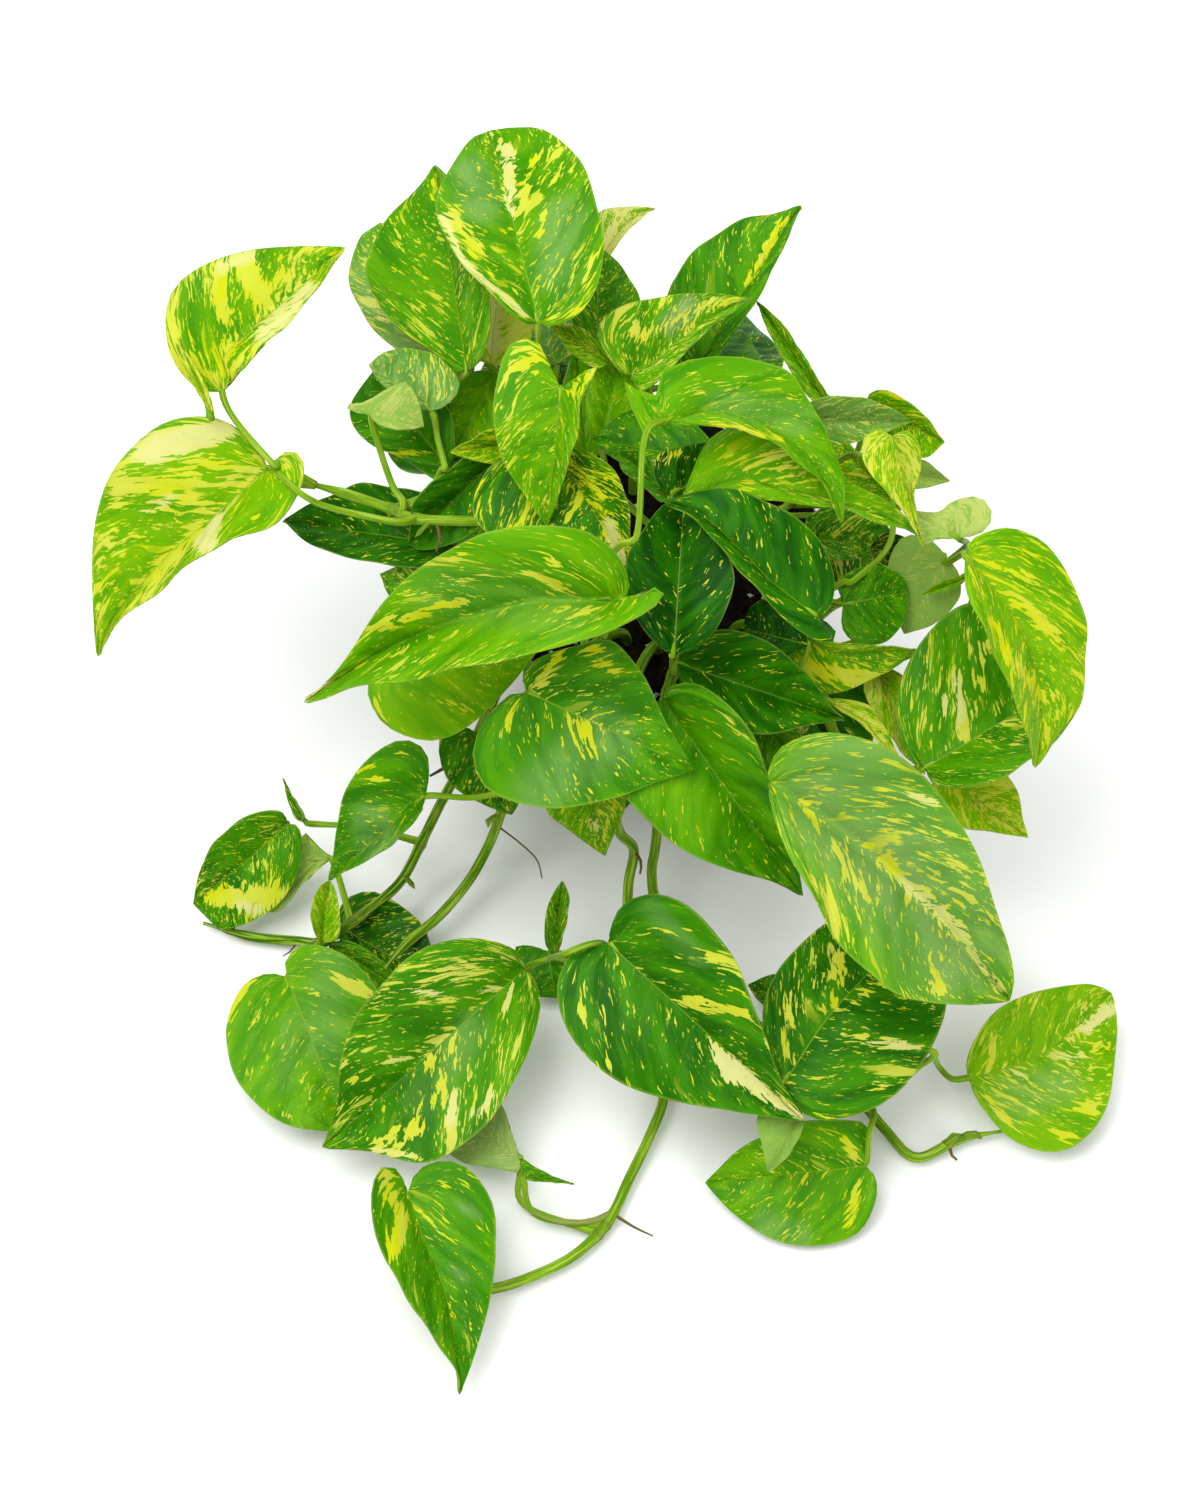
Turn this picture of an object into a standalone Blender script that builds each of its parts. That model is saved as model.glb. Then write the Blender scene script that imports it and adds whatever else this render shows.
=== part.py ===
"""Potted golden pothos: a nursery pot, its soil and one solid for each leafy stem.

Metres, +Z up, with the origin at the middle of the pot's underside. A blade is drawn as the
outline that it shows from the viewing side, in pixels of a 1200 x 1500 frame, and laid on an
arched and folded surface. Blades are placed from the back to the front, each just in front of
what is already there, so that none crosses another. Petioles then find their way to a stem.
"""
import math

import bmesh
import bpy
import numpy as np
from mathutils import Vector
from mathutils.bvhtree import BVHTree

# Pot and soil, in metres
POT_HEIGHT = 0.1035
RIM_RADIUS = 0.066
RIM_DEPTH = 0.012
RIM_STEP = 0.0035
BASE_RADIUS = 0.045
WALL = 0.0016
CHAMFER = 0.001
FLOOR = 0.002
POT_SIDES = 30
DRAIN_HOLES = 6
DRAIN_RADIUS = 0.0035
DRAIN_RING = 0.030
SOIL_TOP = 0.091
SOIL_BUMP = 0.0012
SOIL_RINGS = 4
SOIL_INNER = 0.2
SOIL_SIDES = 20
SOIL_SEED = 5
SEAT_GAP = 0.0003
HOLE_SIDES = 6

# Stems, petioles and blades, in metres
STEM_RADIUS = 0.0021
STEM_END_RADIUS = 0.0013
STEM_SIDES = 6
STEM_STEP = 0.018
PETIOLE_RADIUS = 0.0014
PETIOLE_SIDES = 4
PETIOLE_SEAT = 0.2
LONGEST_SEAT = 0.006
SEAT_DEPTH = 0.00085
HEEL_DEPTH = 0.0012
SEAT_RADIUS = 0.0009
BLADE_THICKNESS = 0.0008
STEM_GAP = 0.0020
HOLE_SLACK = 0.0010
ROOT_END = 0.055
BLADE_GAP = 0.0032
HEEL_ROOM = 0.0050
HEEL_ROOM_SPREAD = 0.012
TABLE_CLEARANCE = 0.0008
LOWEST = 0.0002

# Shape of a blade, as shares of its length
HALF_WIDTH = 0.36
WIDE_LIMIT = 1.08
NARROW_LIMIT = 1.5
ARCH = 0.045
PUFF = 0.018
WAVE = 0.012
WAVE_COUNT = 1.3
VEIN_SWEEP = 0.22
MIDRIB_MARGIN = 0.2
MIDRIB_FREE = (0.08, 0.97)
WIDEST_BETWEEN = (0.05, 0.9)
NARROW_HALF = 0.6

# Points along the drawn lines
EDGE_POINTS = 129
MIDRIB_POINTS = 17
STEM_POINTS = 8
STEM_SPREADS = 12
STEM_SPREAD = 0.98

# Mesh of a blade: least length, rows along it, rows in its lobe, columns to its edge
MESHES = ((0.080, 4, 2, 2), (0.045, 4, 2, 1), (0.0, 3, 1, 1))

# The view that the outlines are drawn in
ELEVATION = math.radians(60)
VIEW_DISTANCE = 1.5
AIM = np.array((-0.021, -0.063, 0.0635))
FOCAL = 3900.0
FRAME = (1200, 1500)
AHEAD = np.array((0.0, math.cos(ELEVATION), -math.sin(ELEVATION)))
RISE = np.array((0.0, math.sin(ELEVATION), math.cos(ELEVATION)))
RIGHT = np.array((1.0, 0.0, 0.0))
EYE = AIM - AHEAD * VIEW_DISTANCE
CELL = 4
SKIN_STEP = 0.0012
SKIN_PAD = 0.0005

# Space in which the petioles look for their way
VOXEL = 0.003
SPACE_LOW = np.array((-0.246, -0.342, 0.0))
SPACE_SIZE = (150, 195, 100)
FILL_STEP = 0.001
CLEARANCE = 0.0037
POT_CLEARANCE = 0.0027
STEM_ROOM = 0.0025
STALK_GAP = 0.0042
STALK_ROOM = 0.0030
STALK_CLEAR = 0.0021
STALK_DRIFTS = (0.0034, 0.0022, 0.0014, 0.0009, 0.0005)
STALK_LIFT = 0.0005
SOFTENINGS = 80
SOFTENING = 0.6
STEM_END_KEPT = 4
ASIDE_PIXELS = 4
START_REACH = 0.0045
OWN_REACH = 0.014
OWN_DEPTH = 0.001
WAY_ROOM = 0.0034
WAY_FALL = 0.004
JOIN_OUT = 0.004
JOIN_UP = 0.006
SHOWN_COST = 4
LONGEST_WAY = 400
STEM_OWNER, POT_OWNER, STALK_OWNER = 800, 900, 1000

# Stems: points in millimetres inside the pot, then frame points with a height in millimetres
STEMS = {
    "vine_left": (
        [(-26, -24, 55), (-26, -24, 94), (-36, -35, 116), (-50, -47, 114)],
        [(463, 763, 60), (443, 799, 45), (425, 835, 29), (404, 877, 16), (382, 899, 11),
         (353, 921, 8), (319, 944, 4), (297, 940, 3.4), (267, 940, 3.2), (240, 934, 3.2),
         (213, 927, 4), (188, 916, 6)]),
    "vine_inner": (
        [(-11, -31, 55), (-11, -31, 94), (-22, -45, 115), (-33, -61, 113)],
        [(500, 814, 52), (486, 853, 34), (448, 909, 14), (425, 927, 8), (398, 952, 4),
         (372, 985, 3.2)]),
    "vine_front": (
        [(1, -36, 55), (1, -36, 94), (-4, -52, 115), (-9, -68, 112)],
        [(616, 821, 62), (635, 849, 45), (632, 872, 33), (625, 900, 22), (632, 940, 10),
         (645, 990, 4.5), (658, 1045, 3.2), (664, 1095, 3.2), (652, 1131, 3.2), (634, 1167, 3.2),
         (613, 1214, 3.2), (580, 1251, 3.2), (550, 1269, 3.2), (496, 1288, 3.2),
         (455, 1290, 3.2), (420, 1280, 3.2)]),
    "vine_right": (
        [(14, -34, 55), (14, -34, 94), (10, -52, 115), (3, -69, 112)],
        [(658, 828, 60), (653, 858, 42), (653, 892, 24), (670, 940, 8), (713, 990, 3.5),
         (765, 1030, 3.2), (815, 1068, 3.2), (855, 1095, 3.2), (879, 1118, 3.2), (893, 1148, 3.2),
         (914, 1158, 3.2), (943, 1146, 3.5), (966, 1137, 5), (1000, 1132, 4), (1022, 1124, 4)]),
    "vine_side": (
        [(30, -28, 55), (30, -28, 94), (43, -38, 114), (57, -47, 112)],
        [(828, 722, 98), (842, 745, 88), (862, 790, 62), (880, 830, 40)]),
    "stem_west": (
        [(-36, 2, 55), (-36, 2, 94), (-44, 2, 116), (-58, 0, 128)],
        [(470, 520, 134), (432, 524, 138), (400, 512, 142), (350, 495, 150), (300, 481, 158),
         (284, 474, 161)]),
    "stem_northwest": ([(-30, 24, 55), (-30, 24, 94), (-34, 30, 118), (-42, 42, 142)], []),
    "stem_north": ([(-8, 38, 55), (-8, 38, 94), (-8, 44, 118), (-10, 54, 142)], []),
    "stem_northeast": ([(20, 34, 55), (20, 34, 94), (26, 40, 116), (36, 50, 136)], []),
    "stem_east": ([(38, 10, 55), (38, 10, 94), (46, 12, 114), (62, 14, 126)], []),
    "stem_middle": ([(-14, 8, 55), (-14, 8, 94), (-16, 8, 120), (-18, 10, 150)], []),
    "stem_centre": ([(16, 12, 55), (16, 12, 94), (17, 12, 116), (20, 12, 140)], []),
}

# Blades that the others hide from the view: name, heel and tip in millimetres
HIDDEN = (
    ("behind_north", (-5, 72, 122), (-8, 120, 82)),
    ("behind_northeast", (24, 72, 122), (33, 128, 90)),
    ("behind_northwest", (-40, 62, 122), (-50, 122, 88)),
    ("behind_west", (-68, 40, 112), (-94, 108, 78)),
    ("behind_high", (-38, 64, 140), (-48, 112, 112)),
    ("behind_east", (20, 58, 142), (28, 102, 120)),
    ("under_east", (64, 14, 110), (104, 0, 70)),
    ("under_southeast", (50, -50, 104), (80, -92, 56)),
    ("under_southwest", (-60, -26, 104), (-98, -50, 66)),
    ("under_west", (-66, 14, 106), (-104, 24, 72)),
    ("under_south", (-18, -76, 96), (-24, -104, 64)),
    ("under_south_right", (22, -62, 102), (34, -100, 60)),
)

# Outline of a hidden blade from heel to tip: share along it and share off its midrib
HEART = ((-0.07, 0.13), (0.0, 0.28), (0.14, 0.37), (0.34, 0.37), (0.55, 0.29), (0.76, 0.16),
         (0.9, 0.06))

# Blades from the back to the front: name, heights of heel and tip in millimetres, heel, tip,
# one edge and the other edge from heel to tip, in frame points, and what is special to it.
# A row that only names a stem sets where that stem lies between the blades.
LAYERS = (
    ("flat_dark", 3, 2.5, (345, 930), (440, 985), [(338, 915), (348, 898), (372, 891), (400, 905),
     (425, 930)], [(338, 950), (360, 975), (400, 990)], {"stem": "vine_left"}),
    ("flat_streaked", 4, 3, (330, 945), (420, 1000), [(345, 940), (375, 955), (395, 975)],
     [(330, 965), (360, 990)], {"stem": "vine_left"}),
    ("vine_left",),
    ("vine_inner",),
    ("vine_front",),
    ("vine_right",),
    ("vine_side",),
    ("trail_corner", 16, 12, (790, 1010), (748, 985), [(780, 976), (765, 977)],
     [(775, 1012), (758, 1000)], {"stem": "vine_right"}),
    ("trail_bottom", 14, 7, (866, 1166), (705, 1183), [(868, 1150), (869, 1130), (858, 1121),
     (806, 1121), (770, 1133), (736, 1152)], [(872, 1172), (877, 1190), (868, 1220), (850, 1238),
     (815, 1246), (775, 1240), (735, 1215)], {"stem": "vine_right", "ways": [(869, 1135),
      (874, 1112)]}),
    ("trail_lower_tip", 14, 12, (800, 1112), (768, 1172), [(775, 1112), (757, 1118),
     (762, 1145)], [(803, 1125), (795, 1145), (782, 1162)], {"stem": "vine_right"}),
    ("trail_dark", 20, 32, (784, 1083), (905, 935), [(770, 1060), (762, 1015), (775, 975),
     (800, 945), (830, 922), (865, 925)], [(795, 1105), (820, 1120), (870, 1110), (905, 1085),
     (930, 1050), (946, 1005), (935, 960)], {"stem": "vine_right", "mid": [(830, 1015)]}),
    ("trail_right", 18, 22, (969, 1079), (1112, 993), [(967, 1060), (980, 1030), (1000, 1008),
     (1035, 992), (1082, 984), (1100, 987)], [(975, 1095), (985, 1112), (1010, 1138),
     (1045, 1152), (1075, 1146), (1103, 1115), (1113, 1075), (1117, 1030)],
     {"stem": "vine_right", "mid": [(1040, 1055)], "ways": [(952, 1079), (940, 1068),
      (932, 1051)]}),
    ("trail_olive", 14, 8, (548, 952), (556, 998), [(530, 946), (515, 948), (520, 975),
     (535, 995)], [(560, 955), (566, 975), (563, 990)], {"stem": "vine_front"}),
    ("trail_narrow", 14, 42, (555, 958), (562, 881), [(545, 940), (548, 905)],
     [(562, 940), (569, 905), (567, 890)], {"stem": "vine_front"}),
    ("trail_hidden_pale", 18, 12, (520, 1160), (455, 1110), [(512, 1135), (500, 1103),
     (472, 1090)], [(519, 1172), (490, 1167), (462, 1162), (440, 1140)],
     {"stem": "vine_front", "ways": [(521, 1180), (522, 1203), (534, 1216), (572, 1222)]}),
    ("trail_small_dark", 14, 10, (524, 1176), (575, 1184), [(520, 1158), (535, 1167),
     (555, 1177)], [(532, 1181), (550, 1182)],
     {"stem": "vine_front", "ways": [(524, 1203), (536, 1215), (574, 1221)]}),
    ("trail_spike", 28, 30, (305, 822), (283, 778), [(296, 818), (288, 800)],
     [(303, 812), (292, 795)], {"stem": "vine_left", "ways": [(316, 824)]}),
    ("trail_pale", 24, 12, (331, 858), (262, 912), [(315, 850), (303, 832), (298, 850),
     (282, 890)], [(318, 868), (300, 887), (280, 910)], {"stem": "vine_left"}),
    ("trail_yellow_tip", 34, 12, (288, 824), (193, 904), [(282, 812), (265, 811), (240, 820),
     (215, 842), (200, 870)], [(298, 826), (302, 845), (296, 875), (280, 902), (250, 922),
     (215, 929), (202, 920)], {"stem": "vine_left", "mid": [(245, 862)]}),
    ("trail_bud_leaf", 6, 20, (322, 943), (330, 880), [(313, 930), (312, 905), (320, 887)],
     [(338, 938), (340, 915), (335, 890)], {"stem": "vine_left"}),
    ("trail_light", 26, 10, (287, 977), (348, 1133), [(268, 974), (245, 984), (230, 1010),
     (226, 1040), (240, 1085), (285, 1124)], [(286, 960), (300, 947), (325, 947), (355, 963),
     (380, 995), (385, 1050), (370, 1100)], {"stem": "vine_left"}),
    ("trail_streaked", 42, 20, (524, 970), (322, 1147), [(521, 955), (500, 943), (465, 938),
     (420, 950), (385, 980), (355, 1020), (340, 1060), (336, 1110)], [(532, 975), (540, 1000),
     (532, 1040), (515, 1080), (490, 1120), (455, 1150), (420, 1163), (370, 1152)],
     {"stem": "vine_front", "mid": [(450, 1035), (380, 1098)],
      "ways": [(545, 960), (566, 953), (590, 944)]}),
    ("trail_front", 46, 20, (609, 944), (804, 1121), [(612, 925), (620, 908), (640, 896),
     (665, 895), (695, 910), (725, 945), (752, 1000), (775, 1065), (792, 1102)], [(595, 946),
     (572, 955), (558, 985), (565, 1025), (590, 1060), (625, 1085), (670, 1100), (750, 1114)],
     {"stem": "vine_right"}),
    ("trail_end", 30, 8, (408, 1192), (460, 1395), [(402, 1180), (392, 1168), (380, 1168),
     (373, 1185), (373, 1210), (381, 1246), (408, 1300), (450, 1361)], [(415, 1175), (430, 1163),
     (455, 1162), (475, 1175), (493, 1205), (496, 1240), (492, 1290), (478, 1345)],
     {"stem": "vine_front", "mid": [(422, 1233), (446, 1295)]}),
    ("trail_upper", 60, 22, (425, 797), (328, 880), [(428, 780), (428, 757), (415, 742),
     (393, 742), (362, 765), (342, 800), (335, 845)], [(420, 812), (400, 838), (365, 862)],
     {"stem": "vine_inner", "ways": [(450, 801), (478, 797)]}),
    ("stem_northwest",),
    ("stem_north",),
    ("stem_northeast",),
    ("stem_east",),
    ("stem_middle",),
    ("stem_centre",),
    ("front_speckled", 70, 45, (480, 735), (512, 815), [(460, 725), (441, 735), (440, 760),
     (452, 785), (480, 803)], [(505, 735), (520, 770), (520, 800)], {}),
    ("front_tip", 80, 50, (590, 770), (605, 856), [(560, 775), (546, 808), (577, 836)],
     [(620, 775), (626, 803), (614, 835)], {}),
    ("shade_right", 100, 85, (745, 700), (800, 770), [(770, 700), (797, 725), (802, 750)],
     [(740, 730), (765, 765)], {}),
    ("lime_strip", 105, 90, (880, 672), (925, 775), [(868, 675), (864, 690), (880, 722),
     (905, 755)], [(895, 670), (915, 690), (930, 730)], {}),
    ("folded_bit", 100, 85, (828, 700), (899, 757), [(845, 699), (868, 706), (885, 728)],
     [(842, 712), (862, 724), (880, 744)], {}),
    ("lime_below", 85, 70, (938, 770), (1028, 838), [(955, 760), (995, 765), (1017, 790),
     (1023, 820)], [(930, 795), (940, 815), (965, 828), (1000, 833)], {}),
    ("right_mid", 116, 114, (905, 500), (836, 428), [(885, 478), (855, 450)], [(892, 520),
     (850, 505), (830, 470)], {}),
    ("right_tip", 130, 125, (890, 470), (950, 481), [(900, 458), (925, 461)],
     [(900, 488), (925, 488)], {"ways": [(891, 540), (853, 581)]}),
    ("edge_on", 140, 150, (828, 405), (756, 301), [(825, 390), (805, 358), (783, 324)],
     [(812, 400), (790, 370), (770, 335)], {}),
    ("right_dark", 136, 126, (865, 405), (945, 442), [(872, 392), (890, 392), (920, 411)],
     [(870, 425), (895, 450), (925, 458)], {}),
    ("right_cream", 146, 136, (800, 420), (912, 421), [(810, 402), (845, 396), (885, 405)],
     [(805, 440), (840, 445), (880, 435)], {}),
    ("right_small", 118, 112, (808, 540), (890, 545), [(805, 520), (825, 508), (860, 512),
     (885, 530)], [(815, 555), (840, 560), (870, 556)], {}),
    ("right_lower", 112, 106, (870, 548), (925, 560), [(885, 533), (910, 540)],
     [(880, 562), (905, 569)], {}),
    ("right_pale", 106, 88, (945, 556), (904, 634), [(932, 541), (908, 535), (894, 548),
     (887, 575), (893, 608)], [(959, 575), (958, 600), (934, 624)], {}),
    ("right_slip", 122, 118, (968, 577), (921, 595), [(955, 577), (935, 585)],
     [(958, 586), (938, 593)], {}),
    ("right_round", 128, 124, (844, 604), (909, 592), [(838, 583), (858, 568), (885, 567),
     (902, 577)], [(842, 628), (858, 644), (885, 642), (903, 622)], {}),
    ("small_shade", 130, 128, (430, 585), (380, 574), [(425, 570), (400, 566)],
     [(420, 600), (392, 598)], {}),
    ("long_dark", 122, 102, (455, 545), (282, 521), [(462, 520), (440, 500), (400, 488),
     (360, 485), (315, 502)], [(462, 562), (440, 570), (410, 567), (345, 557), (305, 540)], {}),
    ("under_left", 125, 125, (392, 668), (540, 648), [(375, 672), (367, 690), (385, 725),
     (430, 741), (470, 725), (508, 688)], [(400, 640), (440, 620), (490, 615), (528, 630)], {}),
    ("back_right", 150, 155, (695, 368), (801, 205), [(680, 360), (668, 325), (670, 290),
     (695, 250), (740, 222), (775, 212)], [(708, 372), (722, 350), (745, 318), (765, 285),
     (787, 240)], {}),
    ("back_tip", 150, 150, (585, 285), (655, 208), [(578, 262), (590, 228), (606, 209),
     (630, 207)], [(592, 288), (606, 262), (622, 238), (640, 219)], {}),
    ("back_flecked", 150, 155, (597, 345), (598, 248), [(580, 340), (570, 310), (575, 275)],
     [(612, 348), (634, 330), (640, 300), (625, 272), (608, 253)], {}),
    ("back_grey", 140, 132, (470, 385), (380, 222), [(440, 378), (410, 360), (370, 325),
     (349, 275), (358, 240)], [(475, 360), (460, 320), (430, 270), (400, 235)], {}),
    ("small_olive", 160, 165, (490, 363), (500, 270), [(478, 360), (468, 342), (475, 312),
     (485, 285)], [(505, 366), (528, 345), (533, 318), (520, 288)], {}),
    ("inner_dark", 150, 140, (495, 375), (452, 458), [(480, 370), (462, 380), (449, 415)],
     [(510, 385), (505, 420), (480, 450)], {}),
    ("inner_back", 140, 150, (588, 462), (575, 345), [(568, 445), (560, 400)], [(606, 445),
     (604, 395)], {}),
    ("inner_fold", 155, 165, (603, 442), (624, 345), [(588, 430), (588, 390), (605, 356)],
     [(613, 438), (633, 418), (638, 382)], {}),
    ("small_green", 165, 165, (610, 362), (548, 322), [(600, 345), (580, 328)],
     [(596, 368), (568, 350)], {}),
    ("tall_left", 175, 165, (466, 370), (435, 164), [(455, 372), (430, 350), (400, 330),
     (375, 300), (367, 270), (380, 230), (410, 195)], [(478, 365), (488, 345), (490, 300),
     (485, 255), (470, 205), (450, 178)], {}),
    ("left_dark", 130, 125, (448, 468), (372, 372), [(440, 482), (410, 462), (366, 441),
     (350, 412)], [(455, 450), (448, 410), (420, 382), (395, 372)], {}),
    ("left_grey", 160, 155, (431, 411), (369, 365), [(447, 405), (460, 385), (440, 358),
     (412, 349), (385, 352)], [(418, 408), (395, 395), (378, 380)],
     {"ways": [(438, 440), (445, 468)]}),
    ("left_pale", 160, 158, (370, 415), (424, 427), [(355, 412), (343, 405), (365, 402),
     (385, 390), (405, 383), (418, 400)], [(378, 424), (400, 430)],
     {"stem": "stem_west", "ways": [(369, 436), (378, 460), (391, 482), (404, 503)]}),
    ("olive_dark", 134, 108, (499, 457), (408, 545), [(485, 440), (460, 462), (432, 482),
     (413, 505)], [(520, 470), (500, 510), (460, 540), (425, 550)], {}),
    ("inner_pale", 155, 160, (540, 440), (450, 452), [(535, 425), (510, 425), (485, 432),
     (465, 443)], [(545, 460), (520, 468), (490, 464), (465, 458)], {}),
    ("stem_west",),
    ("far_left_cream", 165, 100, (268, 469), (97, 657), [(252, 440), (215, 418), (165, 422),
     (125, 455), (100, 500), (92, 560), (94, 620)], [(285, 452), (300, 455), (301, 485),
     (275, 525), (225, 542), (165, 585), (115, 628)],
     {"stem": "stem_west", "mid": [(215, 515), (150, 585)],
      "ways": [(300, 493), (322, 505), (365, 516), (400, 522)]}),
    ("far_left_top", 190, 210, (223, 392), (345, 247), [(196, 388), (172, 358), (165, 320),
     (172, 292), (195, 270), (240, 252), (300, 246)], [(236, 372), (262, 346), (290, 322),
     (322, 282)], {"stem": "stem_west", "ways": [(235, 420), (255, 445), (275, 466)]}),
    ("far_left_young", 182, 196, (214, 417), (180, 345), [(200, 396), (186, 368)],
     [(209, 393), (195, 366)], {"stem": "stem_west"}),
    ("inner_low", 128, 124, (722, 462), (592, 440), [(700, 428), (665, 408), (625, 412)],
     [(700, 478), (655, 474), (615, 460)], {}),
    ("inner_fan", 140, 138, (672, 497), (618, 452), [(658, 472), (640, 452)], [(662, 502),
     (640, 484), (622, 470)], {}),
    ("inner_edge", 150, 150, (672, 497), (735, 448), [(655, 480), (658, 455), (690, 445),
     (715, 442)], [(690, 500), (720, 480), (735, 462)], {}),
    ("speckled", 150, 134, (550, 440), (626, 566), [(530, 445), (495, 462), (476, 490),
     (474, 520), (510, 545), (570, 560)], [(570, 448), (600, 458), (620, 480), (630, 520),
     (631, 550)], {}),
    ("tall_front", 200, 205, (539, 323), (490, 130), [(525, 322), (500, 305), (462, 262),
     (440, 225), (436, 200), (450, 168), (470, 140)], [(552, 326), (578, 315), (597, 285),
     (604, 245), (598, 210), (580, 160), (545, 131), (510, 128)], {"ways": [(541, 338)]}),
    ("lime_centre", 196, 160, (561, 389), (547, 527), [(550, 370), (540, 345), (524, 338),
     (507, 348), (497, 380), (493, 415), (503, 460), (530, 503)], [(573, 384), (588, 370),
     (598, 366), (590, 384), (580, 404), (578, 430), (562, 485)], {}),
    ("low_yellow", 108, 100, (772, 632), (918, 650), [(785, 622), (812, 630), (840, 643),
     (880, 645)], [(770, 655), (792, 681), (820, 694), (855, 687), (885, 672), (905, 660)], {}),
    ("centre_dark", 106, 108, (808, 645), (742, 628), [(795, 612), (770, 598), (750, 608)],
     [(790, 655), (765, 655), (748, 643)], {}),
    ("low_right", 110, 95, (678, 663), (846, 720), [(685, 645), (720, 630), (765, 640),
     (805, 672), (828, 702)], [(682, 690), (705, 715), (740, 733), (775, 733), (815, 724)], {}),
    ("deep_centre", 118, 136, (674, 655), (684, 497), [(657, 645), (638, 620), (626, 588),
     (628, 555), (645, 527), (663, 505)], [(690, 650), (715, 630), (730, 600), (734, 572),
     (722, 543), (703, 515)], {}),
    ("yellow_right", 150, 125, (684, 495), (922, 536), [(694, 470), (712, 438), (760, 422),
     (805, 440), (848, 480), (895, 506)], [(710, 498), (742, 493), (770, 500), (820, 506),
     (880, 521)], {}),
    ("right_streaked", 100, 110, (925, 768), (1084, 672), [(912, 760), (898, 720), (905, 670),
     (940, 620), (975, 602), (1030, 610), (1070, 640)], [(935, 785), (965, 788), (1012, 772),
     (1060, 735), (1082, 700)], {}),
    ("dark_folded", 125, 150, (816, 616), (664, 501), [(828, 612), (834, 580), (815, 535),
     (770, 503), (720, 488)], [(834, 628), (837, 640), (818, 640), (780, 615), (740, 570),
     (700, 525)], {}),
    ("right_curl", 146, 140, (958, 538), (908, 510), [(977, 535), (989, 526), (992, 512),
     (983, 499), (968, 497), (950, 503), (938, 512)], [(944, 538), (931, 540), (923, 547),
     (916, 530)], {"ways": [(963, 549, 144), (936, 567, 132), (908, 587, 119)]}),
    ("right_rolled", 158, 134, (892, 437), (923, 548), [(878, 429), (865, 436), (862, 455),
     (870, 473), (887, 493), (907, 517)], [(904, 430), (917, 440), (921, 462), (916, 487),
     (914, 505), (921, 530)], {}),
    ("far_right_lime", 150, 85, (966, 556), (1036, 768), [(968, 545), (980, 535), (1010, 528),
     (1045, 545), (1075, 590), (1087, 635), (1079, 700), (1055, 742)], [(966, 578), (975, 612),
     (1000, 665), (1022, 722)], {"mid": [(1020, 625), (1042, 700)],
      "ways": [(959, 556, 148), (934, 573, 134), (905, 592, 118)]}),
    ("top_right", 175, 170, (632, 376), (752, 299), [(620, 372), (607, 355), (598, 335),
     (604, 318), (625, 305), (660, 297), (710, 293)], [(640, 392), (655, 385), (680, 358),
     (720, 320)], {}),
    ("big_right", 190, 150, (668, 421), (843, 524), [(641, 433), (631, 408), (623, 375),
     (641, 395), (655, 400), (656, 385), (668, 366), (720, 355), (765, 361), (795, 380),
     (825, 430), (843, 480)], [(680, 426), (720, 425), (762, 438), (800, 462), (825, 490)],
     {"mid": [(725, 412), (785, 443)], "ways": [(645, 435), (636, 456), (634, 500), (637, 535)]}),
    ("front_lower", 105, 50, (662, 700), (803, 896), [(668, 688), (700, 685), (740, 715),
     (765, 765), (785, 830), (797, 872)], [(645, 708), (620, 740), (615, 780), (632, 805),
     (680, 848), (730, 870), (770, 881)], {}),
    ("front_middle", 140, 115, (528, 692), (694, 770), [(522, 672), (545, 655), (580, 645),
     (610, 640), (640, 670), (665, 720)], [(510, 695), (485, 720), (473, 755), (488, 790),
     (545, 808), (610, 799), (660, 781)], {}),
    ("long_streaked", 165, 125, (612, 601), (303, 702), [(624, 600), (629, 580), (612, 548),
     (575, 529), (510, 528), (450, 548), (385, 600), (345, 660)], [(640, 598), (664, 586),
     (655, 603), (625, 622), (590, 638), (520, 657), (400, 680), (345, 692)],
     {"mid": [(530, 601), (400, 642)]}),
    ("front_big", 85, 30, (769, 783), (1010, 1001), [(770, 765), (785, 745), (830, 732),
     (890, 748), (940, 795), (975, 850), (997, 910), (1013, 975)], [(770, 800), (776, 822),
     (800, 875), (835, 935), (885, 988), (925, 1001), (970, 1005)],
     {"stem": "vine_side", "mid": [(840, 830), (925, 905)],
      "ways": [(792, 800, 132), (802, 788, 112)]}),
)


def along_curve(points, count):
    """Points evenly spaced along a smooth curve through the given points."""
    points = np.asarray(points, float)
    steps = np.linalg.norm(np.diff(points, axis=0), axis=1) ** 0.5
    knots = np.concatenate(([0], np.cumsum(steps)))
    slopes = np.empty_like(points)
    span = (knots[2:] - knots[:-2])[:, None]
    slopes[1:-1] = (points[2:] - points[:-2]) / span
    slopes[0] = (points[1] - points[0]) / steps[0]
    slopes[-1] = (points[-1] - points[-2]) / steps[-1]
    at = np.linspace(0, knots[-1], 16 * len(points) + 1)
    piece = np.clip(np.searchsorted(knots, at, side="right") - 1, 0, len(points) - 2)
    width = steps[piece][:, None]
    share = ((at - knots[piece]) / steps[piece])[:, None]
    fine = (points[piece] * (1 + 2 * share) * (1 - share) ** 2
            + slopes[piece] * width * share * (1 - share) ** 2
            + points[piece + 1] * share ** 2 * (3 - 2 * share)
            + slopes[piece + 1] * width * share ** 2 * (share - 1))
    length = np.concatenate(([0], np.cumsum(np.linalg.norm(np.diff(fine, axis=0), axis=1))))
    wanted = np.linspace(0, length[-1], count)
    return np.stack([np.interp(wanted, length, fine[:, k]) for k in range(points.shape[1])], -1)


def sight(pixels):
    """Sight lines through pixels, each one metre deep."""
    across = (pixels[..., 0:1] - FRAME[0] / 2) / FOCAL
    down = (pixels[..., 1:2] - FRAME[1] / 2) / FOCAL
    return AHEAD + across * RIGHT - down * RISE


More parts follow.
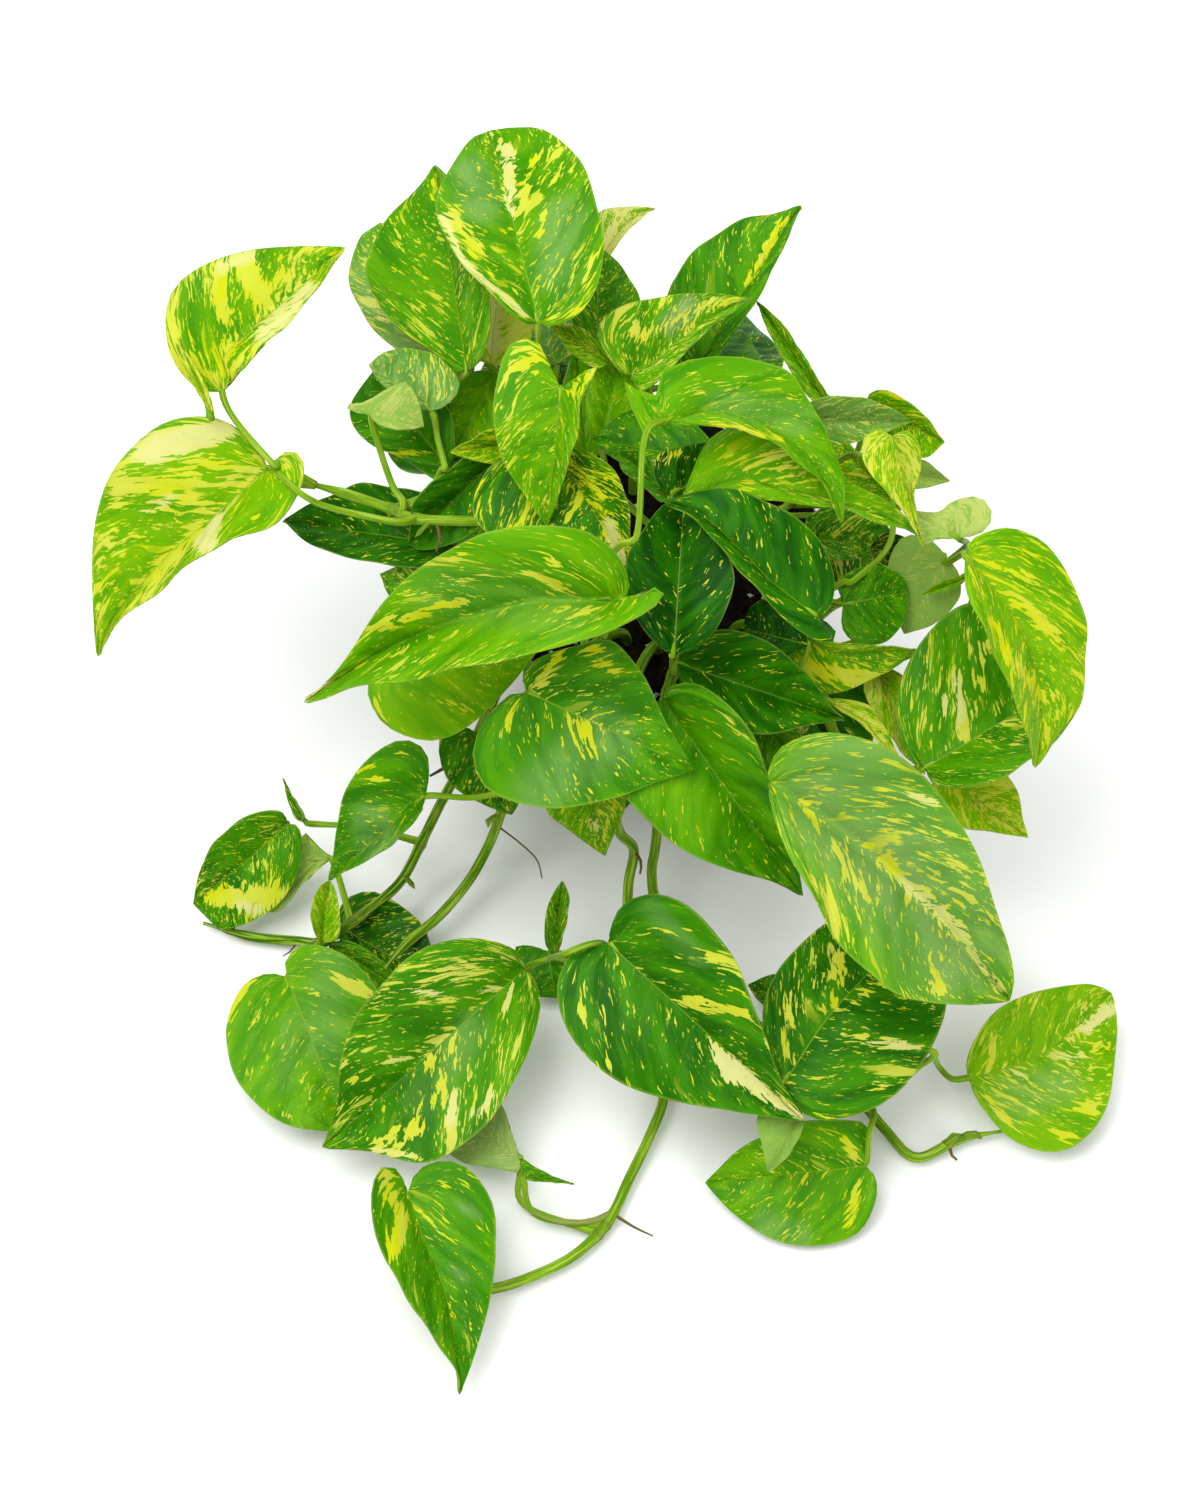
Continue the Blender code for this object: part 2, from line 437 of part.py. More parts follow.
def depth_at(pixels, heights):
    """Depths at which sight lines meet the given heights."""
    return (heights - EYE[2]) / sight(pixels)[..., 2]


def spot(pixel, height):
    """The point at a height on the sight line through one pixel."""
    pixel = np.asarray(pixel, float)
    return EYE + sight(pixel) * depth_at(pixel, height)


def seen(points):
    """Pixels and depths of points."""
    offset = points - EYE
    depth = offset @ AHEAD
    across = FRAME[0] / 2 + FOCAL * (offset @ RIGHT) / depth
    down = FRAME[1] / 2 - FOCAL * (offset @ RISE) / depth
    return np.stack((across, down), -1), depth


def inside(points, outline):
    """Whether frame points lie inside an outline."""
    x, y = points[..., 0], points[..., 1]
    hit = np.zeros(x.shape, bool)
    ax, ay = outline[-1]
    for bx, by in outline:
        crosses = (ay > y) != (by > y)
        hit ^= crosses & (x < (bx - ax) * (y - ay) / (by - ay + 1e-9) + ax)
        ax, ay = bx, by
    return hit


def hidden_row(name, heel, tip):
    """A row like those of LAYERS for a blade given by its place in the world."""
    heel, tip = np.array(heel) / 1000, np.array(tip) / 1000
    aside = np.cross(tip - heel, (0, 0, 1))
    aside *= np.linalg.norm(tip - heel) / np.linalg.norm(aside)
    spread = np.array([heel + (tip - heel) * along + aside * off for along, off in HEART])
    other = np.array([heel + (tip - heel) * along - aside * off for along, off in HEART])
    ends = seen(np.array((heel, tip)))[0]
    return (name, heel[2] * 1000, tip[2] * 1000, ends[0], ends[1], seen(spread)[0],
            seen(other)[0], {"rises": (0.0, 0.0)})


class Blade:
    """One leaf blade: its outline in the frame and the surface that carries it."""

    def __init__(self, index, name, heel_height, tip_height, heel, tip, edge_a, edge_b, extra):
        self.name = name
        self.extra = extra
        self.phase = 2.4 * index
        self.heel = np.array(heel, float)
        self.tip = np.array(tip, float)
        self.heights = (heel_height / 1000, tip_height / 1000)
        self.pixels_long = np.linalg.norm(self.tip - self.heel)
        self.axis = (self.tip - self.heel) / self.pixels_long
        self.across = np.array((-self.axis[1], self.axis[0]))
        if (np.mean(edge_a, axis=0) - np.mean(edge_b, axis=0)) @ self.across < 0:
            self.across = -self.across
        self.edges = [along_curve([heel, *edge, tip], EDGE_POINTS) for edge in (edge_a, edge_b)]
        self.outline = np.concatenate((self.edges[0], self.edges[1][-2:0:-1]))
        middle = along_curve([heel, *extra.get("mid", []), tip], MIDRIB_POINTS)
        self.middle = self.kept_inside(middle)
        self.length = np.linalg.norm(spot(tip, self.heights[1]) - spot(heel, self.heights[0]))
        self.reach = [abs(self.lay(edge)[1]).max() for edge in self.edges]
        self.rises = extra.get("rises") or [self.edge_rise(side) for side in (0, 1)]
        self.mesh = next(mesh[1:] for mesh in MESHES if self.length >= mesh[0])
        self.closer = 1.0

    def kept_inside(self, line):
        """Midrib as places along the blade and offsets, held off both edges."""
        along = (line - self.heel) @ self.axis / self.pixels_long
        off = (line - self.heel) @ self.across
        sides = []
        for edge in self.edges:
            places = (edge - self.heel) @ self.axis / self.pixels_long
            nearest = np.argmin(abs(places[None, :] - along[:, None]), axis=1)
            sides.append((edge[nearest] - self.heel) @ self.across)
        low, high = np.minimum(*sides), np.maximum(*sides)
        margin = MIDRIB_MARGIN * (high - low)
        held = np.clip(off, low + margin, high - margin)
        first, last = MIDRIB_FREE
        return along, np.where((along < first) | (along > last), off, held)

    def lay(self, pixels):
        """Place along the blade, from 0 at the heel to 1 at the tip, and distance off its midrib."""
        offset = pixels - self.heel
        along = offset @ self.axis / self.pixels_long
        return along, offset @ self.across - np.interp(along, *self.middle)

    def on_midrib(self, along):
        """Frame point of the midrib."""
        off = np.interp(along, *self.middle)
        return self.heel + self.axis * along * self.pixels_long + self.across * off

    def spine(self, along):
        """Height of the midrib."""
        low, high = self.heights
        return low + (high - low) * along + ARCH * self.length * 4 * along * (1 - along)

    def edge_rise(self, side):
        """How far an edge stands above the midrib, for the half to have its true width."""
        along, off = self.lay(self.edges[side])
        first, last = WIDEST_BETWEEN
        widest = np.argmax(np.where((along > first) & (along < last), abs(off), 0))
        edge = self.edges[side][widest]
        height = self.spine(along[widest])
        start = spot(edge, height)
        gap = start - spot(self.on_midrib(along[widest]), height)
        shown = abs(off[widest]) / FOCAL * VIEW_DISTANCE
        limit = WIDE_LIMIT if self.reach[side] >= self.reach[1 - side] else NARROW_LIMIT
        width = min(HALF_WIDTH * self.length, limit * shown)
        ray = sight(edge)
        ray = ray / ray[2]
        a, b, c = ray @ ray, 2 * gap @ ray, gap @ gap - width ** 2
        root = math.sqrt(max(b * b - 4 * a * c, 0))
        narrow = self.reach[side] < NARROW_HALF * self.reach[1 - side]
        wide = self.reach[1 - side] < NARROW_HALF * self.reach[side]
        towards = -1 if wide and not narrow else 1
        return (-b + towards * root) / (2 * a)

    def height(self, pixels):
        """Height of the blade's surface at frame points."""
        along, off = self.lay(pixels)
        share = np.where(off > 0, off / self.reach[0], -off / self.reach[1])
        rise = np.where(off > 0, self.rises[0], self.rises[1])
        puff = PUFF * self.length * 4 * share * (1 - share)
        wave = WAVE * self.length * share ** 2 * np.sin(
            2 * math.pi * WAVE_COUNT * along + self.phase)
        return np.maximum(self.spine(along) + rise * share + puff + wave, 2 * TABLE_CLEARANCE)

    def depths(self, pixels):
        return depth_at(pixels, self.height(pixels)) * self.closer

    def points(self, pixels):
        return EYE + sight(pixels) * self.depths(pixels)[..., None]


class Front:
    """Depth of the nearest thing so far at each cell of the frame."""

    def __init__(self):
        rows, columns = FRAME[1] // CELL, FRAME[0] // CELL
        down, across = np.mgrid[0:rows, 0:columns]
        self.centres = np.stack((across, down), -1) * CELL + CELL / 2
        self.depth = depth_at(self.centres, TABLE_CLEARANCE)

    def cells(self, pixels):
        """Row and column of the cells that hold frame points."""
        across = np.clip(pixels[..., 0] // CELL, 0, self.depth.shape[1] - 1).astype(int)
        down = np.clip(pixels[..., 1] // CELL, 0, self.depth.shape[0] - 1).astype(int)
        return down, across

    def nearby(self):
        """The nearest depth at each cell and the cells round it."""
        wide = np.pad(self.depth, 1, mode="edge")
        rows, columns = self.depth.shape
        return np.min([wide[i:i + rows, j:j + columns] for i in range(3) for j in range(3)], 0)

    def add_points(self, points, pad=0.0):
        pixels, depth = seen(points)
        np.minimum.at(self.depth, self.cells(pixels), depth - pad)

    def add_blade(self, blade):
        """Move a blade towards the eye until it is clear, and note where it lies."""
        down, across = np.nonzero(inside(self.centres, blade.outline))
        pixels = self.centres[down, across]
        if len(pixels) == 0:
            return
        apart = np.linalg.norm(pixels - blade.heel, axis=1) / FOCAL * VIEW_DISTANCE
        room = BLADE_GAP + HEEL_ROOM * np.exp(-(apart / HEEL_ROOM_SPREAD) ** 2)
        limit = self.nearby()[down, across] - room
        blade.closer = min(1.0, float(np.min(limit / blade.depths(pixels))))
        self.depth[down, across] = np.minimum(self.depth[down, across], blade.depths(pixels))
        blade.samples = blade.points(pixels)


def stem_line(name, front):
    """Centre line of a stem, kept in front of what is already placed where it shows."""
    hidden, shown = STEMS[name]
    root = np.array(hidden[0]) / 1000
    points = [np.array(point) / 1000 for point in hidden[1:]]
    points += [spot((px, py), height / 1000) for px, py, height in shown]
    rough = along_curve(points, STEM_POINTS * len(points))
    if shown:
        count = STEM_POINTS * (len(hidden) - 1)
        pixels, depth = seen(rough)
        room = STEM_RADIUS + STEM_GAP
        clear = front.nearby()[front.cells(pixels)] - room
        over = np.maximum(depth - clear, 0)
        over[:count] = 0
        for _ in range(STEM_SPREADS):
            spread = np.pad(over, 1, mode="edge")
            over = np.maximum(over, (spread[:-2] + spread[2:]) / 2 * STEM_SPREAD)
        rough = EYE + (rough - EYE) * ((depth - over) / depth)[:, None]
    rest = spaced(rough[::STEM_POINTS // 2] if shown else rough[::STEM_POINTS // 4], STEM_STEP)
    return np.concatenate(([root], rest))


def spaced(line, step):
    """Points along a smooth curve through a line, about a step apart."""
    length = np.linalg.norm(np.diff(line, axis=0), axis=1).sum()
    return along_curve(line, max(int(length / step), 3) + 1)


def filled(line):
    """Points a small step apart on the straight runs between a line's points."""
    place = np.concatenate(([0], np.cumsum(np.linalg.norm(np.diff(line, axis=0), axis=1))))
    wanted = np.linspace(0, place[-1], int(place[-1] / FILL_STEP) + 2)
    return np.stack([np.interp(wanted, place, line[:, k]) for k in range(3)], -1)


def tube_skin(line, radius):
    """Points on the skin of a tube, for the depth of what is round it."""
    rim = [RIGHT, -RIGHT, RISE, -RISE, 0 * RIGHT]
    return np.concatenate([filled(line) + side * radius for side in rim])


def pot_profile():
    """Radius and height of the pot's section, from the middle of its underside round to its floor."""
    under_rim = POT_HEIGHT - RIM_DEPTH
    flare = RIM_RADIUS - RIM_STEP
    return [(BASE_RADIUS - CHAMFER, 0), (BASE_RADIUS, CHAMFER), (flare, under_rim - CHAMFER),
            (RIM_RADIUS - CHAMFER / 2, under_rim), (RIM_RADIUS, POT_HEIGHT - CHAMFER),
            (RIM_RADIUS - WALL / 2, POT_HEIGHT), (RIM_RADIUS - WALL, POT_HEIGHT - CHAMFER),
            (flare - WALL, under_rim), (BASE_RADIUS - WALL, FLOOR)]


def pot_inner_radius(height):
    """Inner radius of the pot's wall."""
    share = (height - FLOOR) / (POT_HEIGHT - RIM_DEPTH - FLOOR)
    return BASE_RADIUS - WALL + share * (RIM_RADIUS - RIM_STEP - BASE_RADIUS)


def pot_skin():
    """Points on the pot and the soil, for the depth of what is round them."""
    turns = np.linspace(0, 2 * math.pi, 400, endpoint=False)
    rings = along_curve(pot_profile()[1:8], 120).tolist()
    rings += [(radius, SOIL_TOP + SOIL_BUMP)
              for radius in np.arange(SKIN_STEP, RIM_RADIUS, SKIN_STEP)]
    return np.concatenate([np.stack((radius * np.cos(turns), radius * np.sin(turns),
                                     np.full(turns.shape, height)), -1)
                           for radius, height in rings])


class Space:
    """A grid of small cubes that says which room is taken, and by what."""

    def __init__(self, front):
        self.owner = np.full(SPACE_SIZE, -1, np.int16)
        self.crowded = np.zeros(SPACE_SIZE, bool)
        grid = np.stack(np.meshgrid(*[np.arange(n) for n in SPACE_SIZE], indexing="ij"), -1)
        self.middles = SPACE_LOW + (grid + 0.5) * VOXEL
        pixels, depth = seen(self.middles)
        self.shown = depth < front.depth[front.cells(pixels)]

    def cube(self, points):
        """Cubes that hold points."""
        index = np.floor((points - SPACE_LOW) / VOXEL).astype(int)
        return np.clip(index, 0, np.array(SPACE_SIZE) - 1)

    def take(self, points, owner, clearance):
        """Take the cubes near the points for one owner."""
        middle = self.cube(points)
        reach = range(-2, 3)
        found = []
        for shift in ((i, j, k) for i in reach for j in reach for k in reach):
            cube = middle + shift
            fits = np.all((cube >= 0) & (cube < SPACE_SIZE), axis=1)
            centre = SPACE_LOW + (cube + 0.5) * VOXEL
            near = np.linalg.norm(centre - points, axis=1) < clearance
            flat = np.ravel_multi_index(cube[fits & near].T, SPACE_SIZE)
            found.append(flat)
        flat = np.unique(np.concatenate(found))
        held = self.owner.ravel()[flat]
        self.crowded.ravel()[flat[(held >= 0) & (held != owner)]] = True
        self.owner.ravel()[flat[held < 0]] = owner

    def way(self, start, own, normal, goals):
        """Shortest free way of cubes from a point to one of the goals, a mask of cubes."""
        offset = self.middles - start
        apart = np.linalg.norm(offset, axis=-1)
        beneath = (offset @ normal < OWN_DEPTH) & (apart < OWN_REACH)
        free = ~self.crowded & ((self.owner < 0) | ((self.owner == own) & beneath))
        free |= apart < START_REACH
        free |= goals
        free = free.ravel()
        cost = np.where(self.shown.ravel(), SHOWN_COST, 1).astype(np.int32)
        goals = goals.ravel()
        far = np.full(free.shape, 10 ** 6, np.int32)
        back = np.full(free.shape, -1, np.int64)
        first = int(np.ravel_multi_index(self.cube(start), SPACE_SIZE))
        far[first] = 0
        waves = {0: [np.array([first])]}
        steps = (SPACE_SIZE[1] * SPACE_SIZE[2], SPACE_SIZE[2], 1)
        for reached in range(LONGEST_WAY):
            if reached not in waves:
                continue
            now = np.unique(np.concatenate(waves.pop(reached)))
            now = now[far[now] == reached]
            home = now[goals[now]]
            if len(home):
                return self.trace(back, int(home[0]))
            place = np.stack(np.unravel_index(now, SPACE_SIZE), -1)
            for axis in range(3):
                for move in (-1, 1):
                    fits = (place[:, axis] + move >= 0) & (place[:, axis] + move < SPACE_SIZE[axis])
                    source = now[fits]
                    target = source + move * steps[axis]
                    source, target = source[free[target]], target[free[target]]
                    total = reached + cost[target]
                    better = total < far[target]
                    far[target[better]] = total[better]
                    back[target[better]] = source[better]
                    for value in np.unique(total[better]):
                        chosen = target[better][total[better] == value]
                        waves.setdefault(int(value), []).append(chosen)
        return None

    def trace(self, back, last):
        cubes = [last]
        while back[cubes[-1]] >= 0:
            cubes.append(int(back[cubes[-1]]))
        return self.middles.reshape(-1, 3)[cubes[::-1]]


def blade_sheet(blade):
    """Frame points and triangles of a blade: rows run from its midrib to its edge."""
    stations, lobe_rows, columns = blade.mesh
    pixels = [blade.heel]
    pixels += [blade.on_midrib(j / stations) for j in range(1, stations)]
    pixels.append(blade.tip)
    tip = stations
    triangles = []
    for side, edge in enumerate(blade.edges):
        along = blade.lay(edge)[0]

        def at_along(target):
            behind = np.nonzero(along <= target)[0][-1]
            ahead = min(behind + 1, len(edge) - 1)
            rest = (target - along[behind]) / max(along[ahead] - along[behind], 1e-6)
            return behind + min(max(rest, 0), 1)

        start = at_along(VEIN_SWEEP / (1 + VEIN_SWEEP))
        rows = [(0, start * (i + 1) / lobe_rows) for i in range(lobe_rows)]
        rows += [(j, at_along((j / stations + VEIN_SWEEP) / (1 + VEIN_SWEEP)))
                 for j in range(1, stations)]
        lines = []
        for root, place in rows:
            whole = min(int(place), len(edge) - 2)
            end = edge[whole] + (edge[whole + 1] - edge[whole]) * (place - whole)
            line = [root]
            for k in range(1, columns + 1):
                line.append(len(pixels))
                pixels.append(pixels[root] + (end - pixels[root]) * k / columns)
            lines.append(line)
        lines.append([tip] * (columns + 1))
        for one, two in zip(lines, lines[1:]):
            for k in range(columns):
                corners = [(one[k], one[k + 1], two[k + 1]), (one[k], two[k + 1], two[k])]
                for corner in corners:
                    if len(set(corner)) == 3:
                        triangles.append(corner if side == 0 else corner[::-1])
    pixels = np.array(pixels)
    triangles = np.array(triangles)
    a, b, c = (pixels[triangles[:, k]] for k in range(3))
    area = (b - a)[:, 0] * (c - a)[:, 1] - (b - a)[:, 1] * (c - a)[:, 0]
    if area.sum() > 0:
        triangles = triangles[:, ::-1]
    return pixels, triangles


def sheet_normals(points, triangles):
    """Unit normals at the points of a sheet."""
    a, b, c = (points[triangles[:, k]] for k in range(3))
    normals = np.zeros_like(points)
    face = np.cross(b - a, c - a)
    for k in range(3):
        np.add.at(normals, triangles[:, k], face)
    return normals / np.linalg.norm(normals, axis=1, keepdims=True)


def slab(points, triangles, thickness):
    """Closed slab of a sheet: the same triangles on both faces, and a wall round the edge."""
    normals = sheet_normals(points, triangles)
    count = len(points)
    both = np.concatenate((points + normals * thickness / 2, points - normals * thickness / 2))
    both[:, 2] = np.maximum(both[:, 2], LOWEST)
    faces = [tuple(t) for t in triangles.tolist()]
    sides = {(a, b) for t in faces for a, b in zip(t, t[1:] + t[:1])}
    rim = [(a, b) for a, b in sorted(sides) if (b, a) not in sides]
    faces += [tuple(v + count for v in t[::-1]) for t in triangles.tolist()]
    for a, b in rim:
        faces += [(b, a, a + count), (b, a + count, b + count)]
    return both, faces


def tube(line, radii, sides):
    """Closed tube round a centre line."""
    line = np.asarray(line, float)
    ahead = np.gradient(line, axis=0)
    ahead /= np.linalg.norm(ahead, axis=1, keepdims=True)
    side = np.cross(ahead[0], (0.3, 0.5, 0.8))
    points = []
    for centre, forward, radius in zip(line, ahead, radii):
        side = side - forward * (side @ forward)
        side /= np.linalg.norm(side)
        other = np.cross(forward, side)
        for turn in range(sides):
            angle = 2 * math.pi * turn / sides
            points.append(centre + radius * (math.cos(angle) * side + math.sin(angle) * other))
    faces = []
    for ring in range(len(line) - 1):
        for turn in range(sides):
            a = ring * sides + turn
            b = ring * sides + (turn + 1) % sides
            faces.append((a, b, b + sides, a + sides))
    last = (len(line) - 1) * sides
    faces.append(tuple(range(sides))[::-1])
    faces.append(tuple(last + turn for turn in range(sides)))
    return np.array(points), faces


def heel_frame(blade):
    """Heel point, direction towards the tip and upper normal of a blade."""
    first = blade.on_midrib(1 / blade.mesh[0])
    near = np.stack((blade.heel, first, blade.heel + blade.across * ASIDE_PIXELS))
    heel, ahead, aside = blade.points(near)
    forward = (ahead - heel) / np.linalg.norm(ahead - heel)
    normal = np.cross(forward, aside - heel)
    normal /= np.linalg.norm(normal)
    if normal @ (EYE - heel) < 0:
        normal = -normal
    return heel, forward, normal


def soften(points, tree, others, held):
    """Smooth a way of cubes where it stays clear of the blades, the table and other stalks."""
    points = points.copy()

    def room(point):
        apart = np.linalg.norm(others - point, axis=1).min() if len(others) else 1.0
        return min(tree.find_nearest(Vector(point))[3], apart - PETIOLE_RADIUS)

    for _ in range(SOFTENINGS):
        middle = (points[:-2] + points[2:]) / 2
        for k, target in enumerate(middle, start=1):
            if k < held:
                continue
            moved = points[k] + (target - points[k]) * SOFTENING
            moved[2] = max(moved[2], PETIOLE_RADIUS + STALK_LIFT)
            now = room(moved)
            if now > STALK_ROOM or now >= room(points[k]):
                points[k] = moved
    return points


def fewest(line, drift):
    """The first two and the fewest more of a line's points that stay within a drift of it."""
    keep = {0, 1, len(line) - 1}
    spans = [(1, len(line) - 1)]
    while spans:
        first, last = spans.pop()
        between = line[first + 1:last]
        if len(between) == 0:
            continue
        chord = line[last] - line[first]
        share = np.clip((between - line[first]) @ chord / (chord @ chord), 0, 1)
        apart = np.linalg.norm(between - line[first] - share[:, None] * chord, axis=1)
        middle = first + 1 + int(np.argmax(apart))
        if apart.max() > drift:
            keep.add(middle)
            spans += [(first, middle), (middle, last)]
    return line[sorted(keep)]


def thinned(way, tree, others):
    """Fewer points along a way, as few as keep what is round it clear."""
    for drift in STALK_DRIFTS:
        fewer = fewest(way, drift)
        run = filled(fewer)[::2]
        away = run[np.linalg.norm(run - way[0], axis=1) > OWN_REACH]
        blades_clear = all(tree.find_nearest(Vector(point))[3] > STALK_CLEAR for point in away)
        apart = np.linalg.norm(run[:, None, :] - others[None, ::2, :], axis=-1)
        if blades_clear and apart.min() > STALK_CLEAR + PETIOLE_RADIUS:
            break
    return fewer


def arrange():
    """Place the stems and blades and lead each blade's petiole to a stem."""
    front = Front()
    front.add_points(pot_skin(), SKIN_PAD)
    lines, blades = {}, []
    for index, row in enumerate(tuple(hidden_row(*leaf) for leaf in HIDDEN) + LAYERS):
        if len(row) == 1:
            lines[row[0]] = stem_line(row[0], front)
            front.add_points(tube_skin(lines[row[0]], STEM_RADIUS), SKIN_PAD)
        else:
            blades.append(Blade(index, *row))
            front.add_blade(blades[-1])
    space = Space(front)
    space.take(pot_skin(), POT_OWNER, POT_CLEARANCE)
    for number, line in enumerate(lines.values()):
        space.take(tube_skin(line, STEM_RADIUS), STEM_OWNER + number, STEM_ROOM)
    for number, blade in enumerate(blades):
        space.take(blade.samples, number, CLEARANCE)
    goals = {}
    runs = {name: filled(line) for name, line in lines.items()}
    for name, run in runs.items():
        mask = np.zeros(SPACE_SIZE, bool)
        usable = run[:-STEM_END_KEPT]
        outside = np.linalg.norm(usable[:, :2], axis=1) > RIM_RADIUS + JOIN_OUT
        usable = usable[outside | (usable[:, 2] > SOIL_TOP + JOIN_UP)]
        mask[tuple(space.cube(usable).T)] = True
        goals[name] = mask
    tree = blade_tree(blades)
    petioles, placed = [], []
    order = sorted(range(len(blades)), key=lambda n: -len(blades[n].extra.get("ways", [])))
    for number in order:
        stem, way, held = lead(number, blades[number], front, space, runs, goals)
        others = [run for owner, run in placed if owner != stem]
        others += [run for owner, run in runs.items() if owner != stem]
        way = soften(way, tree, np.concatenate(others), held)
        way = thinned(way, tree, np.concatenate(others))
        placed.append((stem, filled(way)))
        space.take(filled(way), STALK_OWNER + number, STALK_GAP)
        petioles.append((number, stem, way))
    return lines, blades, petioles


def lead(number, blade, front, space, runs, goals):
    """Find the petiole of one blade: its stem, its way and how many of its points are fixed."""
    heel, forward, normal = heel_frame(blade)
    seat = min(PETIOLE_SEAT * blade.length, LONGEST_SEAT)
    held = [heel + forward * seat - normal * SEAT_DEPTH, heel - normal * HEEL_DEPTH]
    for way in blade.extra.get("ways", []):
        pixel = np.array(way[:2], float)
        down, across = front.cells(pixel)
        behind = front.depth[max(down - 1, 0):down + 2, max(across - 1, 0):across + 2].min()
        depth = min(behind - WAY_ROOM, seen(held[-1])[1] + WAY_FALL)
        if len(way) == 3:
            depth = depth_at(pixel, way[2] / 1000)
        held.append(EYE + sight(pixel) * depth)
    allowed = [blade.extra["stem"]] if "stem" in blade.extra else list(goals)
    mask = np.any([goals[name] for name in allowed], axis=0)
    route = space.way(held[-1], number, normal, mask)
    if route is None:
        name = min(allowed, key=lambda s: np.linalg.norm(runs[s] - held[-1], axis=1).min())
        end = runs[name][np.argmin(np.linalg.norm(runs[name] - held[-1], axis=1))]
        print("no free way for", blade.name, "to", name)
        route = np.linspace(held[-1], end, 6)
    ends = {name: np.linalg.norm(runs[name] - route[-1], axis=1) for name in allowed}
    stem = min(ends, key=lambda name: ends[name].min())
    join = runs[stem][np.argmin(ends[stem])]
    return stem, np.concatenate((held, route[1:-1], [join])), len(held)


def make_object(name, points, faces, material):
    """New mesh object from points and faces."""
    mesh = bpy.data.meshes.new(name)
    flat = [(f[0], f[k], f[k + 1]) for f in faces for k in range(1, len(f) - 1)]
    mesh.from_pydata([tuple(p) for p in points], [], flat)
    mesh.materials.append(material)
    piece = bpy.data.objects.new(name, mesh)
    bpy.context.scene.collection.objects.link(piece)
    return piece


def new_material(name, colour, roughness):
    material = bpy.data.materials.new(name)
    material.use_nodes = True
    shader = material.node_tree.nodes["Principled BSDF"]
    shader.inputs["Base Color"].default_value = (*colour, 1)
    shader.inputs["Roughness"].default_value = roughness
    shader.inputs["Metallic"].default_value = 0
    return material


def without_doubles(mesh):
    """The mesh in triangles, without pairs that lie on each other and enclose nothing."""
    shape = bmesh.new()
    shape.from_mesh(mesh)
    bmesh.ops.triangulate(shape, faces=shape.faces)
    groups = {}
    for face in shape.faces:
        groups.setdefault(frozenset(vertex.index for vertex in face.verts), []).append(face)
    doubled = [face for group in groups.values() if len(group) > 1 for face in group]
    bmesh.ops.delete(shape, geom=doubled, context="FACES")
    shape.to_mesh(mesh)
    shape.free()
    return mesh


def boolean(piece, operation, cutter=None, collection=None, solver="EXACT"):
    """Apply one Boolean and remove what it used."""
    modifier = piece.modifiers.new("join", "BOOLEAN")
    modifier.operation = operation
    modifier.solver = solver
    if collection:
        modifier.operand_type = "COLLECTION"
        modifier.collection = collection
    else:
        modifier.object = cutter
    graph = bpy.context.evaluated_depsgraph_get()
    result = bpy.data.meshes.new_from_object(piece.evaluated_get(graph))
    piece.modifiers.clear()
    piece.data = without_doubles(result)
    for used in list(collection.objects) if collection else [cutter]:
        bpy.data.objects.remove(used)
    if collection:
        bpy.data.collections.remove(collection)


def turned(profile, sides):
    """Closed solid of revolution; a profile that starts and ends off the axis is capped flat."""
    points, faces = [], []
    for radius, height in profile:
        for turn in range(sides):
            angle = 2 * math.pi * turn / sides
            points.append((radius * math.cos(angle), radius * math.sin(angle), height))
    for ring in range(len(profile) - 1):
        for turn in range(sides):
            a = ring * sides + turn
            b = ring * sides + (turn + 1) % sides
            faces.append((a, b, b + sides, a + sides))
    last = (len(profile) - 1) * sides
    faces.append(tuple(range(sides))[::-1])
    faces.append(tuple(last + turn for turn in range(sides)))
    return points, faces


def column(name, radius, low, high, x, y, material):
    """Upright cutter."""
    points, faces = turned([(radius, low), (radius, high)], HOLE_SIDES)
    return make_object(name, [(px + x, py + y, pz) for px, py, pz in points], faces, material)


def make_pot(material):
    piece = make_object("pot", *turned(pot_profile(), POT_SIDES), material)
    holes = bpy.data.collections.new("drain_holes")
    for number in range(DRAIN_HOLES):
        angle = 2 * math.pi * (number + 0.5) / DRAIN_HOLES
        x, y = DRAIN_RING * math.cos(angle), DRAIN_RING * math.sin(angle)
        cutter = column("drain_cutter", DRAIN_RADIUS, -FLOOR, 2 * FLOOR, x, y, material)
        holes.objects.link(cutter)
    boolean(piece, "DIFFERENCE", collection=holes)


def make_soil(material):
    """Soil to near the rim, with an uneven top and a plain hole for each stem."""
    rng = np.random.default_rng(SOIL_SEED)
    low = FLOOR + SEAT_GAP
    profile = [(pot_inner_radius(low) - 2 * SEAT_GAP, low)]
    wide = pot_inner_radius(SOIL_TOP) - 2 * SEAT_GAP
    profile += [(wide * share, SOIL_TOP) for share in np.linspace(1, SOIL_INNER, SOIL_RINGS)]
    points, faces = turned(profile, SOIL_SIDES)
    points = np.array(points)
    top = points[:, 2] > SOIL_TOP - 1e-6
    points[top, 2] += rng.uniform(-SOIL_BUMP, SOIL_BUMP, top.sum())
    faces.pop()
    last = len(points)
    points = np.concatenate((points, [(0, 0, SOIL_TOP)]))
    ring = last - SOIL_SIDES
    faces += [(ring + k, ring + (k + 1) % SOIL_SIDES, last) for k in range(SOIL_SIDES)]
    piece = make_object("soil", points, faces, material)
    holes = bpy.data.collections.new("stem_holes")
    for hidden, _ in STEMS.values():
        x, y, _ = hidden[0]
        cutter = column("stem_cutter", STEM_RADIUS + HOLE_SLACK, ROOT_END - HOLE_SLACK,
                        POT_HEIGHT, x / 1000, y / 1000, material)
        holes.objects.link(cutter)
    boolean(piece, "DIFFERENCE", collection=holes)


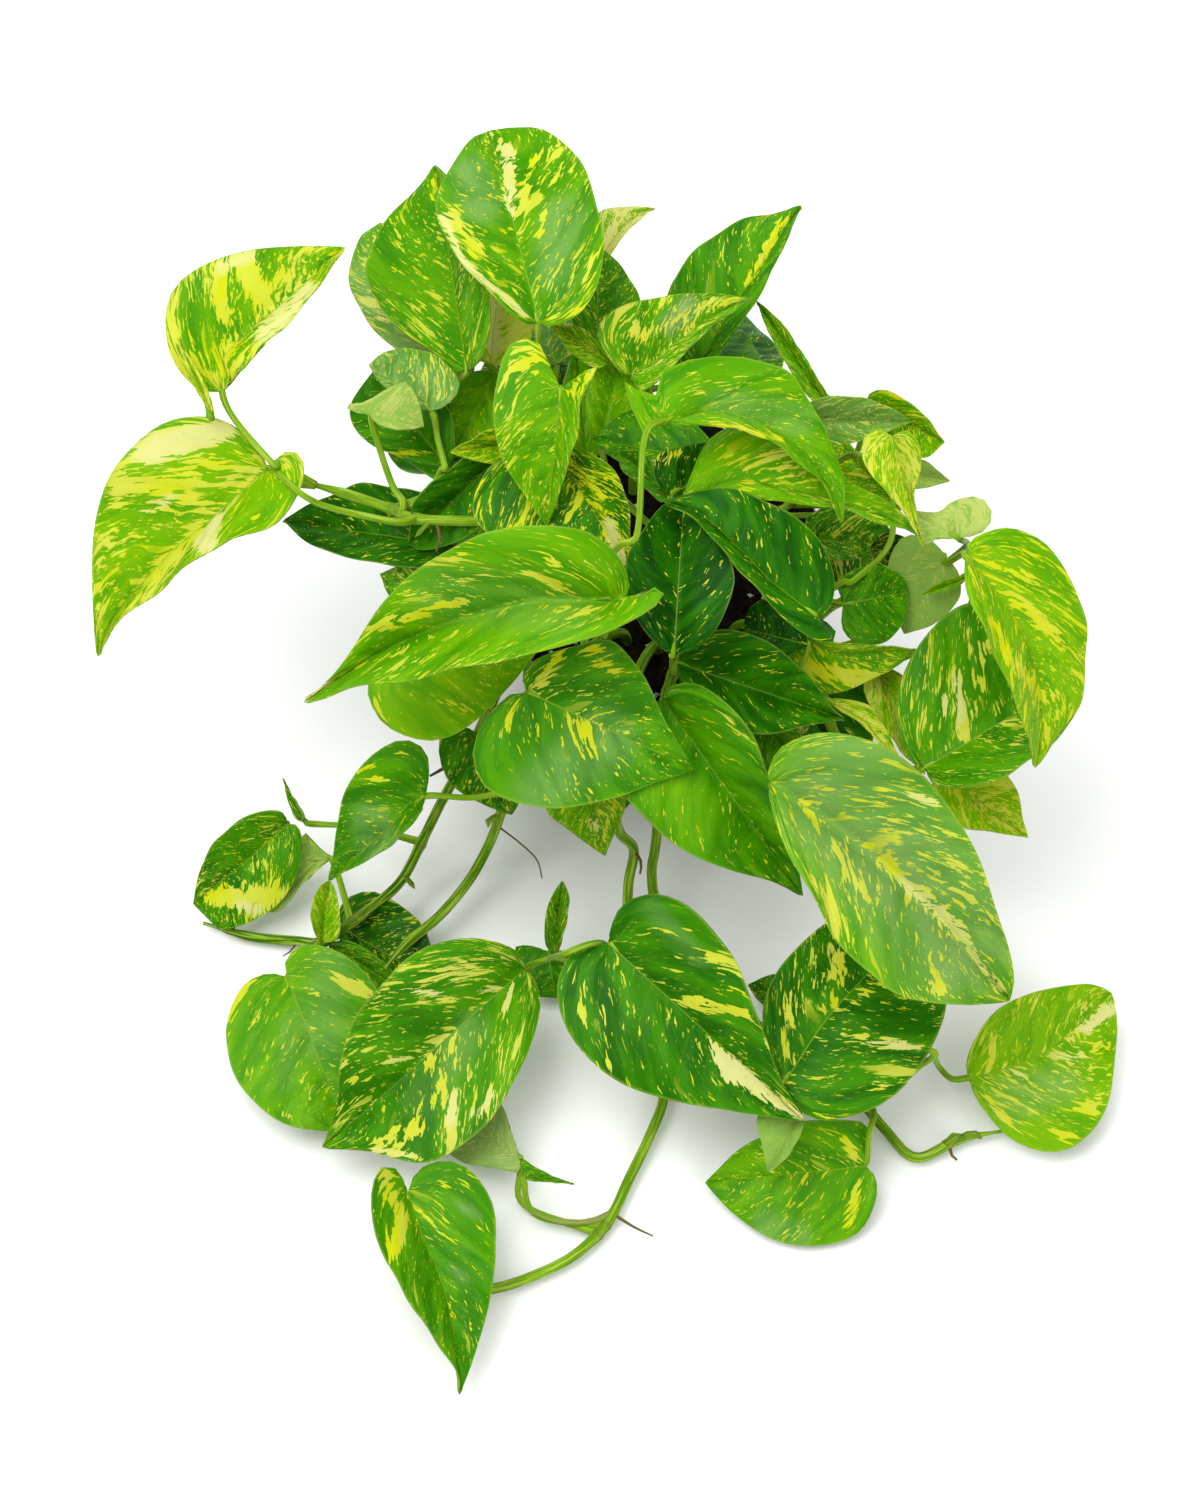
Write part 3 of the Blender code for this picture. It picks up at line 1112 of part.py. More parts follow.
def make_stems(material):
    """Each stem joined with the petioles and blades that it carries."""
    lines, blades, petioles = arrange()
    for name, line in lines.items():
        radii = np.full(len(line), STEM_RADIUS)
        radii[-1] = STEM_END_RADIUS
        piece = make_object(name, *tube(line, radii, STEM_SIDES), material)
        members = bpy.data.collections.new(name + "_members")
        for number, stem, way in petioles:
            if stem != name:
                continue
            radii = np.full(len(way), PETIOLE_RADIUS)
            radii[0] = SEAT_RADIUS
            points, faces = tube(way, radii, PETIOLE_SIDES)
            members.objects.link(make_object("petiole", points, faces, material))
            pixels, triangles = blade_sheet(blades[number])
            points, faces = slab(blades[number].points(pixels), triangles, BLADE_THICKNESS)
            members.objects.link(make_object("blade", points, faces, material))
        boolean(piece, "UNION", collection=members, solver="MANIFOLD")


def blade_tree(blades):
    """Search tree of all the blades."""
    points, faces = [], []
    for blade in blades:
        pixels, triangles = blade_sheet(blade)
        faces += (triangles + len(points)).tolist()
        points += blade.points(pixels).tolist()
    return BVHTree.FromPolygons(points, faces)


def main():
    for old in list(bpy.data.objects):
        bpy.data.objects.remove(old)
    make_pot(new_material("black_plastic", (0.012, 0.012, 0.012), 0.45))
    make_soil(new_material("soil", (0.03, 0.02, 0.014), 0.95))
    make_stems(new_material("leaf", (0.10, 0.34, 0.02), 0.4))


main()
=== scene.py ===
"""Looks of the potted golden pothos: fine leaves, stalks, soil and pot round the CAD frame.

The tables and the placement below repeat the part's own, so that each fine blade and stalk lies
where its solid is. Metres, +Z up; frame points are pixels of a 1200 x 1500 picture.
"""
import math

import bpy
import numpy as np
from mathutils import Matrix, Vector
from mathutils.bvhtree import BVHTree


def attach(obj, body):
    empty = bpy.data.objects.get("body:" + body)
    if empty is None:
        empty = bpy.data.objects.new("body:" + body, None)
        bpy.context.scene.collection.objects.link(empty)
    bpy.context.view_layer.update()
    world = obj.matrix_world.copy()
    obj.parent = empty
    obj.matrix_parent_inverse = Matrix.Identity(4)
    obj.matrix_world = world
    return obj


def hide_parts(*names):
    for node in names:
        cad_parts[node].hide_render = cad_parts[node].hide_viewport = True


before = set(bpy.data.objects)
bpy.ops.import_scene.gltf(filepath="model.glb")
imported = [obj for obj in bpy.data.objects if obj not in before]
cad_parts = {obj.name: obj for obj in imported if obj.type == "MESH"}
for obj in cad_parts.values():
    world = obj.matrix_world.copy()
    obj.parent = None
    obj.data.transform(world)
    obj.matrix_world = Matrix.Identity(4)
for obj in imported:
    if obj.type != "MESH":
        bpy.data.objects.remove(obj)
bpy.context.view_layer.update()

# Millimetres in a metre
MILLIMETRES = 1000

# Pot and soil, in metres
POT_HEIGHT = 0.1035
RIM_RADIUS = 0.066
RIM_DEPTH = 0.012
RIM_STEP = 0.0035
BASE_RADIUS = 0.045
WALL = 0.0016
CHAMFER = 0.001
FLOOR = 0.002
DRAIN_HOLES = 6
DRAIN_RADIUS = 0.0035
DRAIN_RING = 0.030
SOIL_TOP = 0.091
SOIL_BUMP = 0.0012
SEAT_GAP = 0.0003

# Stems, petioles and blades, in metres; the petiole's seat is a share of the blade's length
STEM_RADIUS = 0.0021
STEM_STEP = 0.018
PETIOLE_RADIUS = 0.0014
PETIOLE_SEAT = 0.2
LONGEST_SEAT = 0.006
SEAT_DEPTH = 0.00085
HEEL_DEPTH = 0.0012
SEAT_RADIUS = 0.0009
STEM_GAP = 0.0020
BLADE_GAP = 0.0032
HEEL_ROOM = 0.0050
HEEL_ROOM_SPREAD = 0.012
TABLE_CLEARANCE = 0.0008
LOWEST = 0.0002

# Shape of a blade, as shares of its length, and how far its waves shift from one to the next
HALF_WIDTH = 0.36
WIDE_LIMIT = 1.08
NARROW_LIMIT = 1.5
ARCH = 0.045
PUFF = 0.018
WAVE = 0.012
WAVE_COUNT = 1.3
VEIN_SWEEP = 0.22
MIDRIB_MARGIN = 0.2
MIDRIB_FREE = (0.08, 0.97)
WIDEST_BETWEEN = (0.05, 0.9)
NARROW_HALF = 0.6
PHASE_STEP = 2.4

# Points along the drawn lines, and how the curves through them are eased
CURVE_STEPS = 16
CURVE_EASE = 0.5
LEAST_STEPS = 3
EDGE_POINTS = 129
MIDRIB_POINTS = 17
STEM_POINTS = 8
STEM_SPREADS = 12
STEM_SPREAD = 0.98

# Mesh of a blade: least length, rows along it, rows in its lobe, columns to its edge
MESHES = ((0.080, 4, 2, 2), (0.045, 4, 2, 1), (0.0, 3, 1, 1))

# The view that the outlines are drawn in
ELEVATION = math.radians(60)
VIEW_DISTANCE = 1.5
AIM = np.array((-0.021, -0.063, 0.0635))
FOCAL = 3900.0
FRAME = (1200, 1500)
AHEAD = np.array((0.0, math.cos(ELEVATION), -math.sin(ELEVATION)))
RISE = np.array((0.0, math.sin(ELEVATION), math.cos(ELEVATION)))
RIGHT = np.array((1.0, 0.0, 0.0))
EYE = AIM - AHEAD * VIEW_DISTANCE

# Cells of the frame in pixels, and points on the skins of the pot and the stems, in metres
CELL = 4
SKIN_STEP = 0.0012
SKIN_PAD = 0.0005
SKIN_TURNS = 400
SKIN_RINGS = 120

# Least amounts to divide by, and a direction that no stalk starts in
TINY = 1e-9
LEAST_RUN = 1e-6
ASKEW = (0.3, 0.5, 0.8)

# Space in which the petioles look for their way, in metres and cubes
VOXEL = 0.003
SPACE_LOW = np.array((-0.246, -0.342, 0.0))
SPACE_SIZE = (150, 195, 100)
FILL_STEP = 0.001

# Room kept round the blades, the pot, the stems and the stalks, in metres
CLEARANCE = 0.0037
POT_CLEARANCE = 0.0027
STEM_ROOM = 0.0025
STALK_GAP = 0.0042
STALK_ROOM = 0.0030
STALK_CLEAR = 0.0021
NOTHING_NEAR = 1.0

# How far a stalk may stray from its way when points are left out, and how it is softened
STALK_DRIFTS = (0.0034, 0.0022, 0.0014, 0.0009, 0.0005)
STALK_LIFT = 0.0005
SOFTENINGS = 80
SOFTENING = 0.6

# Where a way starts, how it passes its own blade and drawn points, and where it may join a stem
STEM_END_KEPT = 4
ASIDE_PIXELS = 4
START_REACH = 0.0045
OWN_REACH = 0.014
OWN_DEPTH = 0.001
WAY_ROOM = 0.0034
WAY_FALL = 0.004
JOIN_OUT = 0.004
JOIN_UP = 0.006
SHOWN_COST = 4
LONGEST_WAY = 400
UNREACHED = 10 ** 6
TAKEN_REACH = 2
PLAIN_WAY = 6

# Numbers by which the space knows the stems, the pot and the stalks; blades have their own
STEM_OWNER, POT_OWNER, STALK_OWNER = 800, 900, 1000

# Heights in millimetres between which a stem goes straight up from its foot, through the soil
FOOT_HEIGHTS = (55, 94)

# Stems: foot and points further up in millimetres, then frame points with a height in millimetres
STEMS = {
    "vine_left": (
        (-26, -24), [(-36, -35, 116), (-50, -47, 114)],
        [(463, 763, 60), (443, 799, 45), (425, 835, 29), (404, 877, 16), (382, 899, 11),
         (353, 921, 8), (319, 944, 4), (297, 940, 3.4), (267, 940, 3.2), (240, 934, 3.2),
         (213, 927, 4), (188, 916, 6)]),
    "vine_inner": (
        (-11, -31), [(-22, -45, 115), (-33, -61, 113)],
        [(500, 814, 52), (486, 853, 34), (448, 909, 14), (425, 927, 8), (398, 952, 4),
         (372, 985, 3.2)]),
    "vine_front": (
        (1, -36), [(-4, -52, 115), (-9, -68, 112)],
        [(616, 821, 62), (635, 849, 45), (632, 872, 33), (625, 900, 22), (632, 940, 10),
         (645, 990, 4.5), (658, 1045, 3.2), (664, 1095, 3.2), (652, 1131, 3.2), (634, 1167, 3.2),
         (613, 1214, 3.2), (580, 1251, 3.2), (550, 1269, 3.2), (496, 1288, 3.2),
         (455, 1290, 3.2), (420, 1280, 3.2)]),
    "vine_right": (
        (14, -34), [(10, -52, 115), (3, -69, 112)],
        [(658, 828, 60), (653, 858, 42), (653, 892, 24), (670, 940, 8), (713, 990, 3.5),
         (765, 1030, 3.2), (815, 1068, 3.2), (855, 1095, 3.2), (879, 1118, 3.2), (893, 1148, 3.2),
         (914, 1158, 3.2), (943, 1146, 3.5), (966, 1137, 5), (1000, 1132, 4), (1022, 1124, 4)]),
    "vine_side": (
        (30, -28), [(43, -38, 114), (57, -47, 112)],
        [(828, 722, 98), (842, 745, 88), (862, 790, 62), (880, 830, 40)]),
    "stem_west": (
        (-36, 2), [(-44, 2, 116), (-58, 0, 128)],
        [(470, 520, 134), (432, 524, 138), (400, 512, 142), (350, 495, 150), (300, 481, 158),
         (284, 474, 161)]),
    "stem_northwest": ((-30, 24), [(-34, 30, 118), (-42, 42, 142)], []),
    "stem_north": ((-8, 38), [(-8, 44, 118), (-10, 54, 142)], []),
    "stem_northeast": ((20, 34), [(26, 40, 116), (36, 50, 136)], []),
    "stem_east": ((38, 10), [(46, 12, 114), (62, 14, 126)], []),
    "stem_middle": ((-14, 8), [(-16, 8, 120), (-18, 10, 150)], []),
    "stem_centre": ((16, 12), [(17, 12, 116), (20, 12, 140)], []),
}

# Blades that the others hide from the view: name, heel and tip in millimetres
HIDDEN = (
    ("behind_north", (-5, 72, 122), (-8, 120, 82)),
    ("behind_northeast", (24, 72, 122), (33, 128, 90)),
    ("behind_northwest", (-40, 62, 122), (-50, 122, 88)),
    ("behind_west", (-68, 40, 112), (-94, 108, 78)),
    ("behind_high", (-38, 64, 140), (-48, 112, 112)),
    ("behind_east", (20, 58, 142), (28, 102, 120)),
    ("under_east", (64, 14, 110), (104, 0, 70)),
    ("under_southeast", (50, -50, 104), (80, -92, 56)),
    ("under_southwest", (-60, -26, 104), (-98, -50, 66)),
    ("under_west", (-66, 14, 106), (-104, 24, 72)),
    ("under_south", (-18, -76, 96), (-24, -104, 64)),
    ("under_south_right", (22, -62, 102), (34, -100, 60)),
)

# Outline of a hidden blade from heel to tip: share along it and share off its midrib
HEART = ((-0.07, 0.13), (0.0, 0.28), (0.14, 0.37), (0.34, 0.37), (0.55, 0.29), (0.76, 0.16),
         (0.9, 0.06))

# Blades from the back to the front: name, heights of heel and tip in millimetres, heel, tip,
# one edge and the other edge from heel to tip, in frame points, and what is special to it.
# A row that only names a stem sets where that stem lies between the blades.
LAYERS = (
    ("flat_dark", 3, 2.5, (345, 930), (440, 985), [(338, 915), (348, 898), (372, 891), (400, 905),
     (425, 930)], [(338, 950), (360, 975), (400, 990)], {"stem": "vine_left"}),
    ("flat_streaked", 4, 3, (330, 945), (420, 1000), [(345, 940), (375, 955), (395, 975)],
     [(330, 965), (360, 990)], {"stem": "vine_left"}),
    ("vine_left",),
    ("vine_inner",),
    ("vine_front",),
    ("vine_right",),
    ("vine_side",),
    ("trail_corner", 16, 12, (790, 1010), (748, 985), [(780, 976), (765, 977)],
     [(775, 1012), (758, 1000)], {"stem": "vine_right"}),
    ("trail_bottom", 14, 7, (866, 1166), (705, 1183), [(868, 1150), (869, 1130), (858, 1121),
     (806, 1121), (770, 1133), (736, 1152)], [(872, 1172), (877, 1190), (868, 1220), (850, 1238),
     (815, 1246), (775, 1240), (735, 1215)], {"stem": "vine_right", "ways": [(869, 1135),
      (874, 1112)]}),
    ("trail_lower_tip", 14, 12, (800, 1112), (768, 1172), [(775, 1112), (757, 1118),
     (762, 1145)], [(803, 1125), (795, 1145), (782, 1162)], {"stem": "vine_right"}),
    ("trail_dark", 20, 32, (784, 1083), (905, 935), [(770, 1060), (762, 1015), (775, 975),
     (800, 945), (830, 922), (865, 925)], [(795, 1105), (820, 1120), (870, 1110), (905, 1085),
     (930, 1050), (946, 1005), (935, 960)], {"stem": "vine_right", "mid": [(830, 1015)]}),
    ("trail_right", 18, 22, (969, 1079), (1112, 993), [(967, 1060), (980, 1030), (1000, 1008),
     (1035, 992), (1082, 984), (1100, 987)], [(975, 1095), (985, 1112), (1010, 1138),
     (1045, 1152), (1075, 1146), (1103, 1115), (1113, 1075), (1117, 1030)],
     {"stem": "vine_right", "mid": [(1040, 1055)], "ways": [(952, 1079), (940, 1068),
      (932, 1051)]}),
    ("trail_olive", 14, 8, (548, 952), (556, 998), [(530, 946), (515, 948), (520, 975),
     (535, 995)], [(560, 955), (566, 975), (563, 990)], {"stem": "vine_front"}),
    ("trail_narrow", 14, 42, (555, 958), (562, 881), [(545, 940), (548, 905)],
     [(562, 940), (569, 905), (567, 890)], {"stem": "vine_front"}),
    ("trail_hidden_pale", 18, 12, (520, 1160), (455, 1110), [(512, 1135), (500, 1103),
     (472, 1090)], [(519, 1172), (490, 1167), (462, 1162), (440, 1140)],
     {"stem": "vine_front", "ways": [(521, 1180), (522, 1203), (534, 1216), (572, 1222)]}),
    ("trail_small_dark", 14, 10, (524, 1176), (575, 1184), [(520, 1158), (535, 1167),
     (555, 1177)], [(532, 1181), (550, 1182)],
     {"stem": "vine_front", "ways": [(524, 1203), (536, 1215), (574, 1221)]}),
    ("trail_spike", 28, 30, (305, 822), (283, 778), [(296, 818), (288, 800)],
     [(303, 812), (292, 795)], {"stem": "vine_left", "ways": [(316, 824)]}),
    ("trail_pale", 24, 12, (331, 858), (262, 912), [(315, 850), (303, 832), (298, 850),
     (282, 890)], [(318, 868), (300, 887), (280, 910)], {"stem": "vine_left"}),
    ("trail_yellow_tip", 34, 12, (288, 824), (193, 904), [(282, 812), (265, 811), (240, 820),
     (215, 842), (200, 870)], [(298, 826), (302, 845), (296, 875), (280, 902), (250, 922),
     (215, 929), (202, 920)], {"stem": "vine_left", "mid": [(245, 862)]}),
    ("trail_bud_leaf", 6, 20, (322, 943), (330, 880), [(313, 930), (312, 905), (320, 887)],
     [(338, 938), (340, 915), (335, 890)], {"stem": "vine_left"}),
    ("trail_light", 26, 10, (287, 977), (348, 1133), [(268, 974), (245, 984), (230, 1010),
     (226, 1040), (240, 1085), (285, 1124)], [(286, 960), (300, 947), (325, 947), (355, 963),
     (380, 995), (385, 1050), (370, 1100)], {"stem": "vine_left"}),
    ("trail_streaked", 42, 20, (524, 970), (322, 1147), [(521, 955), (500, 943), (465, 938),
     (420, 950), (385, 980), (355, 1020), (340, 1060), (336, 1110)], [(532, 975), (540, 1000),
     (532, 1040), (515, 1080), (490, 1120), (455, 1150), (420, 1163), (370, 1152)],
     {"stem": "vine_front", "mid": [(450, 1035), (380, 1098)],
      "ways": [(545, 960), (566, 953), (590, 944)]}),
    ("trail_front", 46, 20, (609, 944), (804, 1121), [(612, 925), (620, 908), (640, 896),
     (665, 895), (695, 910), (725, 945), (752, 1000), (775, 1065), (792, 1102)], [(595, 946),
     (572, 955), (558, 985), (565, 1025), (590, 1060), (625, 1085), (670, 1100), (750, 1114)],
     {"stem": "vine_right"}),
    ("trail_end", 30, 8, (408, 1192), (460, 1395), [(402, 1180), (392, 1168), (380, 1168),
     (373, 1185), (373, 1210), (381, 1246), (408, 1300), (450, 1361)], [(415, 1175), (430, 1163),
     (455, 1162), (475, 1175), (493, 1205), (496, 1240), (492, 1290), (478, 1345)],
     {"stem": "vine_front", "mid": [(422, 1233), (446, 1295)]}),
    ("trail_upper", 60, 22, (425, 797), (328, 880), [(428, 780), (428, 757), (415, 742),
     (393, 742), (362, 765), (342, 800), (335, 845)], [(420, 812), (400, 838), (365, 862)],
     {"stem": "vine_inner", "ways": [(450, 801), (478, 797)]}),
    ("stem_northwest",),
    ("stem_north",),
    ("stem_northeast",),
    ("stem_east",),
    ("stem_middle",),
    ("stem_centre",),
    ("front_speckled", 70, 45, (480, 735), (512, 815), [(460, 725), (441, 735), (440, 760),
     (452, 785), (480, 803)], [(505, 735), (520, 770), (520, 800)], {}),
    ("front_tip", 80, 50, (590, 770), (605, 856), [(560, 775), (546, 808), (577, 836)],
     [(620, 775), (626, 803), (614, 835)], {}),
    ("shade_right", 100, 85, (745, 700), (800, 770), [(770, 700), (797, 725), (802, 750)],
     [(740, 730), (765, 765)], {}),
    ("lime_strip", 105, 90, (880, 672), (925, 775), [(868, 675), (864, 690), (880, 722),
     (905, 755)], [(895, 670), (915, 690), (930, 730)], {}),
    ("folded_bit", 100, 85, (828, 700), (899, 757), [(845, 699), (868, 706), (885, 728)],
     [(842, 712), (862, 724), (880, 744)], {}),
    ("lime_below", 85, 70, (938, 770), (1028, 838), [(955, 760), (995, 765), (1017, 790),
     (1023, 820)], [(930, 795), (940, 815), (965, 828), (1000, 833)], {}),
    ("right_mid", 116, 114, (905, 500), (836, 428), [(885, 478), (855, 450)], [(892, 520),
     (850, 505), (830, 470)], {}),
    ("right_tip", 130, 125, (890, 470), (950, 481), [(900, 458), (925, 461)],
     [(900, 488), (925, 488)], {"ways": [(891, 540), (853, 581)]}),
    ("edge_on", 140, 150, (828, 405), (756, 301), [(825, 390), (805, 358), (783, 324)],
     [(812, 400), (790, 370), (770, 335)], {}),
    ("right_dark", 136, 126, (865, 405), (945, 442), [(872, 392), (890, 392), (920, 411)],
     [(870, 425), (895, 450), (925, 458)], {}),
    ("right_cream", 146, 136, (800, 420), (912, 421), [(810, 402), (845, 396), (885, 405)],
     [(805, 440), (840, 445), (880, 435)], {}),
    ("right_small", 118, 112, (808, 540), (890, 545), [(805, 520), (825, 508), (860, 512),
     (885, 530)], [(815, 555), (840, 560), (870, 556)], {}),
    ("right_lower", 112, 106, (870, 548), (925, 560), [(885, 533), (910, 540)],
     [(880, 562), (905, 569)], {}),
    ("right_pale", 106, 88, (945, 556), (904, 634), [(932, 541), (908, 535), (894, 548),
     (887, 575), (893, 608)], [(959, 575), (958, 600), (934, 624)], {}),
    ("right_slip", 122, 118, (968, 577), (921, 595), [(955, 577), (935, 585)],
     [(958, 586), (938, 593)], {}),
    ("right_round", 128, 124, (844, 604), (909, 592), [(838, 583), (858, 568), (885, 567),
     (902, 577)], [(842, 628), (858, 644), (885, 642), (903, 622)], {}),
    ("small_shade", 130, 128, (430, 585), (380, 574), [(425, 570), (400, 566)],
     [(420, 600), (392, 598)], {}),
    ("long_dark", 122, 102, (455, 545), (282, 521), [(462, 520), (440, 500), (400, 488),
     (360, 485), (315, 502)], [(462, 562), (440, 570), (410, 567), (345, 557), (305, 540)], {}),
    ("under_left", 125, 125, (392, 668), (540, 648), [(375, 672), (367, 690), (385, 725),
     (430, 741), (470, 725), (508, 688)], [(400, 640), (440, 620), (490, 615), (528, 630)], {}),
    ("back_right", 150, 155, (695, 368), (801, 205), [(680, 360), (668, 325), (670, 290),
     (695, 250), (740, 222), (775, 212)], [(708, 372), (722, 350), (745, 318), (765, 285),
     (787, 240)], {}),
    ("back_tip", 150, 150, (585, 285), (655, 208), [(578, 262), (590, 228), (606, 209),
     (630, 207)], [(592, 288), (606, 262), (622, 238), (640, 219)], {}),
    ("back_flecked", 150, 155, (597, 345), (598, 248), [(580, 340), (570, 310), (575, 275)],
     [(612, 348), (634, 330), (640, 300), (625, 272), (608, 253)], {}),
    ("back_grey", 140, 132, (470, 385), (380, 222), [(440, 378), (410, 360), (370, 325),
     (349, 275), (358, 240)], [(475, 360), (460, 320), (430, 270), (400, 235)], {}),
    ("small_olive", 160, 165, (490, 363), (500, 270), [(478, 360), (468, 342), (475, 312),
     (485, 285)], [(505, 366), (528, 345), (533, 318), (520, 288)], {}),
    ("inner_dark", 150, 140, (495, 375), (452, 458), [(480, 370), (462, 380), (449, 415)],
     [(510, 385), (505, 420), (480, 450)], {}),
    ("inner_back", 140, 150, (588, 462), (575, 345), [(568, 445), (560, 400)], [(606, 445),
     (604, 395)], {}),
    ("inner_fold", 155, 165, (603, 442), (624, 345), [(588, 430), (588, 390), (605, 356)],
     [(613, 438), (633, 418), (638, 382)], {}),
    ("small_green", 165, 165, (610, 362), (548, 322), [(600, 345), (580, 328)],
     [(596, 368), (568, 350)], {}),
    ("tall_left", 175, 165, (466, 370), (435, 164), [(455, 372), (430, 350), (400, 330),
     (375, 300), (367, 270), (380, 230), (410, 195)], [(478, 365), (488, 345), (490, 300),
     (485, 255), (470, 205), (450, 178)], {}),
    ("left_dark", 130, 125, (448, 468), (372, 372), [(440, 482), (410, 462), (366, 441),
     (350, 412)], [(455, 450), (448, 410), (420, 382), (395, 372)], {}),
    ("left_grey", 160, 155, (431, 411), (369, 365), [(447, 405), (460, 385), (440, 358),
     (412, 349), (385, 352)], [(418, 408), (395, 395), (378, 380)],
     {"ways": [(438, 440), (445, 468)]}),
    ("left_pale", 160, 158, (370, 415), (424, 427), [(355, 412), (343, 405), (365, 402),
     (385, 390), (405, 383), (418, 400)], [(378, 424), (400, 430)],
     {"stem": "stem_west", "ways": [(369, 436), (378, 460), (391, 482), (404, 503)]}),
    ("olive_dark", 134, 108, (499, 457), (408, 545), [(485, 440), (460, 462), (432, 482),
     (413, 505)], [(520, 470), (500, 510), (460, 540), (425, 550)], {}),
    ("inner_pale", 155, 160, (540, 440), (450, 452), [(535, 425), (510, 425), (485, 432),
     (465, 443)], [(545, 460), (520, 468), (490, 464), (465, 458)], {}),
    ("stem_west",),
    ("far_left_cream", 165, 100, (268, 469), (97, 657), [(252, 440), (215, 418), (165, 422),
     (125, 455), (100, 500), (92, 560), (94, 620)], [(285, 452), (300, 455), (301, 485),
     (275, 525), (225, 542), (165, 585), (115, 628)],
     {"stem": "stem_west", "mid": [(215, 515), (150, 585)],
      "ways": [(300, 493), (322, 505), (365, 516), (400, 522)]}),
    ("far_left_top", 190, 210, (223, 392), (345, 247), [(196, 388), (172, 358), (165, 320),
     (172, 292), (195, 270), (240, 252), (300, 246)], [(236, 372), (262, 346), (290, 322),
     (322, 282)], {"stem": "stem_west", "ways": [(235, 420), (255, 445), (275, 466)]}),
    ("far_left_young", 182, 196, (214, 417), (180, 345), [(200, 396), (186, 368)],
     [(209, 393), (195, 366)], {"stem": "stem_west"}),
    ("inner_low", 128, 124, (722, 462), (592, 440), [(700, 428), (665, 408), (625, 412)],
     [(700, 478), (655, 474), (615, 460)], {}),
    ("inner_fan", 140, 138, (672, 497), (618, 452), [(658, 472), (640, 452)], [(662, 502),
     (640, 484), (622, 470)], {}),
    ("inner_edge", 150, 150, (672, 497), (735, 448), [(655, 480), (658, 455), (690, 445),
     (715, 442)], [(690, 500), (720, 480), (735, 462)], {}),
    ("speckled", 150, 134, (550, 440), (626, 566), [(530, 445), (495, 462), (476, 490),
     (474, 520), (510, 545), (570, 560)], [(570, 448), (600, 458), (620, 480), (630, 520),
     (631, 550)], {}),
    ("tall_front", 200, 205, (539, 323), (490, 130), [(525, 322), (500, 305), (462, 262),
     (440, 225), (436, 200), (450, 168), (470, 140)], [(552, 326), (578, 315), (597, 285),
     (604, 245), (598, 210), (580, 160), (545, 131), (510, 128)], {"ways": [(541, 338)]}),
    ("lime_centre", 196, 160, (561, 389), (547, 527), [(550, 370), (540, 345), (524, 338),
     (507, 348), (497, 380), (493, 415), (503, 460), (530, 503)], [(573, 384), (588, 370),
     (598, 366), (590, 384), (580, 404), (578, 430), (562, 485)], {}),
    ("low_yellow", 108, 100, (772, 632), (918, 650), [(785, 622), (812, 630), (840, 643),
     (880, 645)], [(770, 655), (792, 681), (820, 694), (855, 687), (885, 672), (905, 660)], {}),
    ("centre_dark", 106, 108, (808, 645), (742, 628), [(795, 612), (770, 598), (750, 608)],
     [(790, 655), (765, 655), (748, 643)], {}),
    ("low_right", 110, 95, (678, 663), (846, 720), [(685, 645), (720, 630), (765, 640),
     (805, 672), (828, 702)], [(682, 690), (705, 715), (740, 733), (775, 733), (815, 724)], {}),
    ("deep_centre", 118, 136, (674, 655), (684, 497), [(657, 645), (638, 620), (626, 588),
     (628, 555), (645, 527), (663, 505)], [(690, 650), (715, 630), (730, 600), (734, 572),
     (722, 543), (703, 515)], {}),
    ("yellow_right", 150, 125, (684, 495), (922, 536), [(694, 470), (712, 438), (760, 422),
     (805, 440), (848, 480), (895, 506)], [(710, 498), (742, 493), (770, 500), (820, 506),
     (880, 521)], {}),
    ("right_streaked", 100, 110, (925, 768), (1084, 672), [(912, 760), (898, 720), (905, 670),
     (940, 620), (975, 602), (1030, 610), (1070, 640)], [(935, 785), (965, 788), (1012, 772),
     (1060, 735), (1082, 700)], {}),
    ("dark_folded", 125, 150, (816, 616), (664, 501), [(828, 612), (834, 580), (815, 535),
     (770, 503), (720, 488)], [(834, 628), (837, 640), (818, 640), (780, 615), (740, 570),
     (700, 525)], {}),
    ("right_curl", 146, 140, (958, 538), (908, 510), [(977, 535), (989, 526), (992, 512),
     (983, 499), (968, 497), (950, 503), (938, 512)], [(944, 538), (931, 540), (923, 547),
     (916, 530)], {"ways": [(963, 549, 144), (936, 567, 132), (908, 587, 119)]}),
    ("right_rolled", 158, 134, (892, 437), (923, 548), [(878, 429), (865, 436), (862, 455),
     (870, 473), (887, 493), (907, 517)], [(904, 430), (917, 440), (921, 462), (916, 487),
     (914, 505), (921, 530)], {}),
    ("far_right_lime", 150, 85, (966, 556), (1036, 768), [(968, 545), (980, 535), (1010, 528),
     (1045, 545), (1075, 590), (1087, 635), (1079, 700), (1055, 742)], [(966, 578), (975, 612),
     (1000, 665), (1022, 722)], {"mid": [(1020, 625), (1042, 700)],
      "ways": [(959, 556, 148), (934, 573, 134), (905, 592, 118)]}),
    ("top_right", 175, 170, (632, 376), (752, 299), [(620, 372), (607, 355), (598, 335),
     (604, 318), (625, 305), (660, 297), (710, 293)], [(640, 392), (655, 385), (680, 358),
     (720, 320)], {}),
    ("big_right", 190, 150, (668, 421), (843, 524), [(641, 433), (631, 408), (623, 375),
     (641, 395), (655, 400), (656, 385), (668, 366), (720, 355), (765, 361), (795, 380),
     (825, 430), (843, 480)], [(680, 426), (720, 425), (762, 438), (800, 462), (825, 490)],
     {"mid": [(725, 412), (785, 443)], "ways": [(645, 435), (636, 456), (634, 500), (637, 535)]}),
    ("front_lower", 105, 50, (662, 700), (803, 896), [(668, 688), (700, 685), (740, 715),
     (765, 765), (785, 830), (797, 872)], [(645, 708), (620, 740), (615, 780), (632, 805),
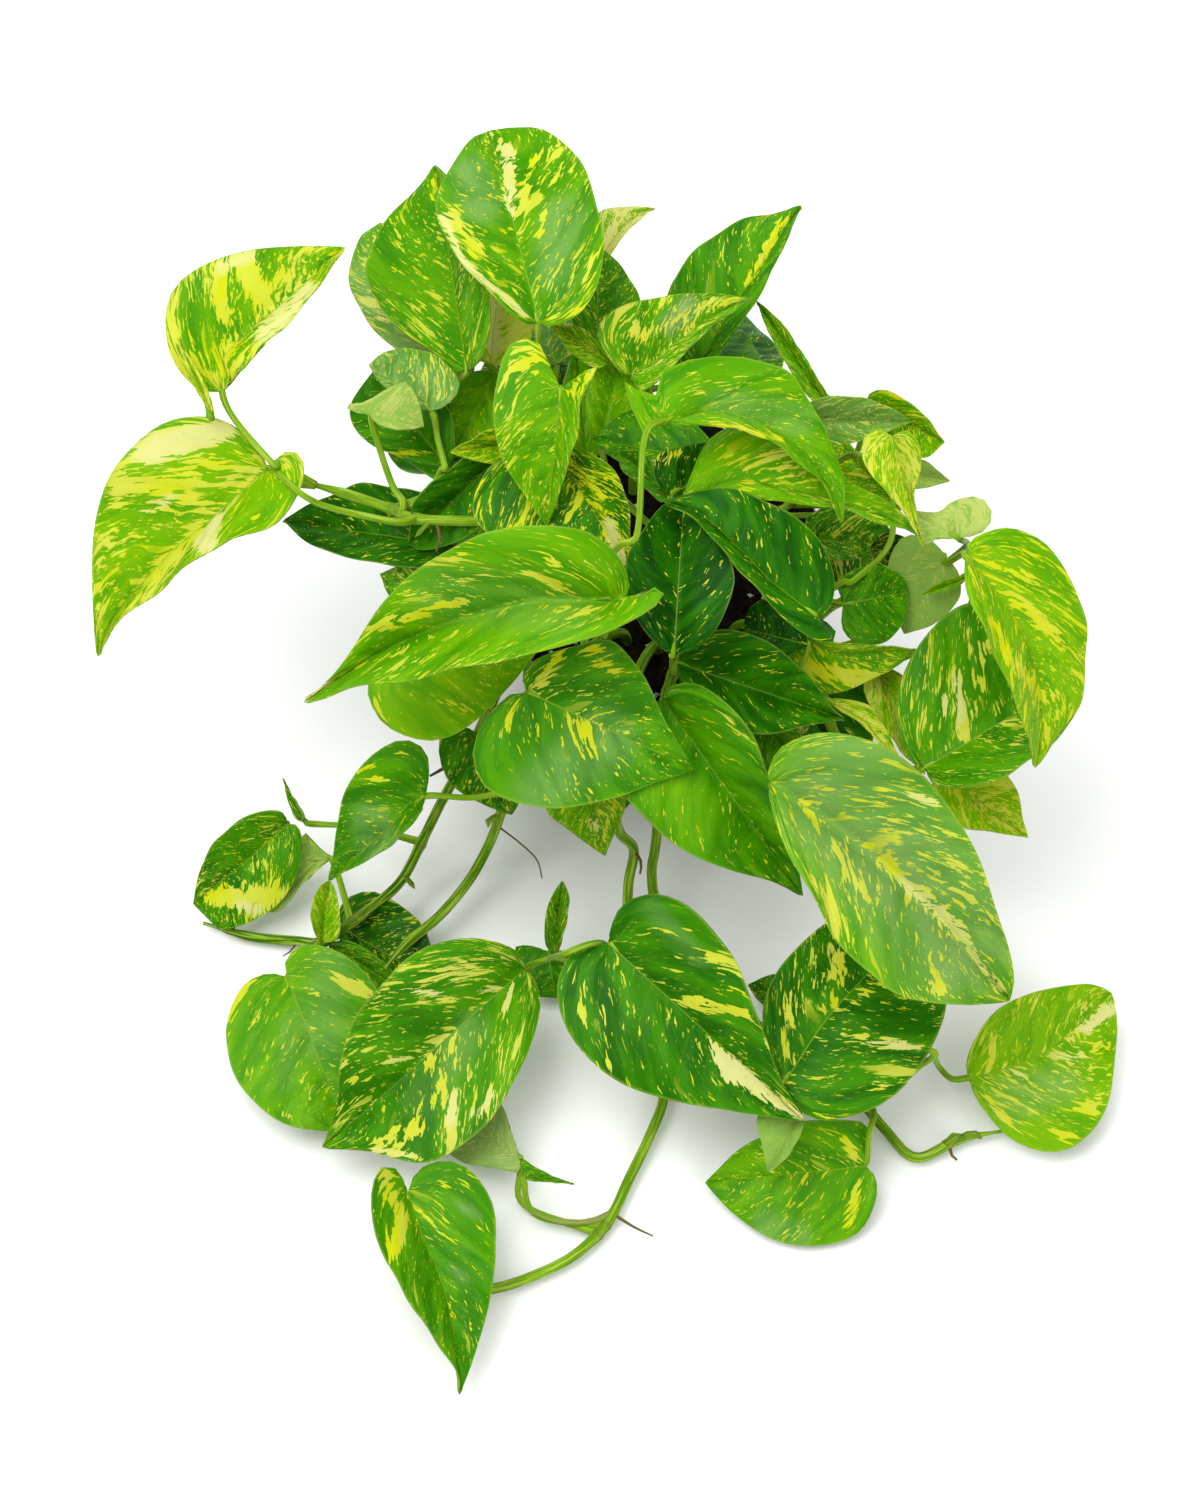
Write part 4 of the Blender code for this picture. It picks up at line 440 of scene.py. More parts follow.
     (680, 848), (730, 870), (770, 881)], {}),
    ("front_middle", 140, 115, (528, 692), (694, 770), [(522, 672), (545, 655), (580, 645),
     (610, 640), (640, 670), (665, 720)], [(510, 695), (485, 720), (473, 755), (488, 790),
     (545, 808), (610, 799), (660, 781)], {}),
    ("long_streaked", 165, 125, (612, 601), (303, 702), [(624, 600), (629, 580), (612, 548),
     (575, 529), (510, 528), (450, 548), (385, 600), (345, 660)], [(640, 598), (664, 586),
     (655, 603), (625, 622), (590, 638), (520, 657), (400, 680), (345, 692)],
     {"mid": [(530, 601), (400, 642)]}),
    ("front_big", 85, 30, (769, 783), (1010, 1001), [(770, 765), (785, 745), (830, 732),
     (890, 748), (940, 795), (975, 850), (997, 910), (1013, 975)], [(770, 800), (776, 822),
     (800, 875), (835, 935), (885, 988), (925, 1001), (970, 1005)],
     {"stem": "vine_side", "mid": [(840, 830), (925, 905)],
      "ways": [(792, 800, 132), (802, 788, 112)]}),
)


def travelled(line):
    """Distance along a line at each of its points."""
    return np.concatenate(([0], np.cumsum(np.linalg.norm(np.diff(line, axis=0), axis=1))))


def along_curve(points, count):
    """Points evenly spaced along a smooth curve through the given points."""
    points = np.asarray(points, float)
    steps = np.linalg.norm(np.diff(points, axis=0), axis=1) ** CURVE_EASE
    knots = np.concatenate(([0], np.cumsum(steps)))
    slopes = np.empty_like(points)
    span = (knots[2:] - knots[:-2])[:, None]
    slopes[1:-1] = (points[2:] - points[:-2]) / span
    slopes[0] = (points[1] - points[0]) / steps[0]
    slopes[-1] = (points[-1] - points[-2]) / steps[-1]
    at = np.linspace(0, knots[-1], CURVE_STEPS * len(points) + 1)
    piece = np.clip(np.searchsorted(knots, at, side="right") - 1, 0, len(points) - 2)
    width = steps[piece][:, None]
    share = ((at - knots[piece]) / steps[piece])[:, None]
    fine = (points[piece] * (1 + 2 * share) * (1 - share) ** 2
            + slopes[piece] * width * share * (1 - share) ** 2
            + points[piece + 1] * share ** 2 * (3 - 2 * share)
            + slopes[piece + 1] * width * share ** 2 * (share - 1))
    length = travelled(fine)
    wanted = np.linspace(0, length[-1], count)
    return np.stack([np.interp(wanted, length, fine[:, k]) for k in range(points.shape[1])], -1)


def sight(pixels):
    """Sight lines through pixels, each one metre deep."""
    across = (pixels[..., 0:1] - FRAME[0] / 2) / FOCAL
    down = (pixels[..., 1:2] - FRAME[1] / 2) / FOCAL
    return AHEAD + across * RIGHT - down * RISE


def depth_at(pixels, heights):
    """Depths at which sight lines meet the given heights."""
    return (heights - EYE[2]) / sight(pixels)[..., 2]


def spot(pixel, height):
    """The point at a height on the sight line through one pixel."""
    pixel = np.asarray(pixel, float)
    return EYE + sight(pixel) * depth_at(pixel, height)


def seen(points):
    """Pixels and depths of points."""
    offset = points - EYE
    depth = offset @ AHEAD
    across = FRAME[0] / 2 + FOCAL * (offset @ RIGHT) / depth
    down = FRAME[1] / 2 - FOCAL * (offset @ RISE) / depth
    return np.stack((across, down), -1), depth


def inside(points, outline):
    """Whether frame points lie inside an outline."""
    x, y = points[..., 0], points[..., 1]
    hit = np.zeros(x.shape, bool)
    ax, ay = outline[-1]
    for bx, by in outline:
        crosses = (ay > y) != (by > y)
        hit ^= crosses & (x < (bx - ax) * (y - ay) / (by - ay + TINY) + ax)
        ax, ay = bx, by
    return hit


def hidden_row(name, heel, tip):
    """A row like those of LAYERS for a blade given by its place in the world."""
    heel, tip = np.array(heel) / MILLIMETRES, np.array(tip) / MILLIMETRES
    aside = np.cross(tip - heel, (0, 0, 1))
    aside *= np.linalg.norm(tip - heel) / np.linalg.norm(aside)
    edges = [seen(np.array([heel + (tip - heel) * along + side * aside * off
                            for along, off in HEART]))[0] for side in (1, -1)]
    ends = seen(np.array((heel, tip)))[0]
    heights = heel[2] * MILLIMETRES, tip[2] * MILLIMETRES
    return (name, *heights, *ends, *edges, {"rises": (0.0, 0.0)})


def mesh_for(length, meshes):
    """Rows and columns of the mesh for a blade of a length."""
    return next(mesh[1:] for mesh in meshes if length >= mesh[0])


class Blade:
    """One leaf blade: its outline in the frame and the surface that carries it."""

    def __init__(self, index, name, heel_height, tip_height, heel, tip, edge_a, edge_b, extra):
        self.name = name
        self.extra = extra
        self.phase = PHASE_STEP * index
        self.heel = np.array(heel, float)
        self.tip = np.array(tip, float)
        self.heights = (heel_height / MILLIMETRES, tip_height / MILLIMETRES)
        self.pixels_long = np.linalg.norm(self.tip - self.heel)
        self.axis = (self.tip - self.heel) / self.pixels_long
        self.across = np.array((-self.axis[1], self.axis[0]))
        if (np.mean(edge_a, axis=0) - np.mean(edge_b, axis=0)) @ self.across < 0:
            self.across = -self.across
        self.edges = [along_curve([heel, *edge, tip], EDGE_POINTS) for edge in (edge_a, edge_b)]
        self.outline = np.concatenate((self.edges[0], self.edges[1][-2:0:-1]))
        middle = along_curve([heel, *extra.get("mid", []), tip], MIDRIB_POINTS)
        self.middle = self.kept_inside(middle)
        self.length = np.linalg.norm(spot(tip, self.heights[1]) - spot(heel, self.heights[0]))
        self.reach = [abs(self.lay(edge)[1]).max() for edge in self.edges]
        self.rises = extra.get("rises") or [self.edge_rise(side) for side in (0, 1)]
        self.mesh = mesh_for(self.length, MESHES)
        self.closer = 1.0

    def kept_inside(self, line):
        """Midrib as places along the blade and offsets, held off both edges."""
        along = (line - self.heel) @ self.axis / self.pixels_long
        off = (line - self.heel) @ self.across
        sides = []
        for edge in self.edges:
            places = (edge - self.heel) @ self.axis / self.pixels_long
            nearest = np.argmin(abs(places[None, :] - along[:, None]), axis=1)
            sides.append((edge[nearest] - self.heel) @ self.across)
        low, high = np.minimum(*sides), np.maximum(*sides)
        margin = MIDRIB_MARGIN * (high - low)
        held = np.clip(off, low + margin, high - margin)
        first, last = MIDRIB_FREE
        return along, np.where((along < first) | (along > last), off, held)

    def lay(self, pixels):
        """Place along the blade, from 0 at the heel to 1 at the tip, and distance off its midrib."""
        offset = pixels - self.heel
        along = offset @ self.axis / self.pixels_long
        return along, offset @ self.across - np.interp(along, *self.middle)

    def on_midrib(self, along):
        """Frame point of the midrib."""
        off = np.interp(along, *self.middle)
        return self.heel + self.axis * along * self.pixels_long + self.across * off

    def spine(self, along):
        """Height of the midrib."""
        low, high = self.heights
        return low + (high - low) * along + ARCH * self.length * 4 * along * (1 - along)

    def edge_rise(self, side):
        """How far an edge stands above the midrib, for the half to have its true width."""
        along, off = self.lay(self.edges[side])
        first, last = WIDEST_BETWEEN
        widest = np.argmax(np.where((along > first) & (along < last), abs(off), 0))
        edge = self.edges[side][widest]
        height = self.spine(along[widest])
        start = spot(edge, height)
        gap = start - spot(self.on_midrib(along[widest]), height)
        shown = abs(off[widest]) / FOCAL * VIEW_DISTANCE
        limit = WIDE_LIMIT if self.reach[side] >= self.reach[1 - side] else NARROW_LIMIT
        width = min(HALF_WIDTH * self.length, limit * shown)
        ray = sight(edge)
        ray = ray / ray[2]
        a, b, c = ray @ ray, 2 * gap @ ray, gap @ gap - width ** 2
        root = math.sqrt(max(b * b - 4 * a * c, 0))
        narrow = self.reach[side] < NARROW_HALF * self.reach[1 - side]
        wide = self.reach[1 - side] < NARROW_HALF * self.reach[side]
        towards = -1 if wide and not narrow else 1
        return (-b + towards * root) / (2 * a)

    def height(self, pixels):
        """Height of the blade's surface at frame points."""
        along, off = self.lay(pixels)
        share = np.where(off > 0, off / self.reach[0], -off / self.reach[1])
        rise = np.where(off > 0, self.rises[0], self.rises[1])
        puff = PUFF * self.length * 4 * share * (1 - share)
        wave = WAVE * self.length * share ** 2 * np.sin(
            2 * math.pi * WAVE_COUNT * along + self.phase)
        return np.maximum(self.spine(along) + rise * share + puff + wave, 2 * TABLE_CLEARANCE)

    def depths(self, pixels):
        """Depths of the surface at frame points."""
        return depth_at(pixels, self.height(pixels)) * self.closer

    def points(self, pixels):
        """Points of the surface at frame points."""
        return EYE + sight(pixels) * self.depths(pixels)[..., None]


class Front:
    """Depth of the nearest thing so far at each cell of the frame."""

    def __init__(self):
        rows, columns = FRAME[1] // CELL, FRAME[0] // CELL
        down, across = np.mgrid[0:rows, 0:columns]
        self.centres = np.stack((across, down), -1) * CELL + CELL / 2
        self.depth = depth_at(self.centres, TABLE_CLEARANCE)

    def cells(self, pixels):
        """Row and column of the cells that hold frame points."""
        across = np.clip(pixels[..., 0] // CELL, 0, self.depth.shape[1] - 1).astype(int)
        down = np.clip(pixels[..., 1] // CELL, 0, self.depth.shape[0] - 1).astype(int)
        return down, across

    def nearby(self):
        """The nearest depth at each cell and the cells round it."""
        wide = np.pad(self.depth, 1, mode="edge")
        rows, columns = self.depth.shape
        return np.min([wide[i:i + rows, j:j + columns] for i in range(3) for j in range(3)], 0)

    def add_points(self, points, pad):
        """Note where points lie, a little nearer than they are."""
        pixels, depth = seen(points)
        np.minimum.at(self.depth, self.cells(pixels), depth - pad)

    def add_blade(self, blade):
        """Move a blade towards the eye until it is clear, and note where it lies."""
        down, across = np.nonzero(inside(self.centres, blade.outline))
        pixels = self.centres[down, across]
        if len(pixels) == 0:
            return
        apart = np.linalg.norm(pixels - blade.heel, axis=1) / FOCAL * VIEW_DISTANCE
        room = BLADE_GAP + HEEL_ROOM * np.exp(-(apart / HEEL_ROOM_SPREAD) ** 2)
        limit = self.nearby()[down, across] - room
        blade.closer = min(1.0, float(np.min(limit / blade.depths(pixels))))
        self.depth[down, across] = np.minimum(self.depth[down, across], blade.depths(pixels))
        blade.samples = blade.points(pixels)


def stem_line(name, front):
    """Centre line of a stem, kept in front of what is already placed where it shows."""
    foot, hidden, shown = STEMS[name]
    hidden = [(*foot, height) for height in FOOT_HEIGHTS] + hidden
    root = np.array(hidden[0]) / MILLIMETRES
    points = [np.array(point) / MILLIMETRES for point in hidden[1:]]
    points += [spot((px, py), height / MILLIMETRES) for px, py, height in shown]
    rough = along_curve(points, STEM_POINTS * len(points))
    if shown:
        count = STEM_POINTS * (len(hidden) - 1)
        pixels, depth = seen(rough)
        room = STEM_RADIUS + STEM_GAP
        clear = front.nearby()[front.cells(pixels)] - room
        over = np.maximum(depth - clear, 0)
        over[:count] = 0
        for _ in range(STEM_SPREADS):
            spread = np.pad(over, 1, mode="edge")
            over = np.maximum(over, (spread[:-2] + spread[2:]) / 2 * STEM_SPREAD)
        rough = EYE + (rough - EYE) * ((depth - over) / depth)[:, None]
    rest = spaced(rough[::STEM_POINTS // 2] if shown else rough[::STEM_POINTS // 4], STEM_STEP)
    return np.concatenate(([root], rest))


def spaced(line, step):
    """Points along a smooth curve through a line, about a step apart."""
    length = np.linalg.norm(np.diff(line, axis=0), axis=1).sum()
    return along_curve(line, max(int(length / step), LEAST_STEPS) + 1)


def filled(line):
    """Points a small step apart on the straight runs between a line's points."""
    place = travelled(line)
    wanted = np.linspace(0, place[-1], int(place[-1] / FILL_STEP) + 2)
    return np.stack([np.interp(wanted, place, line[:, k]) for k in range(3)], -1)


def tube_skin(line, radius):
    """Points on the skin of a tube, for the depth of what is round it."""
    rim = [RIGHT, -RIGHT, RISE, -RISE, 0 * RIGHT]
    return np.concatenate([filled(line) + side * radius for side in rim])


def pot_profile():
    """Radius and height of the pot's section, from the middle of its underside round to its floor."""
    under_rim = POT_HEIGHT - RIM_DEPTH
    flare = RIM_RADIUS - RIM_STEP
    return [(BASE_RADIUS - CHAMFER, 0), (BASE_RADIUS, CHAMFER), (flare, under_rim - CHAMFER),
            (RIM_RADIUS - CHAMFER / 2, under_rim), (RIM_RADIUS, POT_HEIGHT - CHAMFER),
            (RIM_RADIUS - WALL / 2, POT_HEIGHT), (RIM_RADIUS - WALL, POT_HEIGHT - CHAMFER),
            (flare - WALL, under_rim), (BASE_RADIUS - WALL, FLOOR)]


def pot_inner_radius(height):
    """Inner radius of the pot's wall."""
    share = (height - FLOOR) / (POT_HEIGHT - RIM_DEPTH - FLOOR)
    return BASE_RADIUS - WALL + share * (RIM_RADIUS - RIM_STEP - BASE_RADIUS)


def pot_skin():
    """Points on the pot and the soil, for the depth of what is round them."""
    turns = np.linspace(0, 2 * math.pi, SKIN_TURNS, endpoint=False)
    rings = along_curve(pot_profile()[1:-1], SKIN_RINGS).tolist()
    rings += [(radius, SOIL_TOP + SOIL_BUMP)
              for radius in np.arange(SKIN_STEP, RIM_RADIUS, SKIN_STEP)]
    return np.concatenate([np.stack((radius * np.cos(turns), radius * np.sin(turns),
                                     np.full(turns.shape, height)), -1)
                           for radius, height in rings])


class Space:
    """A grid of small cubes that says which room is taken, and by what."""

    def __init__(self, front):
        self.owner = np.full(SPACE_SIZE, -1, np.int16)
        self.crowded = np.zeros(SPACE_SIZE, bool)
        grid = np.stack(np.meshgrid(*[np.arange(n) for n in SPACE_SIZE], indexing="ij"), -1)
        self.middles = SPACE_LOW + (grid + 0.5) * VOXEL
        pixels, depth = seen(self.middles)
        self.shown = depth < front.depth[front.cells(pixels)]

    def cube(self, points):
        """Cubes that hold points."""
        index = np.floor((points - SPACE_LOW) / VOXEL).astype(int)
        return np.clip(index, 0, np.array(SPACE_SIZE) - 1)

    def take(self, points, owner, clearance):
        """Take the cubes near the points for one owner."""
        middle = self.cube(points)
        reach = range(-TAKEN_REACH, TAKEN_REACH + 1)
        found = []
        for shift in ((i, j, k) for i in reach for j in reach for k in reach):
            cube = middle + shift
            fits = np.all((cube >= 0) & (cube < SPACE_SIZE), axis=1)
            centre = SPACE_LOW + (cube + 0.5) * VOXEL
            near = np.linalg.norm(centre - points, axis=1) < clearance
            found.append(np.ravel_multi_index(cube[fits & near].T, SPACE_SIZE))
        flat = np.unique(np.concatenate(found))
        held = self.owner.ravel()[flat]
        self.crowded.ravel()[flat[(held >= 0) & (held != owner)]] = True
        self.owner.ravel()[flat[held < 0]] = owner

    def way(self, start, own, normal, goals):
        """Shortest free way of cubes from a point to one of the goals, a mask of cubes."""
        offset = self.middles - start
        apart = np.linalg.norm(offset, axis=-1)
        beneath = (offset @ normal < OWN_DEPTH) & (apart < OWN_REACH)
        free = ~self.crowded & ((self.owner < 0) | ((self.owner == own) & beneath))
        free |= apart < START_REACH
        free |= goals
        free = free.ravel()
        cost = np.where(self.shown.ravel(), SHOWN_COST, 1).astype(np.int32)
        goals = goals.ravel()
        far = np.full(free.shape, UNREACHED, np.int32)
        back = np.full(free.shape, -1, np.int64)
        first = int(np.ravel_multi_index(self.cube(start), SPACE_SIZE))
        far[first] = 0
        waves = {0: [np.array([first])]}
        steps = (SPACE_SIZE[1] * SPACE_SIZE[2], SPACE_SIZE[2], 1)
        for reached in range(LONGEST_WAY):
            if reached not in waves:
                continue
            now = np.unique(np.concatenate(waves.pop(reached)))
            now = now[far[now] == reached]
            home = now[goals[now]]
            if len(home):
                return self.trace(back, int(home[0]))
            place = np.stack(np.unravel_index(now, SPACE_SIZE), -1)
            for axis in range(3):
                for move in (-1, 1):
                    fits = (place[:, axis] + move >= 0) & (place[:, axis] + move < SPACE_SIZE[axis])
                    source = now[fits]
                    target = source + move * steps[axis]
                    source, target = source[free[target]], target[free[target]]
                    total = reached + cost[target]
                    better = total < far[target]
                    far[target[better]] = total[better]
                    back[target[better]] = source[better]
                    for value in np.unique(total[better]):
                        chosen = target[better][total[better] == value]
                        waves.setdefault(int(value), []).append(chosen)
        return None

    def trace(self, back, last):
        """Middles of the cubes from the start of a way to its last cube."""
        cubes = [last]
        while back[cubes[-1]] >= 0:
            cubes.append(int(back[cubes[-1]]))
        return self.middles.reshape(-1, 3)[cubes[::-1]]


def blade_sheet(blade, sweep=VEIN_SWEEP):
    """Frame points and triangles of a blade: rows run from its midrib to its edge."""
    stations, lobe_rows, columns = blade.mesh
    pixels = [blade.heel]
    pixels += [blade.on_midrib(j / stations) for j in range(1, stations)]
    pixels.append(blade.tip)
    tip = stations
    triangles = []
    for side, edge in enumerate(blade.edges):
        along = blade.lay(edge)[0]

        def at_along(target):
            """Place on the edge, counted in its points, at a share along the blade."""
            behind = np.nonzero(along <= target)[0][-1]
            ahead = min(behind + 1, len(edge) - 1)
            rest = (target - along[behind]) / max(along[ahead] - along[behind], LEAST_RUN)
            return behind + min(max(rest, 0), 1)

        start = at_along(sweep / (1 + sweep))
        rows = [(0, start * (i + 1) / lobe_rows) for i in range(lobe_rows)]
        rows += [(j, at_along((j / stations + sweep) / (1 + sweep)))
                 for j in range(1, stations)]
        lines = []
        for root, place in rows:
            whole = min(int(place), len(edge) - 2)
            end = edge[whole] + (edge[whole + 1] - edge[whole]) * (place - whole)
            line = [root]
            for k in range(1, columns + 1):
                line.append(len(pixels))
                pixels.append(pixels[root] + (end - pixels[root]) * k / columns)
            lines.append(line)
        lines.append([tip] * (columns + 1))
        for one, two in zip(lines, lines[1:]):
            for k in range(columns):
                corners = [(one[k], one[k + 1], two[k + 1]), (one[k], two[k + 1], two[k])]
                for corner in corners:
                    if len(set(corner)) == 3:
                        triangles.append(corner if side == 0 else corner[::-1])
    pixels = np.array(pixels)
    triangles = np.array(triangles)
    a, b, c = (pixels[triangles[:, k]] for k in range(3))
    area = (b - a)[:, 0] * (c - a)[:, 1] - (b - a)[:, 1] * (c - a)[:, 0]
    if area.sum() > 0:
        triangles = triangles[:, ::-1]
    return pixels, triangles


def sheet_normals(points, triangles):
    """Unit normals at the points of a sheet."""
    a, b, c = (points[triangles[:, k]] for k in range(3))
    normals = np.zeros_like(points)
    face = np.cross(b - a, c - a)
    for k in range(3):
        np.add.at(normals, triangles[:, k], face)
    return normals / np.linalg.norm(normals, axis=1, keepdims=True)


def slab(points, triangles, thickness):
    """Closed slab of a sheet: the same triangles on both faces, and a wall round the edge."""
    normals = sheet_normals(points, triangles)
    count = len(points)
    both = np.concatenate((points + normals * thickness / 2, points - normals * thickness / 2))
    both[:, 2] = np.maximum(both[:, 2], LOWEST)
    faces = [tuple(t) for t in triangles.tolist()]
    sides = {(a, b) for t in faces for a, b in zip(t, t[1:] + t[:1])}
    rim = [(a, b) for a, b in sorted(sides) if (b, a) not in sides]
    faces += [tuple(v + count for v in t[::-1]) for t in triangles.tolist()]
    for a, b in rim:
        faces += [(b, a, a + count), (b, a + count, b + count)]
    return both, faces


def circle(radius, height, turns):
    """Points evenly round the pot's axis."""
    angles = [2 * math.pi * turn / turns for turn in range(turns)]
    return [(radius * math.cos(angle), radius * math.sin(angle), height) for angle in angles]


def ring_faces(rings, sides):
    """Faces between the neighbouring rings of a round mesh."""
    faces = []
    for ring in range(rings - 1):
        for turn in range(sides):
            a, b = ring * sides + turn, ring * sides + (turn + 1) % sides
            faces.append((a, b, b + sides, a + sides))
    return faces


def closed_faces(rings, sides):
    """Faces of a round mesh, with its first and last ring filled."""
    last = (rings - 1) * sides
    ends = [tuple(range(sides))[::-1], tuple(range(last, last + sides))]
    return ring_faces(rings, sides) + ends


def tube(line, radii, sides):
    """Closed tube round a centre line."""
    line = np.asarray(line, float)
    ahead = np.gradient(line, axis=0)
    ahead /= np.linalg.norm(ahead, axis=1, keepdims=True)
    side = np.cross(ahead[0], ASKEW)
    points = []
    for centre, forward, radius in zip(line, ahead, radii):
        side = side - forward * (side @ forward)
        side /= np.linalg.norm(side)
        other = np.cross(forward, side)
        for turn in range(sides):
            angle = 2 * math.pi * turn / sides
            points.append(centre + radius * (math.cos(angle) * side + math.sin(angle) * other))
    return np.array(points), closed_faces(len(line), sides)


def heel_frame(blade):
    """Heel point, direction towards the tip and upper normal of a blade."""
    first = blade.on_midrib(1 / blade.mesh[0])
    near = np.stack((blade.heel, first, blade.heel + blade.across * ASIDE_PIXELS))
    heel, ahead, aside = blade.points(near)
    forward = (ahead - heel) / np.linalg.norm(ahead - heel)
    normal = np.cross(forward, aside - heel)
    normal /= np.linalg.norm(normal)
    if normal @ (EYE - heel) < 0:
        normal = -normal
    return heel, forward, normal


def soften(points, tree, others, held):
    """Smooth a way of cubes where it stays clear of the blades, the table and other stalks."""
    points = points.copy()

    def room(point):
        apart = np.linalg.norm(others - point, axis=1).min() if len(others) else NOTHING_NEAR
        return min(tree.find_nearest(Vector(point))[3], apart - PETIOLE_RADIUS)

    for _ in range(SOFTENINGS):
        middle = (points[:-2] + points[2:]) / 2
        for k, target in enumerate(middle, start=1):
            if k < held:
                continue
            moved = points[k] + (target - points[k]) * SOFTENING
            moved[2] = max(moved[2], PETIOLE_RADIUS + STALK_LIFT)
            now = room(moved)
            if now > STALK_ROOM or now >= room(points[k]):
                points[k] = moved
    return points


def fewest(line, drift):
    """The first two and the fewest more of a line's points that stay within a drift of it."""
    keep = {0, 1, len(line) - 1}
    spans = [(1, len(line) - 1)]
    while spans:
        first, last = spans.pop()
        between = line[first + 1:last]
        if len(between) == 0:
            continue
        chord = line[last] - line[first]
        share = np.clip((between - line[first]) @ chord / (chord @ chord), 0, 1)
        apart = np.linalg.norm(between - line[first] - share[:, None] * chord, axis=1)
        middle = first + 1 + int(np.argmax(apart))
        if apart.max() > drift:
            keep.add(middle)
            spans += [(first, middle), (middle, last)]
    return line[sorted(keep)]


def thinned(way, tree, others):
    """Fewer points along a way, as few as keep what is round it clear."""
    for drift in STALK_DRIFTS:
        fewer = fewest(way, drift)
        run = filled(fewer)[::2]
        away = run[np.linalg.norm(run - way[0], axis=1) > OWN_REACH]
        blades_clear = all(tree.find_nearest(Vector(point))[3] > STALK_CLEAR for point in away)
        apart = np.linalg.norm(run[:, None, :] - others[None, ::2, :], axis=-1)
        if blades_clear and apart.min() > STALK_CLEAR + PETIOLE_RADIUS:
            break
    return fewer


def arrange():
    """Place the stems and blades and lead each blade's petiole to a stem."""
    front = Front()
    front.add_points(pot_skin(), SKIN_PAD)
    lines, blades = {}, []
    for index, row in enumerate(tuple(hidden_row(*leaf) for leaf in HIDDEN) + LAYERS):
        if len(row) == 1:
            lines[row[0]] = stem_line(row[0], front)
            front.add_points(tube_skin(lines[row[0]], STEM_RADIUS), SKIN_PAD)
        else:
            blades.append(Blade(index, *row))
            front.add_blade(blades[-1])
    space = Space(front)
    space.take(pot_skin(), POT_OWNER, POT_CLEARANCE)
    for number, line in enumerate(lines.values()):
        space.take(tube_skin(line, STEM_RADIUS), STEM_OWNER + number, STEM_ROOM)
    for number, blade in enumerate(blades):
        space.take(blade.samples, number, CLEARANCE)
    goals = {}
    runs = {name: filled(line) for name, line in lines.items()}
    for name, run in runs.items():
        mask = np.zeros(SPACE_SIZE, bool)
        usable = run[:-STEM_END_KEPT]
        outside = np.linalg.norm(usable[:, :2], axis=1) > RIM_RADIUS + JOIN_OUT
        usable = usable[outside | (usable[:, 2] > SOIL_TOP + JOIN_UP)]
        mask[tuple(space.cube(usable).T)] = True
        goals[name] = mask
    tree = blade_tree(blades)
    petioles, placed = [], []
    order = sorted(range(len(blades)), key=lambda n: -len(blades[n].extra.get("ways", [])))
    for number in order:
        stem, way, held = lead(number, blades[number], front, space, runs, goals)
        others = [run for owner, run in placed if owner != stem]
        others += [run for owner, run in runs.items() if owner != stem]
        way = soften(way, tree, np.concatenate(others), held)
        way = thinned(way, tree, np.concatenate(others))
        placed.append((stem, filled(way)))
        space.take(filled(way), STALK_OWNER + number, STALK_GAP)
        petioles.append((number, stem, way))
    return lines, blades, petioles


def lead(number, blade, front, space, runs, goals):
    """Find the petiole of one blade: its stem, its way and how many of its points are fixed."""
    heel, forward, normal = heel_frame(blade)
    seat = min(PETIOLE_SEAT * blade.length, LONGEST_SEAT)
    held = [heel + forward * seat - normal * SEAT_DEPTH, heel - normal * HEEL_DEPTH]
    for way in blade.extra.get("ways", []):
        pixel = np.array(way[:2], float)
        down, across = front.cells(pixel)
        behind = front.depth[max(down - 1, 0):down + 2, max(across - 1, 0):across + 2].min()
        depth = min(behind - WAY_ROOM, seen(held[-1])[1] + WAY_FALL)
        if len(way) == 3:
            depth = depth_at(pixel, way[2] / MILLIMETRES)
        held.append(EYE + sight(pixel) * depth)
    allowed = [blade.extra["stem"]] if "stem" in blade.extra else list(goals)
    mask = np.any([goals[name] for name in allowed], axis=0)
    route = space.way(held[-1], number, normal, mask)
    if route is None:
        name = min(allowed, key=lambda s: np.linalg.norm(runs[s] - held[-1], axis=1).min())
        end = runs[name][np.argmin(np.linalg.norm(runs[name] - held[-1], axis=1))]
        print("no free way for", blade.name, "to", name)
        route = np.linspace(held[-1], end, PLAIN_WAY)
    ends = {name: np.linalg.norm(runs[name] - route[-1], axis=1) for name in allowed}
    stem = min(ends, key=lambda name: ends[name].min())
    join = runs[stem][np.argmin(ends[stem])]
    return stem, np.concatenate((held, route[1:-1], [join])), len(held)


def blade_tree(blades):
    """Search tree of all the blades."""
    points, faces = [], []
    for blade in blades:
        pixels, triangles = blade_sheet(blade)
        faces += (triangles + len(points)).tolist()
        points += blade.points(pixels).tolist()
    return BVHTree.FromPolygons(points, faces)


